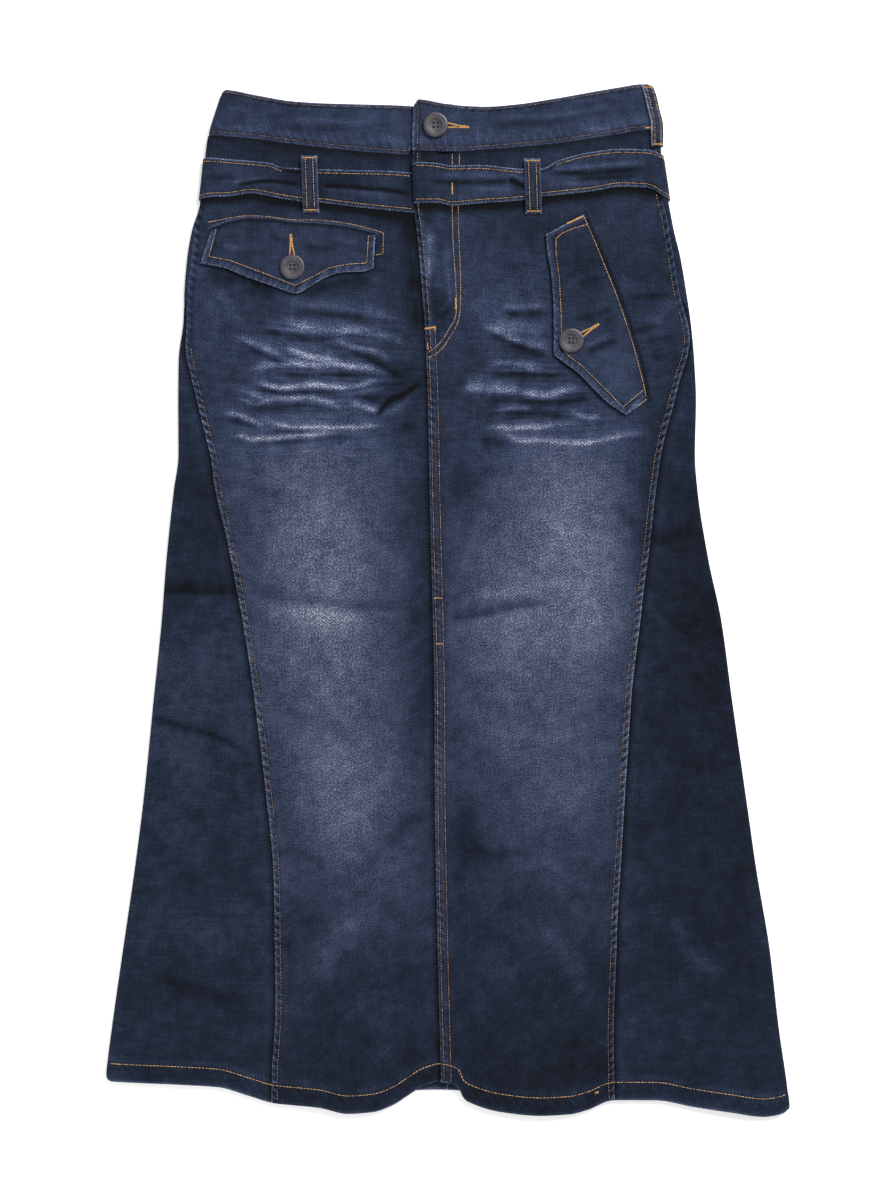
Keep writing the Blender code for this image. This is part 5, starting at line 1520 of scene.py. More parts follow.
@dataclass
class FrontPanel:
    """One front panel, from the waistband to the hem, with the lap at the fly and its doubled gore edge.

    Attributes:
        side: Side of the skirt.
        middle: Number of columns between the seam's and the lap's.
    """

    side: Side
    middle: int = 86

    @property
    def rows(self) -> Grid:
        """Levels of its rows."""
        levels, start = [], TOP_ROW
        for end, pitch in ROW_ZONES:
            levels.append(np.linspace(start, end, round((start - end) / pitch), endpoint=False))
            start = end
        return np.append(np.concatenate(levels), HEM_ROW)

    def seam(self, level: Grid) -> Grid:
        """Distance of its outer edge round the cloth from the side fold."""
        return GORE_SEAMS.read(f"front_{self.side.word}", level) + SEAM_GAP / 2.0

    def by_seam(self, away: Grid | float, level: Grid) -> Grid:
        """Turn of a place so far in from its outer edge."""
        return SKIRT.turn_round(self.side, self.seam(level) + away, level)

    def lap_turns(self, level: Grid) -> Grid:
        """Turns of the left panel's columns along the fly, from its folded edge to where it has come down."""
        n = len(LAP_COLUMNS)
        near = centre_x(level[:, :n]) + LAP_COLUMNS
        past = centre_x(level[:, n:]) + lap_width(level[:, n:]) + PAST_LAP_COLUMNS
        return SKIRT.turn_front(np.concatenate((near, past), axis=1), level)

    def turns(self, level: Grid) -> Grid:
        """Turn of every point for its level.

        Args:
            level: Levels, rows by columns.

        Returns:
            The turns, from the outer edge to beneath the lap, or from the lap's edge to the outer edge.
        """
        n = len(SEAM_COLUMNS)
        if self.side is Side.RIGHT:
            shares = np.linspace(0.0, 1.0, self.middle + 1)[1:]
            seam, middle, end = level[:, :n], level[:, n:n + self.middle], level[:, n + self.middle:]
            near = self.by_seam(SEAM_COLUMNS, seam)
            lap = SKIRT.turn_front(centre_x(middle) - LAP_COLUMN, middle)
            beneath = centre_x(end) + np.concatenate((BENEATH_COLUMNS, [0.0]))
            beneath[:, -1] += lap_width(end[:, -1])
            across = spread(self.by_seam(SEAM_COLUMNS[-1], middle), lap, shares)
            return np.concatenate((near, across, SKIRT.turn_front(beneath, end)), axis=1)
        start, middle, seam = level[:, :-n - self.middle], level[:, -n - self.middle:-n], level[:, -n:]
        landed = centre_x(middle) + lap_width(middle) + PAST_LAP_COLUMNS[-1]
        inner = np.linspace(0.0, 1.0, self.middle + 2)[1:-1]
        across = spread(SKIRT.turn_front(landed, middle), self.by_seam(SEAM_COLUMNS[-1], middle), inner)
        return np.concatenate((self.lap_turns(start), across, self.by_seam(SEAM_COLUMNS[::-1], seam)), axis=1)

    @property
    def away(self) -> Grid:
        """Distance of each column from the outer edge, or far away."""
        if self.side is Side.RIGHT:
            return np.concatenate((SEAM_COLUMNS, np.full(self.middle + len(BENEATH_COLUMNS) + 1, FAR_AWAY)))
        others = len(LAP_COLUMNS) + len(PAST_LAP_COLUMNS) + self.middle
        return np.concatenate((np.full(others, FAR_AWAY), SEAM_COLUMNS[::-1]))

    def seam_top(self, away: Grid | float, level: Grid) -> Grid:
        """How far the doubled outer edge stands up, by distance from it."""
        tall = GORE_SEAM_RISE * (1.0 - ease(GORE_SEAM_STARTS - GORE_SEAM_TAPER, GORE_SEAM_STARTS, level))
        return tall * (1.0 - ease(*GORE_SEAM_END, np.asarray(away, float)))

    def lap(self, x: Grid, level: Grid) -> Grid:
        """How far its outside stands above the tube's face along the fly and the centre seam."""
        if self.side is Side.RIGHT:
            return 0.0 * x
        edge = x - centre_x(level)
        pillow = 0.22 * hump(edge, sum(CENTRE_ROWS) / 2.0, 2.6) - 0.28 * np.exp(-np.maximum(edge, 0.0) / 0.8)
        return lap_top(x, level) + pillow

    def outside_wear_and_shade(self, x: Grid, level: Grid, away: Grid) -> Grid:
        """Tone of its outside: fades, worn whiskers, painted shade and highlights of its folds, painted
        shadows beside the fly, the flaps, the waistband and the belt, worn edges and puckers.

        Args:
            x: Places across.
            level: Places up.
            away: Distances from the outer edge.

        Returns:
            The bleach.
        """
        below_gore = self.seam_top(0.0, level) / GORE_SEAM_RISE
        wear_and_shade = gather(FADES_AND_SHADE + PAINTED_SHADE, x, level) + CREASE_PAINTED_SHADING * gather(CREASES, x, level)
        wear_and_shade += WHISKER_WEAR_AND_SHADE * gather(WHISKERS + SHADED_HOLLOWS, x, level)
        sewn = beside_edge(level, away, SEAM_ROW, rim=0.42, pucker=0.26, groove=0.1, groove_width=1.0)
        wear_and_shade += np.maximum(below_gore, 0.7) * sewn
        wear_and_shade += hem_wear(level - HEM_FRONT.read("level", x), x)
        edge = x - centre_x(level)
        if self.side is Side.LEFT:
            wear_and_shade += 0.34 * np.exp(-np.maximum(edge, 0.0) / 0.9) + 0.2 * seam_ripple(level, edge)
            wear_and_shade += 0.08 * hump(edge, sum(CENTRE_ROWS) / 2.0, 2.4) + gather(FLY_WEAR_AND_SHADE, x, level)
            for row in CENTRE_ROWS:
                wear_and_shade -= 0.14 * hump(edge, row, 0.9)
        else:
            # Painted shadow on the right panel along the left panel's lapped edge
            wear_and_shade -= 0.2 * hump(np.minimum(edge, 0.0), 0.0, 3.0)
        return wear_and_shade + self.edge_shade_and_wear(x, level)

    def edge_shade_and_wear(self, x: Grid, level: Grid) -> Grid:
        """Painted shadows beside what lies on it: dark under the waistband, the belt and the flap; and a pale
        line along the pocket's folded edge.

        Args:
            x: Places across.
            level: Places up.

        Returns:
            The bleach to add.
        """
        under_band = WAIST[self.side].read("bottom", x) - level
        under_belt = BELT_EDGES[self.side].read("bottom", x) - level
        # Painted shadows under the waistband's and the belt's lower edges
        wear_and_shade = -0.26 * np.exp(-np.maximum(under_band, 0.0) / 3.4)
        wear_and_shade -= 0.42 * hump(under_belt, 1.0, 5.0) * (under_belt > 0.0)
        flap = PocketFlap(self.side)
        near = (np.abs(x) > FLAP_ZONE[0]) & (level > FLAP_ZONE[1]) & (level < FLAP_ZONE[2])
        free, _, _ = nearest(flap.free_outline(), x[near], level[near])
        sewn, _, above = nearest(flap.sewn_edge(), x[near], level[near])
        # Painted shadow round the flap's free edges, and painted shade in the slit at its sewn edge
        wear_and_shade[near] -= 0.14 * np.exp(-free / 1.6) + 0.3 * hump(sewn, 0.0, 1.0)
        if self.side is Side.RIGHT:
            wear_and_shade[near] += 0.26 * hump(sewn, 1.9, 0.9) * (above > 0.0)
        return wear_and_shade

    def build(self) -> None:
        """Make its shell."""
        count = len(self.away)
        turn, level = settle(self.rows, count, self.turns, self.side)
        x = SKIRT.across(turn, level)
        away = np.broadcast_to(self.away, level.shape)
        below_gore = self.seam_top(0.0, level) / GORE_SEAM_RISE
        details = hem_relief(level - HEM_FRONT.read("level", x), x)
        sewn = beside_edge(level, away, SEAM_ROW, rim=0.0, pucker=0.42, groove=0.3)
        details += np.maximum(below_gore, 0.6) * sewn
        if self.side is Side.LEFT:
            details += 0.25 * seam_ripple(level, x - centre_x(level))
        inside = lap_rise(x, level) if self.side is Side.LEFT else 0.0
        cloth = Cloth(
            outer=SKIRT.place(turn, level, self.seam_top(away, level) + self.lap(x, level) + details),
            inner=SKIRT.place(turn, level, inside - front_wall(x, level)),
            grain=np.stack((x, level), axis=-1),
            wear_and_shade=self.outside_wear_and_shade(x, level, away),
            crumple=0.14 + gather(CRUMPLED, x, level),
            lie=np.stack((x, level + (level - WHISKER_LEVEL) * WHISKER_FAN * (x - centre_x(level))), axis=-1),
        )
        node, below = f"front_panel_{self.side.word}", f"back_panel_{self.side.word}"
        cloth.dress(node, Finish.FRONT, "denim_front", FLAT[self.side], rests_on=[below])

    def sew(self) -> None:
        """Topstitching of its outer edge, and on the left one of the fly and the centre seam."""
        rows = Sewing(3 if self.side is Side.RIGHT else 4)
        level = np.arange(HEM_ROW - 8.0, GORE_ROW_TOPS[self.side], STITCH_STEP)
        hem = HEM_FRONT.read("level", SKIRT.across(self.by_seam(SEAM_ROW, level), level))
        level = level[level > hem + 1.5]
        turn = self.by_seam(SEAM_ROW, level)
        rows.on(SKIRT, turn, level, self.seam_top(SEAM_ROW, level) - 0.15, GORE_STITCH, tone=0.42)
        rows.piece(f"stitches_gore_seam_{self.side.word}", Finish.DULL, "denim_front")
        if self.side is Side.LEFT:
            self.sew_fly()

    def sew_fly(self) -> None:
        """Rows beside the fly's edge, down the centre seam and round the fly's curve, with its bartacks."""
        rows = Sewing(5)
        low = HEM_FRONT.read("level", centre_x(np.array(HEM_ROW))) + 1.5
        runs = (
            (CENTRE_ROWS[0], low, CENTRE_ROWS_START),
            (CENTRE_ROWS[1], low - 1.5, FLY_BARTACK_LEVEL),
            (FLY_EDGE_ROW, CENTRE_ROWS_START + 6.0, TOP_ROW),
        )
        for away, start, end in runs:
            level = np.arange(start, end, STITCH_STEP)
            x = centre_x(level) + away
            rows.on(SKIRT, SKIRT.turn_front(x, level), level, self.lap(x, level), TOPSTITCH, tone=0.18)
        for curve in FLY_CURVES:
            x, level = drawn(curve)
            rows.on(SKIRT, SKIRT.turn_front(x, level), level, self.lap(x, level), TOPSTITCH, tone=0.6)
        rows.piece("stitches_fly", Finish.TAN, "denim_front")


@dataclass
class BackPanel:
    """One back panel, flat on the table from its gore seam to the centre back seam.

    Attributes:
        side: Side of the skirt.
        middle: Number of columns past the seam's.
        pitch: Distance between its rows.
    """

    side: Side
    middle: int = 54
    pitch: float = 3.6

    def by_seam(self, away: Grid | float, level: Grid) -> Grid:
        """Turn of a place so far in from its outer edge."""
        seam = GORE_SEAMS.read(f"back_{self.side.word}", level) - SEAM_GAP / 2.0
        return SKIRT.turn_round(self.side, seam - away, level)

    def by_middle(self, away: Grid | float, level: Grid) -> Grid:
        """Turn of a place so far out from the centre back seam."""
        sign = self.side.value
        x = centre_x(level) + SEAM_LAP / 2.0 + sign * (SEAM_GAP / 2.0 + away)
        return SKIRT.turn_back(x, level, self.side)

    def turns(self, level: Grid) -> Grid:
        """Turn of every point for its level, from the outer edge to the centre back."""
        n = len(SEAM_COLUMNS)
        seam, middle = level[:, :n], level[:, n:]
        shares = 1.0 - (1.0 - np.linspace(0.0, 1.0, self.middle + 1)[1:]) ** 1.1
        across = spread(self.by_seam(SEAM_COLUMNS[-1], middle), self.by_middle(0.0, middle), shares)
        return np.concatenate((self.by_seam(SEAM_COLUMNS, seam), across), axis=1)

    def build(self) -> None:
        """Make its shell."""
        count = len(SEAM_COLUMNS) + self.middle
        turn, level = settle(rows_of(TOP_ROW, self.pitch), count, self.turns, self.side)
        x = SKIRT.across(turn, level)
        away = np.full(level.shape, FAR_AWAY)
        away[:, :len(SEAM_COLUMNS)] = SEAM_COLUMNS
        middle = np.abs(x - centre_x(level) - SEAM_LAP / 2.0)
        flat = np.mod(turn, 4.0)
        outside = np.where((flat > 2.0) & (flat < 3.0), 1.0, 0.0)
        dents = outside * (0.12 * (seam_ripple(level, middle) - 1.0) * hump(middle, 0.0, 9.0))
        wear_and_shade = gather(BACK_FADES, x, level) + hem_wear(level - HEM_BACK.read("level", x), x)
        wear_and_shade += 0.2 * np.exp(-middle / 1.0) + 0.08 * seam_ripple(level, middle)
        wear_and_shade += 0.18 * np.exp(-away / 0.9) * ease(245.0, 230.0, level)
        cloth = Cloth(
            outer=SKIRT.place(turn, level, dents),
            inner=SKIRT.place(turn, level, -back_wall(x, level)),
            grain=np.stack((x, level), axis=-1),
            wear_and_shade=wear_and_shade,
        )
        cloth.dress(f"back_panel_{self.side.word}", Finish.BACK, "denim_back", FLAT["back"])

    def sew(self) -> None:
        """Topstitching of its outer edge, and on the left one the felled centre back seam."""
        rows = Sewing(7 if self.side is Side.RIGHT else 8)
        level = np.arange(HEM_ROW, BACK_ROW_TOP, 1.0)
        rows.on(SKIRT, self.by_seam(SEAM_ROW, level), level, -0.35, GORE_STITCH, tone=0.42)
        if self.side is Side.LEFT:
            level = np.arange(*BACK_CENTRE_ENDS, 1.0)
            for away in BACK_CENTRE_ROWS:
                rows.on(SKIRT, self.by_middle(away, level), level, -0.35, TOPSTITCH, tone=0.45)
        rows.piece(f"stitches_back_{self.side.word}", Finish.TAN, "denim_back")


# Seat and thighs of the back are faded a little too
BACK_FADES = (
    Patch(-105, 205, 62, 60, 0.12), Patch(85, 205, 60, 60, 0.12), Patch(-110, 10, 60, 150, 0.10),
    Patch(100, 10, 60, 150, 0.10),
    Stroke(((-170, 168), (-140, 160), (-95, 158), (-50, 163)), 0.14, 3.0, 5.0),
    Stroke(((30, 160), (70, 156), (115, 160), (160, 170)), 0.14, 3.0, 5.0),
)
GORE_FADES = (
    Patch(-215, -90, 50, 60, 0.08), Patch(-225, -380, 80, 60, -0.05), Patch(235, 10, 60, 140, -0.15),
    Patch(-200, 70, 36, 50, -0.08), Patch(235, -240, 80, 170, -0.08),
)
# Sizes that the sheets were cut to, in metres
FLAT = {
    Side.RIGHT: (0.235, 0.815),
    Side.LEFT: (0.245, 0.815),
    "back": (0.225, 0.800),
    "gore": (0.300, 0.670),
    "waistband": (0.780, 0.042),
    "belt": (0.790, 0.034),
    "loop": (0.013, 0.056),
    "flap": (0.150, 0.056),
}
GORE_AREA = 0.118


@dataclass
class SideGore:
    """Flared gore that goes round a side fold, from its point at the hip to the hem.

    Attributes:
        side: Side of the skirt.
        pitch: Distance between its rows.
        back_columns: Number of columns on the back.
        fold_columns: Number of columns round the side fold.
        front_columns: Number of columns on the front.
        narrow: Width up to which its columns are evenly spaced.
        wide: Width from which they gather at the fold.
    """

    side: Side
    pitch: float = 2.6
    back_columns: int = 13
    fold_columns: int = 11
    front_columns: int = 60
    narrow: float = 8.0
    wide: float = 48.0

    def edges(self, level: Grid) -> tuple[Grid, Grid]:
        """Distances of its front and back edges round the cloth from the side fold."""
        front = GORE_SEAMS.read(f"front_{self.side.word}", level) - SEAM_GAP / 2.0
        return front, GORE_SEAMS.read(f"back_{self.side.word}", level) + SEAM_GAP / 2.0

    def distances(self, level: Grid) -> Grid:
        """Distance round the cloth of every point for its level.

        Where the gore is wide, the columns gather at the fold, and near its point they are evenly spaced.

        Args:
            level: Levels, rows by columns.

        Returns:
            Distances from the side fold, to the front positive.
        """
        front, back = self.edges(level)
        half = np.pi * (above_back(0.0, 0.0) + CLOTH + FOLD_BULGE) / 4.0
        b, f = self.back_columns, self.back_columns + self.fold_columns
        wide = np.empty_like(level)
        wide[:, :b] = spread(back[:, :b], -half, np.linspace(0.0, 1.0, b, endpoint=False))
        wide[:, b:f] = np.linspace(-half, half, self.fold_columns)
        shares = np.linspace(0.0, 1.0, self.front_columns + 1)[1:]
        wide[:, f:] = spread(half, front[:, f:], 1.0 - (1.0 - shares) ** 1.25)
        even = spread(back, front, np.linspace(0.0, 1.0, level.shape[1]))
        share = np.clip((front - back - self.narrow) / (self.wide - self.narrow), 0.0, 1.0)
        return even + (wide - even) * share

    def turns(self, level: Grid) -> Grid:
        """Turn of every point for its level."""
        return SKIRT.turn_round(self.side, self.distances(level), level)

    def build(self) -> None:
        """Make its shell."""
        count = self.back_columns + self.fold_columns + self.front_columns
        turn, level = settle(rows_of(GORE_APEX, self.pitch), count, self.turns, self.side)
        x = SKIRT.across(turn, level)
        distance = self.distances(level)
        front, back = self.edges(level)
        from_front, from_back = front - distance, distance - back
        on_front = frontness(turn)
        hem = on_front * HEM_FRONT.read("level", x) + (1.0 - on_front) * HEM_BACK.read("level", x)
        # Hem roping, and on the front the creases' painted shade and highlights
        wear_and_shade = hem_wear(level - hem, x) + on_front * CREASE_PAINTED_SHADING * gather(CREASES, x, level)
        # A faint paler band 6 mm in from the front seam, a painted highlight along the top of the side fold,
        # and painted shade beside both seams
        wear_and_shade += 0.03 * hump(from_front, 6.0, 3.0) + 0.04 * hump(distance, 0.0, 5.0)
        wear_and_shade -= 0.32 * np.exp(-from_front / 1.6) + 0.1 * np.exp(-from_back / 1.8)
        wear_and_shade += on_front * gather(GORE_FADES, x, level)
        wall = on_front * front_wall(x, level) + (1.0 - on_front) * back_wall(x, level)
        details = on_front * (hem_relief(level - hem, x) - 0.15 * np.exp(-from_front / 1.5))
        cloth = Cloth(
            outer=SKIRT.place(turn, level, details),
            inner=SKIRT.place(turn, level, -wall),
            grain=np.stack((distance, level), axis=-1),
            wear_and_shade=wear_and_shade,
        )
        cloth.dress(f"side_gore_{self.side.word}", Finish.GORE, "denim_gore", FLAT["gore"], area=GORE_AREA)


class HemRow:
    """The hem's stitch row, which runs right round the skirt."""

    def sew(self) -> None:
        """Sew it, the front and the back as one piece each."""
        front = Sewing(10)
        x = np.arange(*HEM_ROW_ENDS, STITCH_STEP)
        level = HEM_FRONT.read("level", x) + HEM_DEPTH
        turn = SKIRT.turn_front(x, level)
        seams = [self.over_seam(side, x, level) for side in Side]
        out = lap_top(x, level) * (x > centre_x(level)) + np.maximum(seams[0], seams[1])
        front.on(SKIRT, turn, level, out - 0.12, HEM_STITCH, tone=0.62)
        front.piece("stitches_hem_front", Finish.TAN, "denim_front")
        back = Sewing(11)
        level = HEM_BACK.read("level", x) + HEM_DEPTH
        back.on(SKIRT, SKIRT.turn_back(x, level, Side.LEFT), level, -0.35, HEM_STITCH, tone=0.62)
        back.piece("stitches_hem_back", Finish.TAN, "denim_back")

    def over_seam(self, side: Side, x: Grid, level: Grid) -> Grid:
        """How far the row climbs where it crosses a panel's doubled outer edge."""
        panel = FrontPanel(side)
        edge = SKIRT.across(panel.by_seam(0.0, level), level)
        away = (x - edge) * -panel.side.value
        return panel.seam_top(np.maximum(away, 0.0), level) * (away > 0.0)


# Columns of the waistband and the belt: over the right front from the fly, and over the left front to it
BAND_COLUMNS = (np.linspace(UNDERLAP_END, -176.0, 88), np.linspace(152.0, -25.0, 88))
BELT_COLUMNS = (np.linspace(-30.0, -188.0, 79), np.linspace(165.0, -29.0, 97))
BAND_ROWS = 20
BELT_ROWS = 34
# Turn just past the middle of the back, where a strip's right half ends
BACK_MIDDLE = -1.501
EDGE_ROW = 2.9
BELT_EDGE_ROW = 2.8
HEM_ROW_ENDS = (-281.0, 280.0)
LOOP_ROW = 3.4
FOLD_DEPTH = 0.6
# Soft folds of the belt: their heights, and the same folds painted paler or darker as painted light and
# shade, with broad patches of painted shade
BELT_FOLDS = (
    Patch(-94, 349, 30, 5, -0.3), Patch(-33, 343, 6, 14, -0.5), Patch(-131, 350, 10, 5, -0.4),
    Patch(-110, 343, 90, 20, -0.25), Patch(60, 350, 80, 24, 0.12),
    Stroke(((-107, 344), (-83, 343), (-64, 341), (-53, 340.5), (-31, 336.5)), -1.5, 2.0, 0.9, 0.12),
    Stroke(((-107, 341), (-83, 340), (-64, 338), (-44, 336)), 0.45, 1.0, 2.4, 0.15),
    Stroke(((-203, 351), (-190, 351), (-176, 350)), -0.6, 2.4, 2.0, 0.2),
    Stroke(((-184, 346), (-162, 349.5), (-146, 351)), 0.5, 1.6, 1.4),
    Stroke(((-178, 344), (-167, 346), (-158, 347.5), (-149, 348), (-137, 347),
        (-121, 345.5)), -1.3, 1.4, 1.2, 0.15),
    Stroke(((-142, 361), (-132, 357), (-122, 354)), -0.9, 1.8, 2.6, 0.2),
    Stroke(((-18, 348), (10, 347), (34, 347), (54, 349)), -1.0, 1.6, 2.0, 0.2),
    Stroke(((-16, 353), (10, 353), (34, 353), (52, 354)), 0.4, 2.4, 2.4),
    Stroke(((20, 342), (40, 341), (58, 342)), 0.4, 2.0, 2.0),
    Stroke(((50, 350), (57, 346), (64, 343)), -1.8, 1.6, 2.2, 0.2),
    Stroke(((50, 354), (57, 351), (63, 348)), 0.8, 1.8, 1.6, 0.2),
    Stroke(((78, 354), (97, 355), (122, 355), (146, 357), (171, 359)), -1.1, 1.4, 2.4, 0.2),
    Stroke(((84, 357), (103, 358), (122, 360), (146, 362), (168, 364)), 0.7, 2.4, 1.4, 0.2),
    Stroke(((104, 350), (134, 351), (159, 353)), -0.8, 1.6, 2.4),
    Stroke(((90, 346), (110, 346), (128, 348)), 0.4, 2.0, 2.4),
)
# Where the belt's upper edge is folded under on the front, from x to x
BELT_TUCKS = ((-138.0, -122.0), (62.0, 89.0))
# Soft folds of the waistband: their heights, and the same lines painted paler on the ridges and darker in the
# troughs as painted light and shade
BAND_FOLDS = (
    Stroke(((-186, 409), (-175, 407), (-161, 406)), 0.5, 2.0, 2.0),
    Stroke(((-145, 400), (-123, 399), (-99, 398), (-76, 397), (-52, 400)), 0.6, 1.8, 1.8),
    Stroke(((-192, 398), (-177, 397), (-165, 399)), -0.5, 2.4, 3.0),
    Stroke(((-140, 393), (-110, 391), (-80, 392)), -0.5, 2.4, 3.0),
    Stroke(((-60, 386), (-48, 383), (-38, 382)), 0.5, 3.0, 3.0),
    Stroke(((24, 400), (47, 401), (90, 402), (122, 408), (146, 411)), 0.6, 2.0, 1.8),
    Stroke(((26, 396), (59, 395), (90, 398), (122, 400)), -0.6, 2.0, 2.6),
    Stroke(((20, 396), (24, 388), (25, 381)), 0.5, 2.4, 2.0),
    Stroke(((32, 394), (34, 386), (33, 379)), 0.5, 2.4, 2.0),
    Stroke(((109, 391), (124, 391), (140, 393)), 0.5, 2.0, 2.4),
)


def eased_shares(count: int) -> Grid:
    """Shares from 0 to 1 that lie closer at both ends: half even, half on a cosine."""
    even = np.linspace(0.0, 1.0, count)
    return 0.35 * even + 0.65 * (0.5 - 0.5 * np.cos(np.pi * even))


@dataclass
class Strip:
    """Doubled strip of cloth right round the skirt, from its right front end over the back to its left one.

    Attributes:
        tube: The tube that it lies on.
        wall: Its thickness.
        right_x: Places of its columns on the right front, from its end to near the fold.
        left_x: The same on the left front, from near the fold to its end.
        rows: Number of rows across it.
        near: Distances of its columns round each side fold, from the front to the back.
        back: Shares of the back's width at which its other columns lie, from each fold to the middle.
    """

    tube: Tube
    wall: float
    right_x: Grid
    left_x: Grid
    rows: int
    near: Grid = field(default_factory=lambda: np.array(
        (12.0, 10.0, 8.4, 7.0, 5.8, 4.6, 3.5, 2.3, 1.2, 0.0, -1.2, -2.3, -3.5, -4.6, -5.8, -7.0, -9.0)))
    back: Grid = field(default_factory=lambda: np.linspace(0.035, 0.5, 40))

    def end_turns(self, x: Grid, level: Grid) -> Grid:
        """Turns of the last columns, at the fly's edge."""
        return self.tube.turn_front(x, level)

    def turns(self, level: Grid) -> Grid:
        """Turn of every point for its level, going down from the right front end to the left one."""
        a, n, b = len(self.right_x), len(self.near), len(self.back)
        stops = np.cumsum((a, n, b, b - 1, n, len(self.left_x)))
        first, fold, right_back, left_back, far_fold, last = np.split(level, stops[:-1], axis=1)
        return np.concatenate((
            self.tube.turn_front(np.broadcast_to(self.right_x, first.shape), first),
            self.tube.turn_round(Side.RIGHT, np.broadcast_to(self.near, fold.shape), fold),
            np.broadcast_to(-1.0 - self.back, right_back.shape),
            np.broadcast_to(-2.0 + self.back[-2::-1], left_back.shape),
            self.tube.turn_round(Side.LEFT, np.broadcast_to(self.near[::-1], far_fold.shape), far_fold) - 4.0,
            self.end_turns(np.broadcast_to(self.left_x, last.shape), last) - 4.0,
        ), axis=1)

    def edge(self, column: str, x: Grid, turn: Grid) -> Grid:
        """Level of its top or bottom edge."""
        raise NotImplementedError

    def grid(self) -> tuple[Grid, Grid, Grid]:
        """Turn and level of its points, and their distance from the nearer edge."""
        count = len(self.right_x) + 2 * len(self.near) + 2 * len(self.back) - 1 + len(self.left_x)
        share = eased_shares(self.rows)[:, None]
        level = np.full((self.rows, count), TOP_ROW)
        for _ in range(FIT_ROUNDS):
            turn = self.turns(level)
            x = self.tube.across(turn, level)
            upper = np.repeat(self.edge("top", x[:1], turn[:1]), self.rows, axis=0)
            lower = np.repeat(self.edge("bottom", x[-1:], turn[-1:]), self.rows, axis=0)
            level = upper + (lower - upper) * share
        return turn, level, np.minimum(upper - level, level - lower)

    @staticmethod
    def on_left(turn: Grid) -> Grid:
        """1 on its left front part, 0 elsewhere."""
        return np.where((turn < BACK_MIDDLE) & (frontness(turn) > 0.99), 1.0, 0.0)

    def edge_path(self, column: str, inset: float, spacing: float = 0.9) -> tuple[Grid, Grid]:
        """Turns and levels along one of its edges, moved in by an inset, from end to end."""
        turn, level, _ = self.grid()
        row = 0 if column == "top" else -1
        along = distances(self.tube.place(turn[row], level[row])[:, :2])
        sign = -1.0 if column == "top" else 1.0
        at = np.arange(2.0, along[-1] - 2.0, spacing)
        return np.interp(at, along, turn[row]), np.interp(at, along, level[row]) + sign * inset


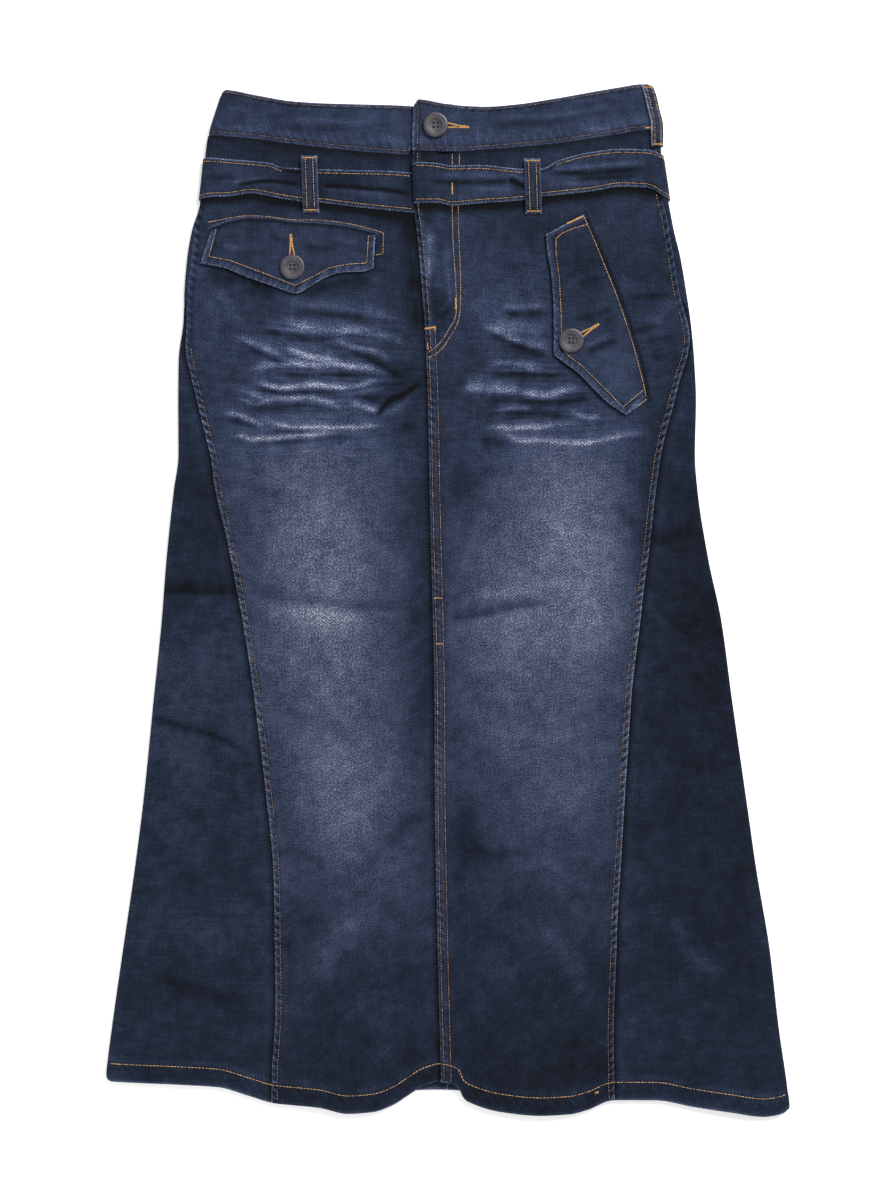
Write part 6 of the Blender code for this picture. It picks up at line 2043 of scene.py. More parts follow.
@dataclass
class Waistband(Strip):
    """The waistband, whose left end lies over its underlap and buttons there."""

    def edge(self, column: str, x: Grid, turn: Grid) -> Grid:
        """Level of its top or bottom edge."""
        left, right = WAIST[Side.LEFT], WAIST[Side.RIGHT]
        half = np.where(turn < BACK_MIDDLE, left.read(column, x), right.read(column, x))
        front = frontness(turn)
        return front * half + (1.0 - front) * waist_back(column, x)

    def end_turns(self, x: Grid, level: Grid) -> Grid:
        """Turns of the last columns, which end on the slanted fly edge."""
        slant = ease(-4.0, x[0, -1], x) * (centre_x(level) - x[0, -1])
        return self.tube.turn_front(x + slant, level)

    def rise(self, x: Grid, turn: Grid) -> Grid:
        """How far the overlap lies over the tube's face, until it has come down past the underlap's end."""
        down = ease(UNDERLAP_CLEAR, UNDERLAP_RUN, x - UNDERLAP_END)
        return (self.wall + SEAM_GAP) * self.on_left(turn) * (1.0 - down)

    def details(self, x: Grid, level: Grid, turn: Grid, inset: Grid) -> Grid:
        """Height of its rounded edges, stitch grooves and soft folds."""
        on_front = frontness(turn)
        edges = beside_edge(x, inset, EDGE_ROW, rim=-0.7, pucker=0.2, groove=0.3, groove_width=1.0)
        folds = on_front * np.maximum(gather(BAND_FOLDS, x, level), -FOLD_DEPTH)
        fly = x - centre_x(level)
        end = -0.6 * np.exp(-np.maximum(fly, 0.0) / 0.9) - 0.25 * hump(fly, FLY_EDGE_ROW, 1.0)
        return edges + folds + self.on_left(turn) * end

    def build(self) -> None:
        """Make its shell."""
        turn, level, inset = self.grid()
        x = self.tube.across(turn, level)
        rise = self.rise(x, turn)
        on_front = frontness(turn)
        fly = x - centre_x(level)
        bottom = level - self.edge("bottom", x, turn)
        phase = 2.0 * np.pi * (x + 0.5 * level) / 7.5 + 1.2 * np.sin(x / 19.0)
        puckers = np.cos(phase) * hump(bottom, 7.5, 4.5)
        wear_and_shade = beside_edge(x, inset, EDGE_ROW, rim=0.26, pucker=0.08, groove=0.16, rim_width=0.8)
        # The folds painted as light and shade, and puckers by the lower edge
        wear_and_shade = wear_and_shade + on_front * (0.19 * gather(BAND_FOLDS, x, level) + 0.06 * puckers)
        wear_and_shade = wear_and_shade + 0.05 * hump(bottom, 8.0, 8.0)
        edge = np.maximum(fly, 0.0)
        end = 0.34 * np.exp(-edge / 0.9) - 0.16 * hump(edge, FLY_EDGE_ROW, 0.9)
        wear_and_shade = wear_and_shade + self.on_left(turn) * end
        # Painted shadow on the underlap beside the overlapping left end
        wear_and_shade = wear_and_shade - (1.0 - self.on_left(turn)) * on_front * 0.2 * np.exp(-np.abs(fly) / 2.5)
        cloth = Cloth(
            outer=self.tube.place(turn, level, rise + self.details(x, level, turn, inset)),
            inner=self.tube.place(turn, level, rise - self.wall),
            grain=np.stack((turn * 370.0, level), axis=-1),
            wear_and_shade=wear_and_shade,
            edge=0.3,
            edge_bleach=0.1,
        )
        cloth.dress("waistband", Finish.BAND, "denim_band", FLAT["waistband"])

    def sew(self) -> None:
        """A row beside each edge, and one down the fly's end."""
        rows = Sewing(20)
        for column in ("top", "bottom"):
            turn, level = self.edge_path(column, EDGE_ROW - 0.8 if column == "top" else EDGE_ROW)
            x = self.tube.across(turn, level)
            shown = (turn < BACK_MIDDLE) | (x < centre_x(level) - 1.0) | (frontness(turn) < 0.99)
            turn, level, x = turn[shown], level[shown], x[shown]
            out = self.rise(x, turn) + self.details(x, level, turn, np.full_like(x, EDGE_ROW))
            rows.on(self.tube, turn, level, out, TOPSTITCH, tone=0.35)
        level = np.arange(*BAND_END_ROW, STITCH_STEP)
        x = centre_x(level) + FLY_EDGE_ROW
        turn = self.tube.turn_front(x, level) - 4.0
        rows.on(self.tube, turn, level, self.rise(x, turn) - 0.2, TOPSTITCH, tone=0.4)
        rows.piece("stitches_waistband", Finish.DULL, "denim_band")


@dataclass
class Belt(Strip):
    """The belt, caught at the fly's edge at both ends, which lies loose on the skirt all the way round."""

    def edge(self, column: str, x: Grid, turn: Grid) -> Grid:
        """Level of its top or bottom edge, straight across the back."""
        left, right = BELT_EDGES[Side.LEFT], BELT_EDGES[Side.RIGHT]
        half = np.where(turn < BACK_MIDDLE, left.read(column, x), right.read(column, x))
        at_right, at_left = right.values("x")[0], left.values("x")[-1]
        start, end = right.read(column, at_right), left.read(column, at_left)
        across = start + (end - start) * (x - at_right) / (at_left - at_right)
        front = frontness(turn)
        return front * half + (1.0 - front) * across

    def turns(self, level: Grid) -> Grid:
        """Turn of every point for its level, with both ends on the fly's edge."""
        turn = super().turns(level)
        edge = centre_x(level[:, :1])
        turn[:, :1] = self.tube.turn_front(edge - LAY_GAP, level[:, :1])
        turn[:, -1:] = self.tube.turn_front(centre_x(level[:, -1:]), level[:, -1:]) - 4.0
        return turn

    def base(self, x: Grid, level: Grid, turn: Grid) -> Grid:
        """How far its inside is over the tube's face: it lies on the lap at the fly."""
        return lap_top(x, level) * self.on_left(turn) + LAY_GAP

    def details(self, x: Grid, level: Grid, turn: Grid, inset: Grid) -> Grid:
        """Height of its rounded edges, stitch grooves and soft folds."""
        folds = frontness(turn) * np.maximum(gather(BELT_FOLDS, x, level), -FOLD_DEPTH)
        return beside_edge(x, inset, BELT_EDGE_ROW, rim=-0.35, pucker=0.2, groove=0.22) + folds

    def build(self) -> None:
        """Make its shell."""
        turn, level, inset = self.grid()
        x = self.tube.across(turn, level)
        base = self.base(x, level, turn)
        wear_and_shade = beside_edge(x, inset, BELT_EDGE_ROW, rim=0.44, pucker=0.1, groove=0.2, rim_width=0.7)
        # The folds painted as light and shade
        wear_and_shade = wear_and_shade + frontness(turn) * 0.24 * gather(BELT_FOLDS, x, level)
        cloth = Cloth(
            outer=self.tube.place(turn, level, base + self.wall + self.details(x, level, turn, inset)),
            inner=self.tube.place(turn, level, base),
            grain=np.stack((turn * 400.0, level), axis=-1),
            wear_and_shade=wear_and_shade,
            edge=0.25,
            edge_bleach=0.15,
        )
        below = ["front_panel_right_denim", "front_panel_left_denim"]
        cloth.dress("belt", Finish.TRIM, "denim_trim", FLAT["belt"], rests_on=below)

    def sew(self) -> None:
        """A row beside each edge."""
        rows = Sewing(21)
        for column in ("top", "bottom"):
            turn, level = self.edge_path(column, BELT_EDGE_ROW)
            x = self.tube.across(turn, level)
            out = self.base(x, level, turn) + self.wall
            out = out + self.details(x, level, turn, np.full_like(x, BELT_EDGE_ROW))
            tucked = np.zeros(len(x), bool)
            if column == "top":
                for start, end in BELT_TUCKS:
                    tucked |= (x > start) & (x < end) & (frontness(turn) > 0.99)
            shown = np.flatnonzero(~tucked)
            for run in np.split(shown, np.flatnonzero(np.diff(shown) > 1) + 1):
                rows.on(self.tube, turn[run], level[run], out[run], TOPSTITCH, tone=0.55)
        rows.piece("stitches_belt", Finish.TAN, "denim_trim")


@dataclass(frozen=True)
class FrontLoop:
    """Belt loop on the front: sewn down above and below the belt, and standing over it between.

    Attributes:
        side: Side of the skirt.
        x_top: Middle of its upper end.
        x_bottom: Middle of its lower end.
        top: Level of its upper end.
        bottom: Level of its lower end.
        rows: Number of rows.
        columns: Number of columns.
    """

    side: Side
    x_top: float
    x_bottom: float
    top: float
    bottom: float
    rows: int = 56
    columns: int = 15

    def middle(self, level: Grid) -> Grid:
        """Middle of the loop at each level."""
        return self.x_top + (self.x_bottom - self.x_top) * (self.top - level) / (self.top - self.bottom)

    def lift(self, level: Grid) -> Grid:
        """Height of its inside over the panel: down at both ends and over the belt between."""
        over = ease(0.8, 4.6, self.top - level) * ease(0.8, 4.6, level - self.bottom)
        return LAY_GAP + over * (BELT_WALL + LAY_GAP + 0.35)

    def surface(self, across: Grid, level: Grid) -> Grid:
        """Points of its outside, by distance from its middle line."""
        x = self.middle(level) + across
        inset = LOOP_WIDTH / 2.0 - np.abs(across)
        end = np.minimum(self.top - level, level - self.bottom)
        round_edges = -0.4 * np.exp(-np.maximum(inset, 0.0) / 0.8) - 0.4 * np.exp(-np.maximum(end, 0.0) / 0.7)
        grooves = -0.22 * hump(inset, LOOP_ROW, 0.8)
        height = SKIRT.face(x, level) + self.lift(level) + LOOP_WALL + round_edges + grooves
        return np.stack((x, level, height), axis=-1)

    def build(self) -> None:
        """Make its shell."""
        across = (eased_shares(self.columns) - 0.5)[None, :] * LOOP_WIDTH
        level = np.linspace(self.top, self.bottom, self.rows)[:, None]
        across, level = np.broadcast_arrays(across, level)
        outer = self.surface(across, level)
        inner = outer.copy()
        inner[..., 2] = SKIRT.face(outer[..., 0], level) + self.lift(level)
        inset = LOOP_WIDTH / 2.0 - np.abs(across)
        end = np.minimum(self.top - level, level - self.bottom)
        wear_and_shade = 0.38 * np.exp(-end / 1.4) + beside_edge(
            level, inset, LOOP_ROW, rim=0.28, pucker=0.1, groove=0.24, rim_width=0.7, groove_width=0.8,
        )
        cloth = Cloth(outer, inner, np.stack((across, level), axis=-1), wear_and_shade, edge=0.25, edge_bleach=0.15)
        node = f"belt_loop_front_{self.side.word}"
        cloth.dress(node, Finish.TRIM, "denim_trim", FLAT["loop"], rests_on=["belt_denim"])

    def sew(self, tan: Sewing, gold: Sewing) -> None:
        """Two rows down its length, and a bartack across each end.

        Args:
            tan: Gathers the topstitching.
            gold: Gathers the bartacks.
        """
        level = np.linspace(self.top - 2.6, self.bottom + 2.6, 60)
        for sign in (-1.0, 1.0):
            path = self.surface(np.full_like(level, sign * (LOOP_WIDTH / 2.0 - LOOP_ROW)), level)
            tan.row(path + (0.0, 0.0, 0.1), upright(path), TOPSTITCH, tone=0.6)
        across = np.linspace(-5.4, 5.4, 16)
        for end in (self.top - 1.7, self.bottom + 1.7):
            path = self.surface(across, np.full_like(across, end))
            gold.row(path + (0.0, 0.0, 0.15), upright(path), SATIN, across=1.5, tone=0.35)


def upright(path: Grid) -> Grid:
    """Straight up at every point of a path."""
    return np.broadcast_to(np.array((0.0, 0.0, 1.0)), path.shape)


@dataclass(frozen=True)
class SideLoop:
    """Loop on the waistband at the left side fold, sewn on at top and bottom.

    Attributes:
        top: Level of its upper end.
        bottom: Level of its lower end.
        front: Distance of its front edge from the fold, round the cloth.
        behind: Distance of its back edge.
        stand_off: How far it stands off the band between its ends.
        rows: Number of rows.
        columns: Number of columns.
    """

    top: float = 427.4
    bottom: float = 376.8
    front: float = 9.5
    behind: float = -1.6
    stand_off: float = 0.7
    rows: int = 52
    columns: int = 14

    ROW = 2.4

    def lift(self, level: Grid) -> Grid:
        """Height of its inside over the band."""
        over = ease(0.0, 9.0, self.top - level) * ease(0.0, 9.0, level - self.bottom)
        return LAY_GAP + self.stand_off * over + 0.3 * ease(396.0, 386.0, level)

    def surface(self, distance: Grid, level: Grid) -> Grid:
        """Points of its outside."""
        inset = np.minimum(self.front - distance, distance - self.behind)
        height = self.lift(level) + LOOP_WALL - 0.4 * np.exp(-inset / 0.8) - 0.2 * hump(inset, self.ROW, 0.8)
        return BAND.place(BAND.turn_round(Side.LEFT, distance, level), level, height)

    def build(self) -> None:
        """Make its shell."""
        distance = spread(self.front, self.behind, eased_shares(self.columns))[None, :]
        level = np.linspace(self.top, self.bottom, self.rows)[:, None]
        distance, level = np.broadcast_arrays(distance, level)
        inset = np.minimum(self.front - distance, distance - self.behind)
        turn = BAND.turn_round(Side.LEFT, distance, level)
        wear_and_shade = beside_edge(
            level, inset, self.ROW, rim=0.46, pucker=0.1, groove=0.2, rim_width=0.7, groove_width=0.8,
        )
        cloth = Cloth(
            outer=self.surface(distance, level),
            inner=BAND.place(turn, level, self.lift(level)),
            grain=np.stack((distance, level), axis=-1),
            wear_and_shade=wear_and_shade + 0.3 * hump(distance, self.front - 0.8, 0.9),
            edge=0.25,
            edge_bleach=0.15,
        )
        node = "belt_loop_side_left"
        cloth.dress(node, Finish.TRIM, "denim_trim", FLAT["loop"], rests_on=["waistband_denim"])

    def sew(self, tan: Sewing, gold: Sewing) -> None:
        """Two rows down its length, and a bartack across each end.

        Args:
            tan: Gathers the topstitching.
            gold: Gathers the bartacks.
        """
        level = np.linspace(self.top - 2.0, self.bottom + 2.0, 60)
        for distance, tone in ((self.front - 2.8, 0.22), (self.front - 6.4, 0.12)):
            path = self.surface(np.full_like(level, distance), level)
            out = BAND.normal(BAND.turn_round(Side.LEFT, np.full_like(level, distance), level), level)
            tan.row(path + 0.1 * out, out, TWIST, across=1.5, tone=tone)
        distance = np.linspace(self.front - 0.8, self.behind + 0.8, 16)
        for end in (self.top - 1.6, self.bottom + 1.6):
            level = np.full_like(distance, end)
            out = BAND.normal(BAND.turn_round(Side.LEFT, distance, level), level)
            gold.row(self.surface(distance, level) + 0.15 * out, out, SATIN, across=1.5, tone=0.3)


# Soft folds of the flaps, painted into the colour only: painted shade in their troughs and painted highlight
# on their ridges
FLAP_FOLDS = (
    Stroke(((-150, 304), (-140, 300), (-131, 298)), -0.14, 2.0, 3.0),
    Stroke(((-122, 296), (-105, 292), (-90, 294)), -0.12, 2.0, 3.0),
    Stroke(((-190, 297), (-178, 293), (-165, 294)), 0.12, 2.4, 2.4),
    Stroke(((-100, 303), (-85, 298), (-74, 297)), 0.1, 2.4, 2.4),
    Stroke(((101, 233), (118, 236), (128, 240), (138, 245)), -0.16, 2.0, 3.4),
    Stroke(((112, 205), (128, 212), (141, 217)), -0.18, 2.0, 3.0),
    Stroke(((112, 210), (128, 217), (138, 222)), 0.12, 2.4, 2.0),
    Stroke(((104, 262), (118, 266), (128, 272)), -0.12, 2.4, 3.0),
    Patch(112, 282, 26, 34, -0.12), Patch(134, 191, 26, 30, 0.05),
)


@dataclass(frozen=True)
class PocketFlap:
    """Pointed pocket flap between its sewn and its free edge, lying on the front and a little proud of it.

    Attributes:
        side: Side of the skirt.
        columns: Number of stations along it.
        rows: Number of rows from the sewn edge to the free edge.
        row_inset: Distance of its stitch row from the free edges.
    """

    side: Side
    columns: int = 100
    rows: int = 34
    row_inset: float = 5.6

    def corners(self, station: Grid) -> tuple[Grid, Grid]:
        """Places (x, level) on the sewn edge and on the free edge at each station."""
        table = FLAP_EDGES[self.side]
        sewn = np.stack((table.read("sewn_x", station), table.read("sewn_level", station)), axis=-1)
        free = np.stack((table.read("free_x", station), table.read("free_level", station)), axis=-1)
        return sewn, free

    def sewn_edge(self) -> Grid:
        """Its sewn edge as a line, from one end to the other."""
        return self.corners(np.linspace(0.0, len(FLAP_EDGES[self.side].rows) - 1.0, 32))[0]

    def free_outline(self) -> Grid:
        """Its three free edges as one line, from one end of the sewn edge to the other."""
        last = len(FLAP_EDGES[self.side].rows) - 1.0
        sewn, free = self.corners(np.linspace(0.0, last, 64))
        return np.concatenate((sewn[:1], free, sewn[-1:]))

    def top(self, x: Grid, level: Grid) -> Grid:
        """Height of its outside over the panel: rounded, grooved edges that lift a little."""
        inset, _, _ = nearest(self.free_outline(), x, level)
        edges = beside_edge(
            x - level, inset, self.row_inset, rim=-0.6, pucker=0.12, groove=0.28, rim_width=1.0,
        )
        return self.lift(x, level) + FLAP_WALL + edges

    def lift(self, x: Grid, level: Grid) -> Grid:
        """Height of its inside over the panel: close at the sewn edge, and more at the free one."""
        away, _, _ = nearest(self.sewn_edge(), x, level)
        return LAY_GAP + 1.3 * ease(4.0, 40.0, away)

    def build(self) -> None:
        """Make its shell."""
        last = len(FLAP_EDGES[self.side].rows) - 1.0
        even = np.linspace(0.0, 1.0, self.columns)
        sewn, free = self.corners(last * (0.6 * even + 0.4 * eased_shares(self.columns)))
        place = spread(sewn[None], free[None], eased_shares(self.rows)[:, None, None])
        x, level = place[..., 0], place[..., 1]
        inset, _, _ = nearest(self.free_outline(), x, level)
        face = SKIRT.face(x, level)
        sewn_away, _, _ = nearest(sewn, x, level)
        wear_and_shade = beside_edge(
            x - level, inset, self.row_inset, rim=0.44, pucker=0.14, groove=0.16, rim_width=0.8,
        )
        wear_and_shade += 0.05 * hump(inset, 3.0, 3.0) + gather(FLAP_FOLDS, x, level)
        # Painted shadow of the pocket's fold along the flap's sewn edge
        wear_and_shade -= 0.34 * np.exp(-sewn_away / 1.2)
        cloth = Cloth(
            outer=np.stack((x, level, face + self.top(x, level)), axis=-1),
            inner=np.stack((x, level, face + self.lift(x, level)), axis=-1),
            grain=place,
            wear_and_shade=wear_and_shade,
            edge=0.3,
            edge_bleach=0.15,
        )
        below = [f"front_panel_{self.side.word}_denim"]
        cloth.dress(f"flap_{self.side.word}", Finish.TRIM, "denim_trim", FLAT["flap"], rests_on=below)


@dataclass(frozen=True)
class Button:
    """Four-hole button with a raised rim, turned on the place that the frame gives it.

    Attributes:
        node: Its node in the frame.
        steps: Number of steps round it.
        hole_radius: Radius of its thread holes.
        hole_offset: How far the holes are off its middle, both ways.
    """

    node: str
    steps: int = 64
    hole_radius: float = 1.1
    hole_offset: float = 1.72

    PROFILE = (
        # radius, height
        (0.0, 0.0), (8.6, 0.0), (9.6, 0.35), (10.15, 0.9), (10.4, 1.7), (10.25, 2.35), (9.8, 2.82),
        (9.1, 3.06), (8.3, 3.1), (7.3, 2.98), (6.2, 2.82), (5.5, 2.78), (5.15, 2.66), (4.9, 2.1), (4.5, 1.74),
        (3.4, 1.6), (0.0, 1.55),
    )
    SHARP = 32.0
    HOLE_STEPS = 20
    THREAD_LEVEL = 0.75
    THREAD_LENGTH = 1.7
    THREAD_RADIUS = 0.72

    def centre(self) -> Grid:
        """Middle of its underside, in millimetres."""
        low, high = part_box(self.node)
        return np.array(((low.x + high.x) / 2.0, (low.y + high.y) / 2.0, low.z)) / MM

    def holes(self) -> Grid:
        """Middles of its thread holes."""
        signs = np.array(((-1.0, -1.0), (1.0, -1.0), (1.0, 1.0), (-1.0, 1.0)))
        return np.concatenate((signs * self.hole_offset, np.zeros((4, 1))), axis=1) + self.centre()

    def disc(self) -> bpy.types.Mesh:
        """The profile turned about its axis: radius times the cosine and sine of the angle, and height."""
        profile = np.array(self.PROFILE)
        turn = 2.0 * np.pi * np.arange(self.steps) / self.steps
        radius, height = profile[1:-1, :1], profile[1:-1, 1:]
        rings = np.stack((
            radius * np.cos(turn), radius * np.sin(turn), np.repeat(height, self.steps, axis=1),
        ), axis=-1)
        ends = np.array(((0.0, 0.0, profile[0, 1]), (0.0, 0.0, profile[-1, 1])))
        points = np.concatenate((ends[:1], rings.reshape(-1, 3), ends[1:])) + self.centre()
        triangles = ring_triangles(len(rings), self.steps)
        return mesh_from(self.node + "_disc", points, triangles, {}, self.SHARP)

    def build(self) -> None:
        """Turn the disc, cut its four holes through it, and finish it."""
        cutters = bmesh.new()
        for x, y, z in self.holes() * MM:
            made = bmesh.ops.create_cone(
                cutters, cap_ends=True, segments=self.HOLE_STEPS, depth=0.02,
                radius1=self.hole_radius * MM, radius2=self.hole_radius * MM,
            )
            bmesh.ops.translate(cutters, verts=made["verts"], vec=(x, y, z))
        cutter_mesh = bpy.data.meshes.new(self.node + "_holes")
        cutters.to_mesh(cutter_mesh)
        cutters.free()
        blank = bpy.data.objects.new(self.node + "_blank", self.disc())
        cutter = bpy.data.objects.new(self.node + "_cutter", cutter_mesh)
        for thing in (blank, cutter):
            bpy.context.scene.collection.objects.link(thing)
        cut = blank.modifiers.new("holes", "BOOLEAN")
        cut.operation, cut.solver, cut.object = "DIFFERENCE", "EXACT", cutter
        bpy.context.view_layer.update()
        finished = bpy.data.meshes.new_from_object(blank.evaluated_get(bpy.context.evaluated_depsgraph_get()))
        for thing in (blank, cutter):
            bpy.data.objects.remove(thing)
        finished.materials.clear()
        finished.shade_smooth()
        finished.set_sharp_from_angle(angle=math.radians(self.SHARP))
        piece = add_piece(self.node + "_resin", finished, Finish.RESIN)
        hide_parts(self.node)

    def sew(self, dark: Sewing) -> None:
        """Dark thread that fills its holes, just below the dish."""
        centre = self.holes() + (0.0, 0.0, self.THREAD_LEVEL)
        up = np.tile((0.0, 0.0, 1.0), (4, 1))
        aside = np.tile((1.0, 0.0, 0.0), (4, 1))
        dark.lay(centre, up, aside, np.full(4, self.THREAD_LENGTH), self.THREAD_RADIUS, np.full(4, 0.3))


class Surface(Enum):
    """What a bartack, a buttonhole or a loose row is sewn on."""

    PANEL = "panel"
    BELT = "belt"
    BAND = "band"
    FLAP_RIGHT = "flap right"
    FLAP_LEFT = "flap left"

    def path(self, x: Grid, level: Grid) -> Grid:
        """Points on top of it.

        Args:
            x: Places across.
            level: Places up.

        Returns:
            The points, with their heights.
        """
        if self is Surface.BAND:
            on_overlap = ease(UNDERLAP_END + UNDERLAP_RUN, UNDERLAP_END + UNDERLAP_CLEAR, x)
            on_overlap = on_overlap * (x > centre_x(level))
            height = BAND.face(x, level) + (BAND_WALL + SEAM_GAP) * on_overlap
        else:
            height = SKIRT.face(x, level) + lap_top(x, level) * (x > centre_x(level))
            if self is Surface.BELT:
                height = height + LAY_GAP + BELT_WALL
            if self in (Surface.FLAP_RIGHT, Surface.FLAP_LEFT):
                flap = PocketFlap(Side.RIGHT if self is Surface.FLAP_RIGHT else Side.LEFT)
                height = SKIRT.face(x, level) + flap.top(x, level)
        return np.stack((x, level, height), axis=-1)


@dataclass(frozen=True)
class Buttonhole:
    """Sewn buttonhole: two satin edges that part at the button, a dark line of painted shade in the slit
    between, and a bar at its end.

    Attributes:
        surface: What it is cut in.
        start: Its end beneath the button (x, level).
        end: Its far end.
        opening: Half the distance between its edges at the button.
        closing: The same at the far end.
        wide: Length of the satin stitches.
    """

    surface: Surface
    start: tuple[float, float]
    end: tuple[float, float]
    opening: float = 2.0
    closing: float = 0.55
    wide: float = 1.4

    def sew(self, gold: Sewing, dark: Sewing) -> None:
        """Sew it.

        Args:
            gold: Gathers the satin stitches.
            dark: Gathers the dark line of painted shade in the slit.
        """
        start, end = np.array(self.start), np.array(self.end)
        ahead = (end - start) / np.linalg.norm(end - start)
        aside = np.array((-ahead[1], ahead[0]))
        share = np.linspace(0.0, 1.0, 24)[:, None]
        apart = self.opening + (self.closing - self.opening) * ease(0.0, 0.8, share)
        for sign in (-1.0, 1.0):
            line = start + (end - ahead * 1.2 - start) * share + sign * apart * aside
            path = self.surface.path(line[:, 0], line[:, 1]) + (0.0, 0.0, 0.12)
            gold.row(path, upright(path), SATIN, across=self.wide, tone=0.6)
        bar = end + aside * np.linspace(-1.0, 1.0, 8)[:, None]
        path = self.surface.path(bar[:, 0], bar[:, 1]) + (0.0, 0.0, 0.2)
        gold.row(path, upright(path), SATIN, across=2.2, tone=0.65)
        # The slit is three long dark capsules just below the surface, as painted shade in the opening
        middle = start + (end - start) * np.array((0.25, 0.5, 0.72))[:, None]
        centre = self.surface.path(middle[:, 0], middle[:, 1]) - (0.0, 0.0, 0.1)
        along = np.tile((*ahead, 0.0), (3, 1))
        dark.lay(centre, along, upright(centre), np.full(3, 6.5), 0.45, np.full(3, 0.2))


@dataclass(frozen=True)
class Bartack:
    """Short dense bar of thread.

    Attributes:
        surface: What it is sewn on.
        start: One end (x, level).
        end: The other end.
        wide: Length of the stitches across it.
    """

    surface: Surface
    start: tuple[float, float]
    end: tuple[float, float]
    wide: float = 1.7

    def sew(self, gold: Sewing) -> None:
        """Sew it: satin stitches across its line."""
        x, level = drawn((self.start, self.end), 0.4, rounded=False)
        path = self.surface.path(x, level) + (0.0, 0.0, 0.15)
        gold.row(path, upright(path), SATIN, across=self.wide, tone=0.6)


@dataclass(frozen=True)
class LooseRow:
    """Topstitching along a line drawn on a piece.

    Attributes:
        surface: What it is sewn on.
        points: Places (x, level) that it runs through.
        rounded: Whether it runs in a smooth curve.
    """

    surface: Surface
    points: tuple[tuple[float, float], ...]
    rounded: bool = True

    def sew(self, thread: Sewing, tone: float = 0.6) -> None:
        """Sew it in the given thread."""
        x, level = drawn(self.points, rounded=self.rounded)
        path = self.surface.path(x, level) + (0.0, 0.0, 0.1)
        thread.row(path, upright(path), TOPSTITCH, tone=tone)


TAN_ROWS = (
    LooseRow(Surface.PANEL, POCKET_ROW),
    LooseRow(Surface.FLAP_RIGHT, (
        (-193, 308), (-199, 285.5), (-181, 282), (-153, 271.5), (-127.5, 261.5), (-115, 267.5), (-99, 276),
        (-84, 279), (-68, 280), (-66.5, 303),
    ), False),
    LooseRow(Surface.FLAP_LEFT, (
        (115, 312), (104, 309), (94, 304.5), (89, 300), (89, 289), (91.8, 268), (93.4, 238), (93.6, 210.5),
        (99.5, 203), (111, 194.5), (124, 181.5), (134.6, 171), (144, 161),
    ), False),
    LooseRow(Surface.FLAP_LEFT, ((144.5, 160.5), (161.5, 174.5)), False),
    LooseRow(Surface.FLAP_LEFT, (
        (112.5, 318), (118.8, 304), (125.5, 288), (139.5, 253), (152, 216), (161, 183), (164, 169),
    )),
)
GOLD_ROWS = (
    LooseRow(Surface.PANEL, POCKET_END, False),
    LooseRow(Surface.FLAP_LEFT, ((158, 162.5), (164.5, 167.5)), False),
    LooseRow(Surface.PANEL, ((-207, 183), (-204, 166), (-198.5, 148)), False),
)
BARTACKS = (
    Bartack(Surface.PANEL, (-20, 225.5), (-10.5, 227)),
    Bartack(Surface.PANEL, (-11, 226), (-11.6, 223.4), 1.2),
    Bartack(Surface.PANEL, (121.5, -408.8), (124.5, -408.0), 1.8),
    Bartack(Surface.BAND, (163, 392.2), (168, 392.6), 1.4),
    Bartack(Surface.PANEL, (6, 251.5), (6, 242)),
    Bartack(Surface.PANEL, (-17.6, 214), (-17.0, 208), 1.0),
    Bartack(Surface.BELT, (3, 346.5), (3, 337), 1.2),
    Bartack(Surface.FLAP_LEFT, (98, 312.6), (112.2, 319), 1.5),
    Bartack(Surface.PANEL, (-12.5, 2), (-5.5, 2), 0.9),
    Bartack(Surface.PANEL, (-10.5, -36), (-4, -36), 0.9),
)
BUTTONHOLES = (
    Buttonhole(Surface.BAND, (-4.0, 394.2), (16.0, 393.0)),
    Buttonhole(Surface.FLAP_RIGHT, (-129.8, 284.0), (-131.0, 303.0)),
    Buttonhole(Surface.FLAP_LEFT, (108.0, 219.0), (124.0, 229.0)),
)


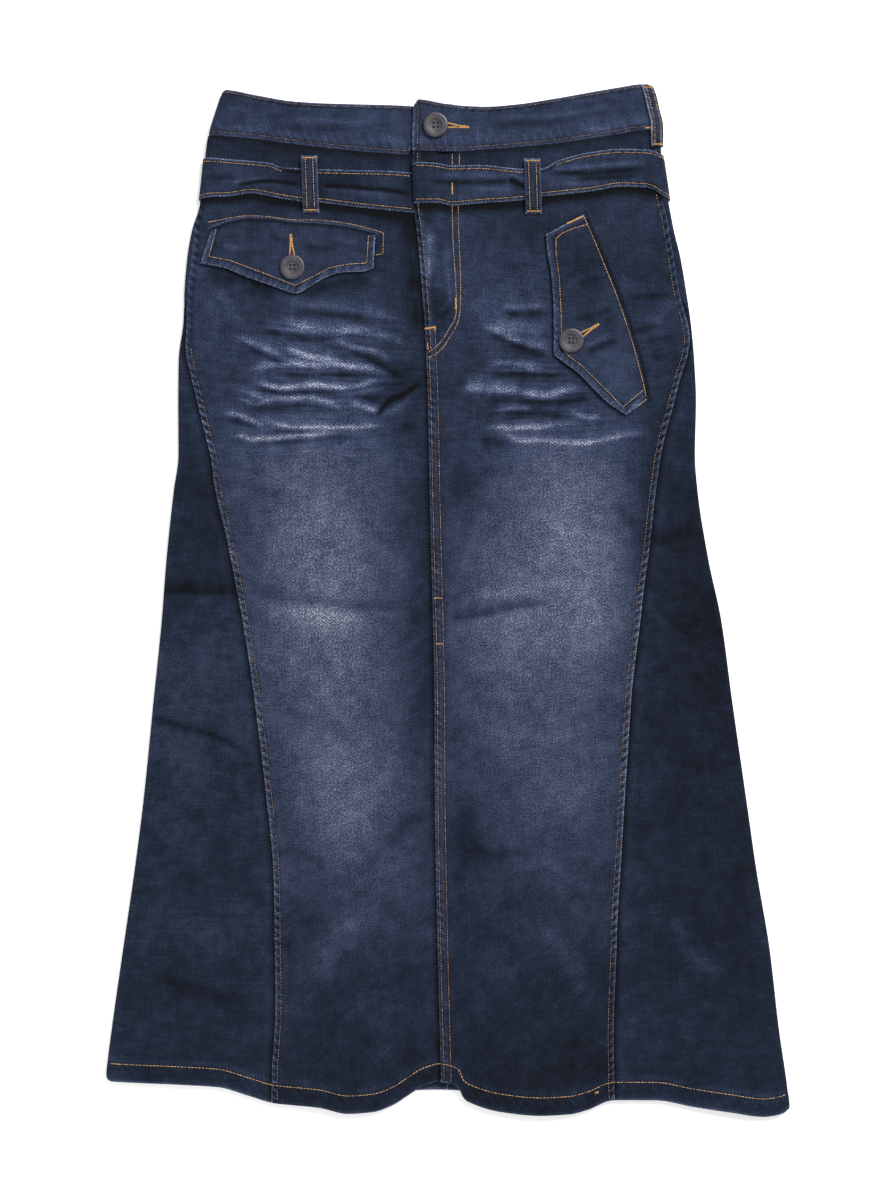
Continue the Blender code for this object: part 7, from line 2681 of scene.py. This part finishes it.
@dataclass(frozen=True)
class Studio:
    """White floor, soft light from the waist's left-hand side, and a camera straight above.

    Attributes:
        photo_height: Pixels of the picture from top to bottom.
        pixel: Millimetres that one pixel covers on the skirt.
        middle: Place on the table under the picture's middle, in millimetres.
        lens: Focal length in millimetres.
        sensor: Size of the sensor's long side.
        plane: Height over the table, in metres, at which the picture has its scale.
    """

    photo_height: float = 1200.0
    pixel: float = 0.83
    middle: tuple[float, float] = (-0.498, 0.415)
    lens: float = 85.0
    sensor: float = 36.0
    plane: float = 0.006

    def floor(self) -> None:
        """Plain floor just under the skirt."""
        half, drop = 3.0, -0.0004
        mesh = bpy.data.meshes.new("floor")
        corners = [(-half, -half, drop), (half, -half, drop), (half, half, drop), (-half, half, drop)]
        mesh.from_pydata(corners, [], [(0, 1, 2, 3)])
        mesh.materials.append(Paper("white_floor").material())
        floor = bpy.data.objects.new("floor", mesh)
        bpy.context.scene.collection.objects.link(floor)

    def lights(self) -> None:
        """White surroundings, a large soft lamp high at the upper right, and a weaker one opposite."""
        world = bpy.data.worlds.new("studio")
        world.use_nodes = True
        world.node_tree.nodes["Background"].inputs["Color"].default_value = (1.0, 1.0, 1.0, 1.0)
        world.node_tree.nodes["Background"].inputs["Strength"].default_value = 0.5
        bpy.context.scene.world = world
        for name, place, size, power in (
            ("key", (2.0, 2.6, 2.8), 1.6, 290.0),
            ("fill", (-1.1, -1.2, 1.5), 1.4, 20.0),
        ):
            lamp = bpy.data.lights.new(name, "AREA")
            lamp.size, lamp.energy = size, power
            thing = bpy.data.objects.new(name, lamp)
            thing.location = place
            towards = -thing.location
            thing.rotation_euler = towards.to_track_quat("-Z", "Y").to_euler()
            bpy.context.scene.collection.objects.link(thing)

    def camera(self) -> None:
        """Camera straight above, so far off that the picture's height covers its share of the table."""
        data = bpy.data.cameras.new("camera")
        data.lens, data.sensor_width = self.lens, self.sensor
        data.clip_start, data.clip_end = 0.05, 50.0
        camera = bpy.data.objects.new("camera", data)
        distance = self.photo_height * self.pixel * MM * self.lens / self.sensor
        camera.location = (self.middle[0] * MM, self.middle[1] * MM, distance + self.plane)
        bpy.context.scene.collection.objects.link(camera)
        bpy.context.scene.camera = camera


def main() -> None:
    """Build every piece in order, then the studio."""
    for side in Side:
        for panel in (FrontPanel(side), BackPanel(side)):
            panel.build()
            panel.sew()
        SideGore(side).build()
    HemRow().sew()
    waistband = Waistband(BAND, BAND_WALL, *BAND_COLUMNS, BAND_ROWS)
    waistband.build()
    waistband.sew()
    belt = Belt(SKIRT, BELT_WALL, *BELT_COLUMNS, BELT_ROWS)
    belt.build()
    belt.sew()

    tan, gold, dark = Sewing(30), Sewing(31), Sewing(32)
    loops = (
        FrontLoop(Side.RIGHT, -115.9, -114.2, 369.0, 322.4),
        FrontLoop(Side.LEFT, 69.3, 70.7, 366.6, 321.4),
        SideLoop(),
    )
    for loop in loops:
        loop.build()
        loop.sew(tan, gold)
    for side in Side:
        PocketFlap(side).build()
    for node in ("button_waist", "button_flap_right", "button_flap_left"):
        button = Button(node)
        button.build()
        button.sew(dark)
    for row in TAN_ROWS:
        row.sew(tan)
    for row in GOLD_ROWS:
        row.sew(gold, 0.7)
    for bartack in BARTACKS:
        bartack.sew(gold)
    for hole in BUTTONHOLES:
        hole.sew(gold, dark)
    tan.piece("stitches_trim", Finish.TAN, "denim_trim")
    gold.piece("bartacks_and_buttonholes", Finish.GOLD, "denim_trim")
    # Button threads, and the buttonholes' dark lines of painted shade
    dark.piece("button_threads_and_slit_shade", Finish.DARK, "button")

    studio = Studio()
    studio.floor()
    studio.lights()
    studio.camera()
    bpy.context.scene.view_settings.view_transform = "Standard"


if __name__ == "__main__":
    main()
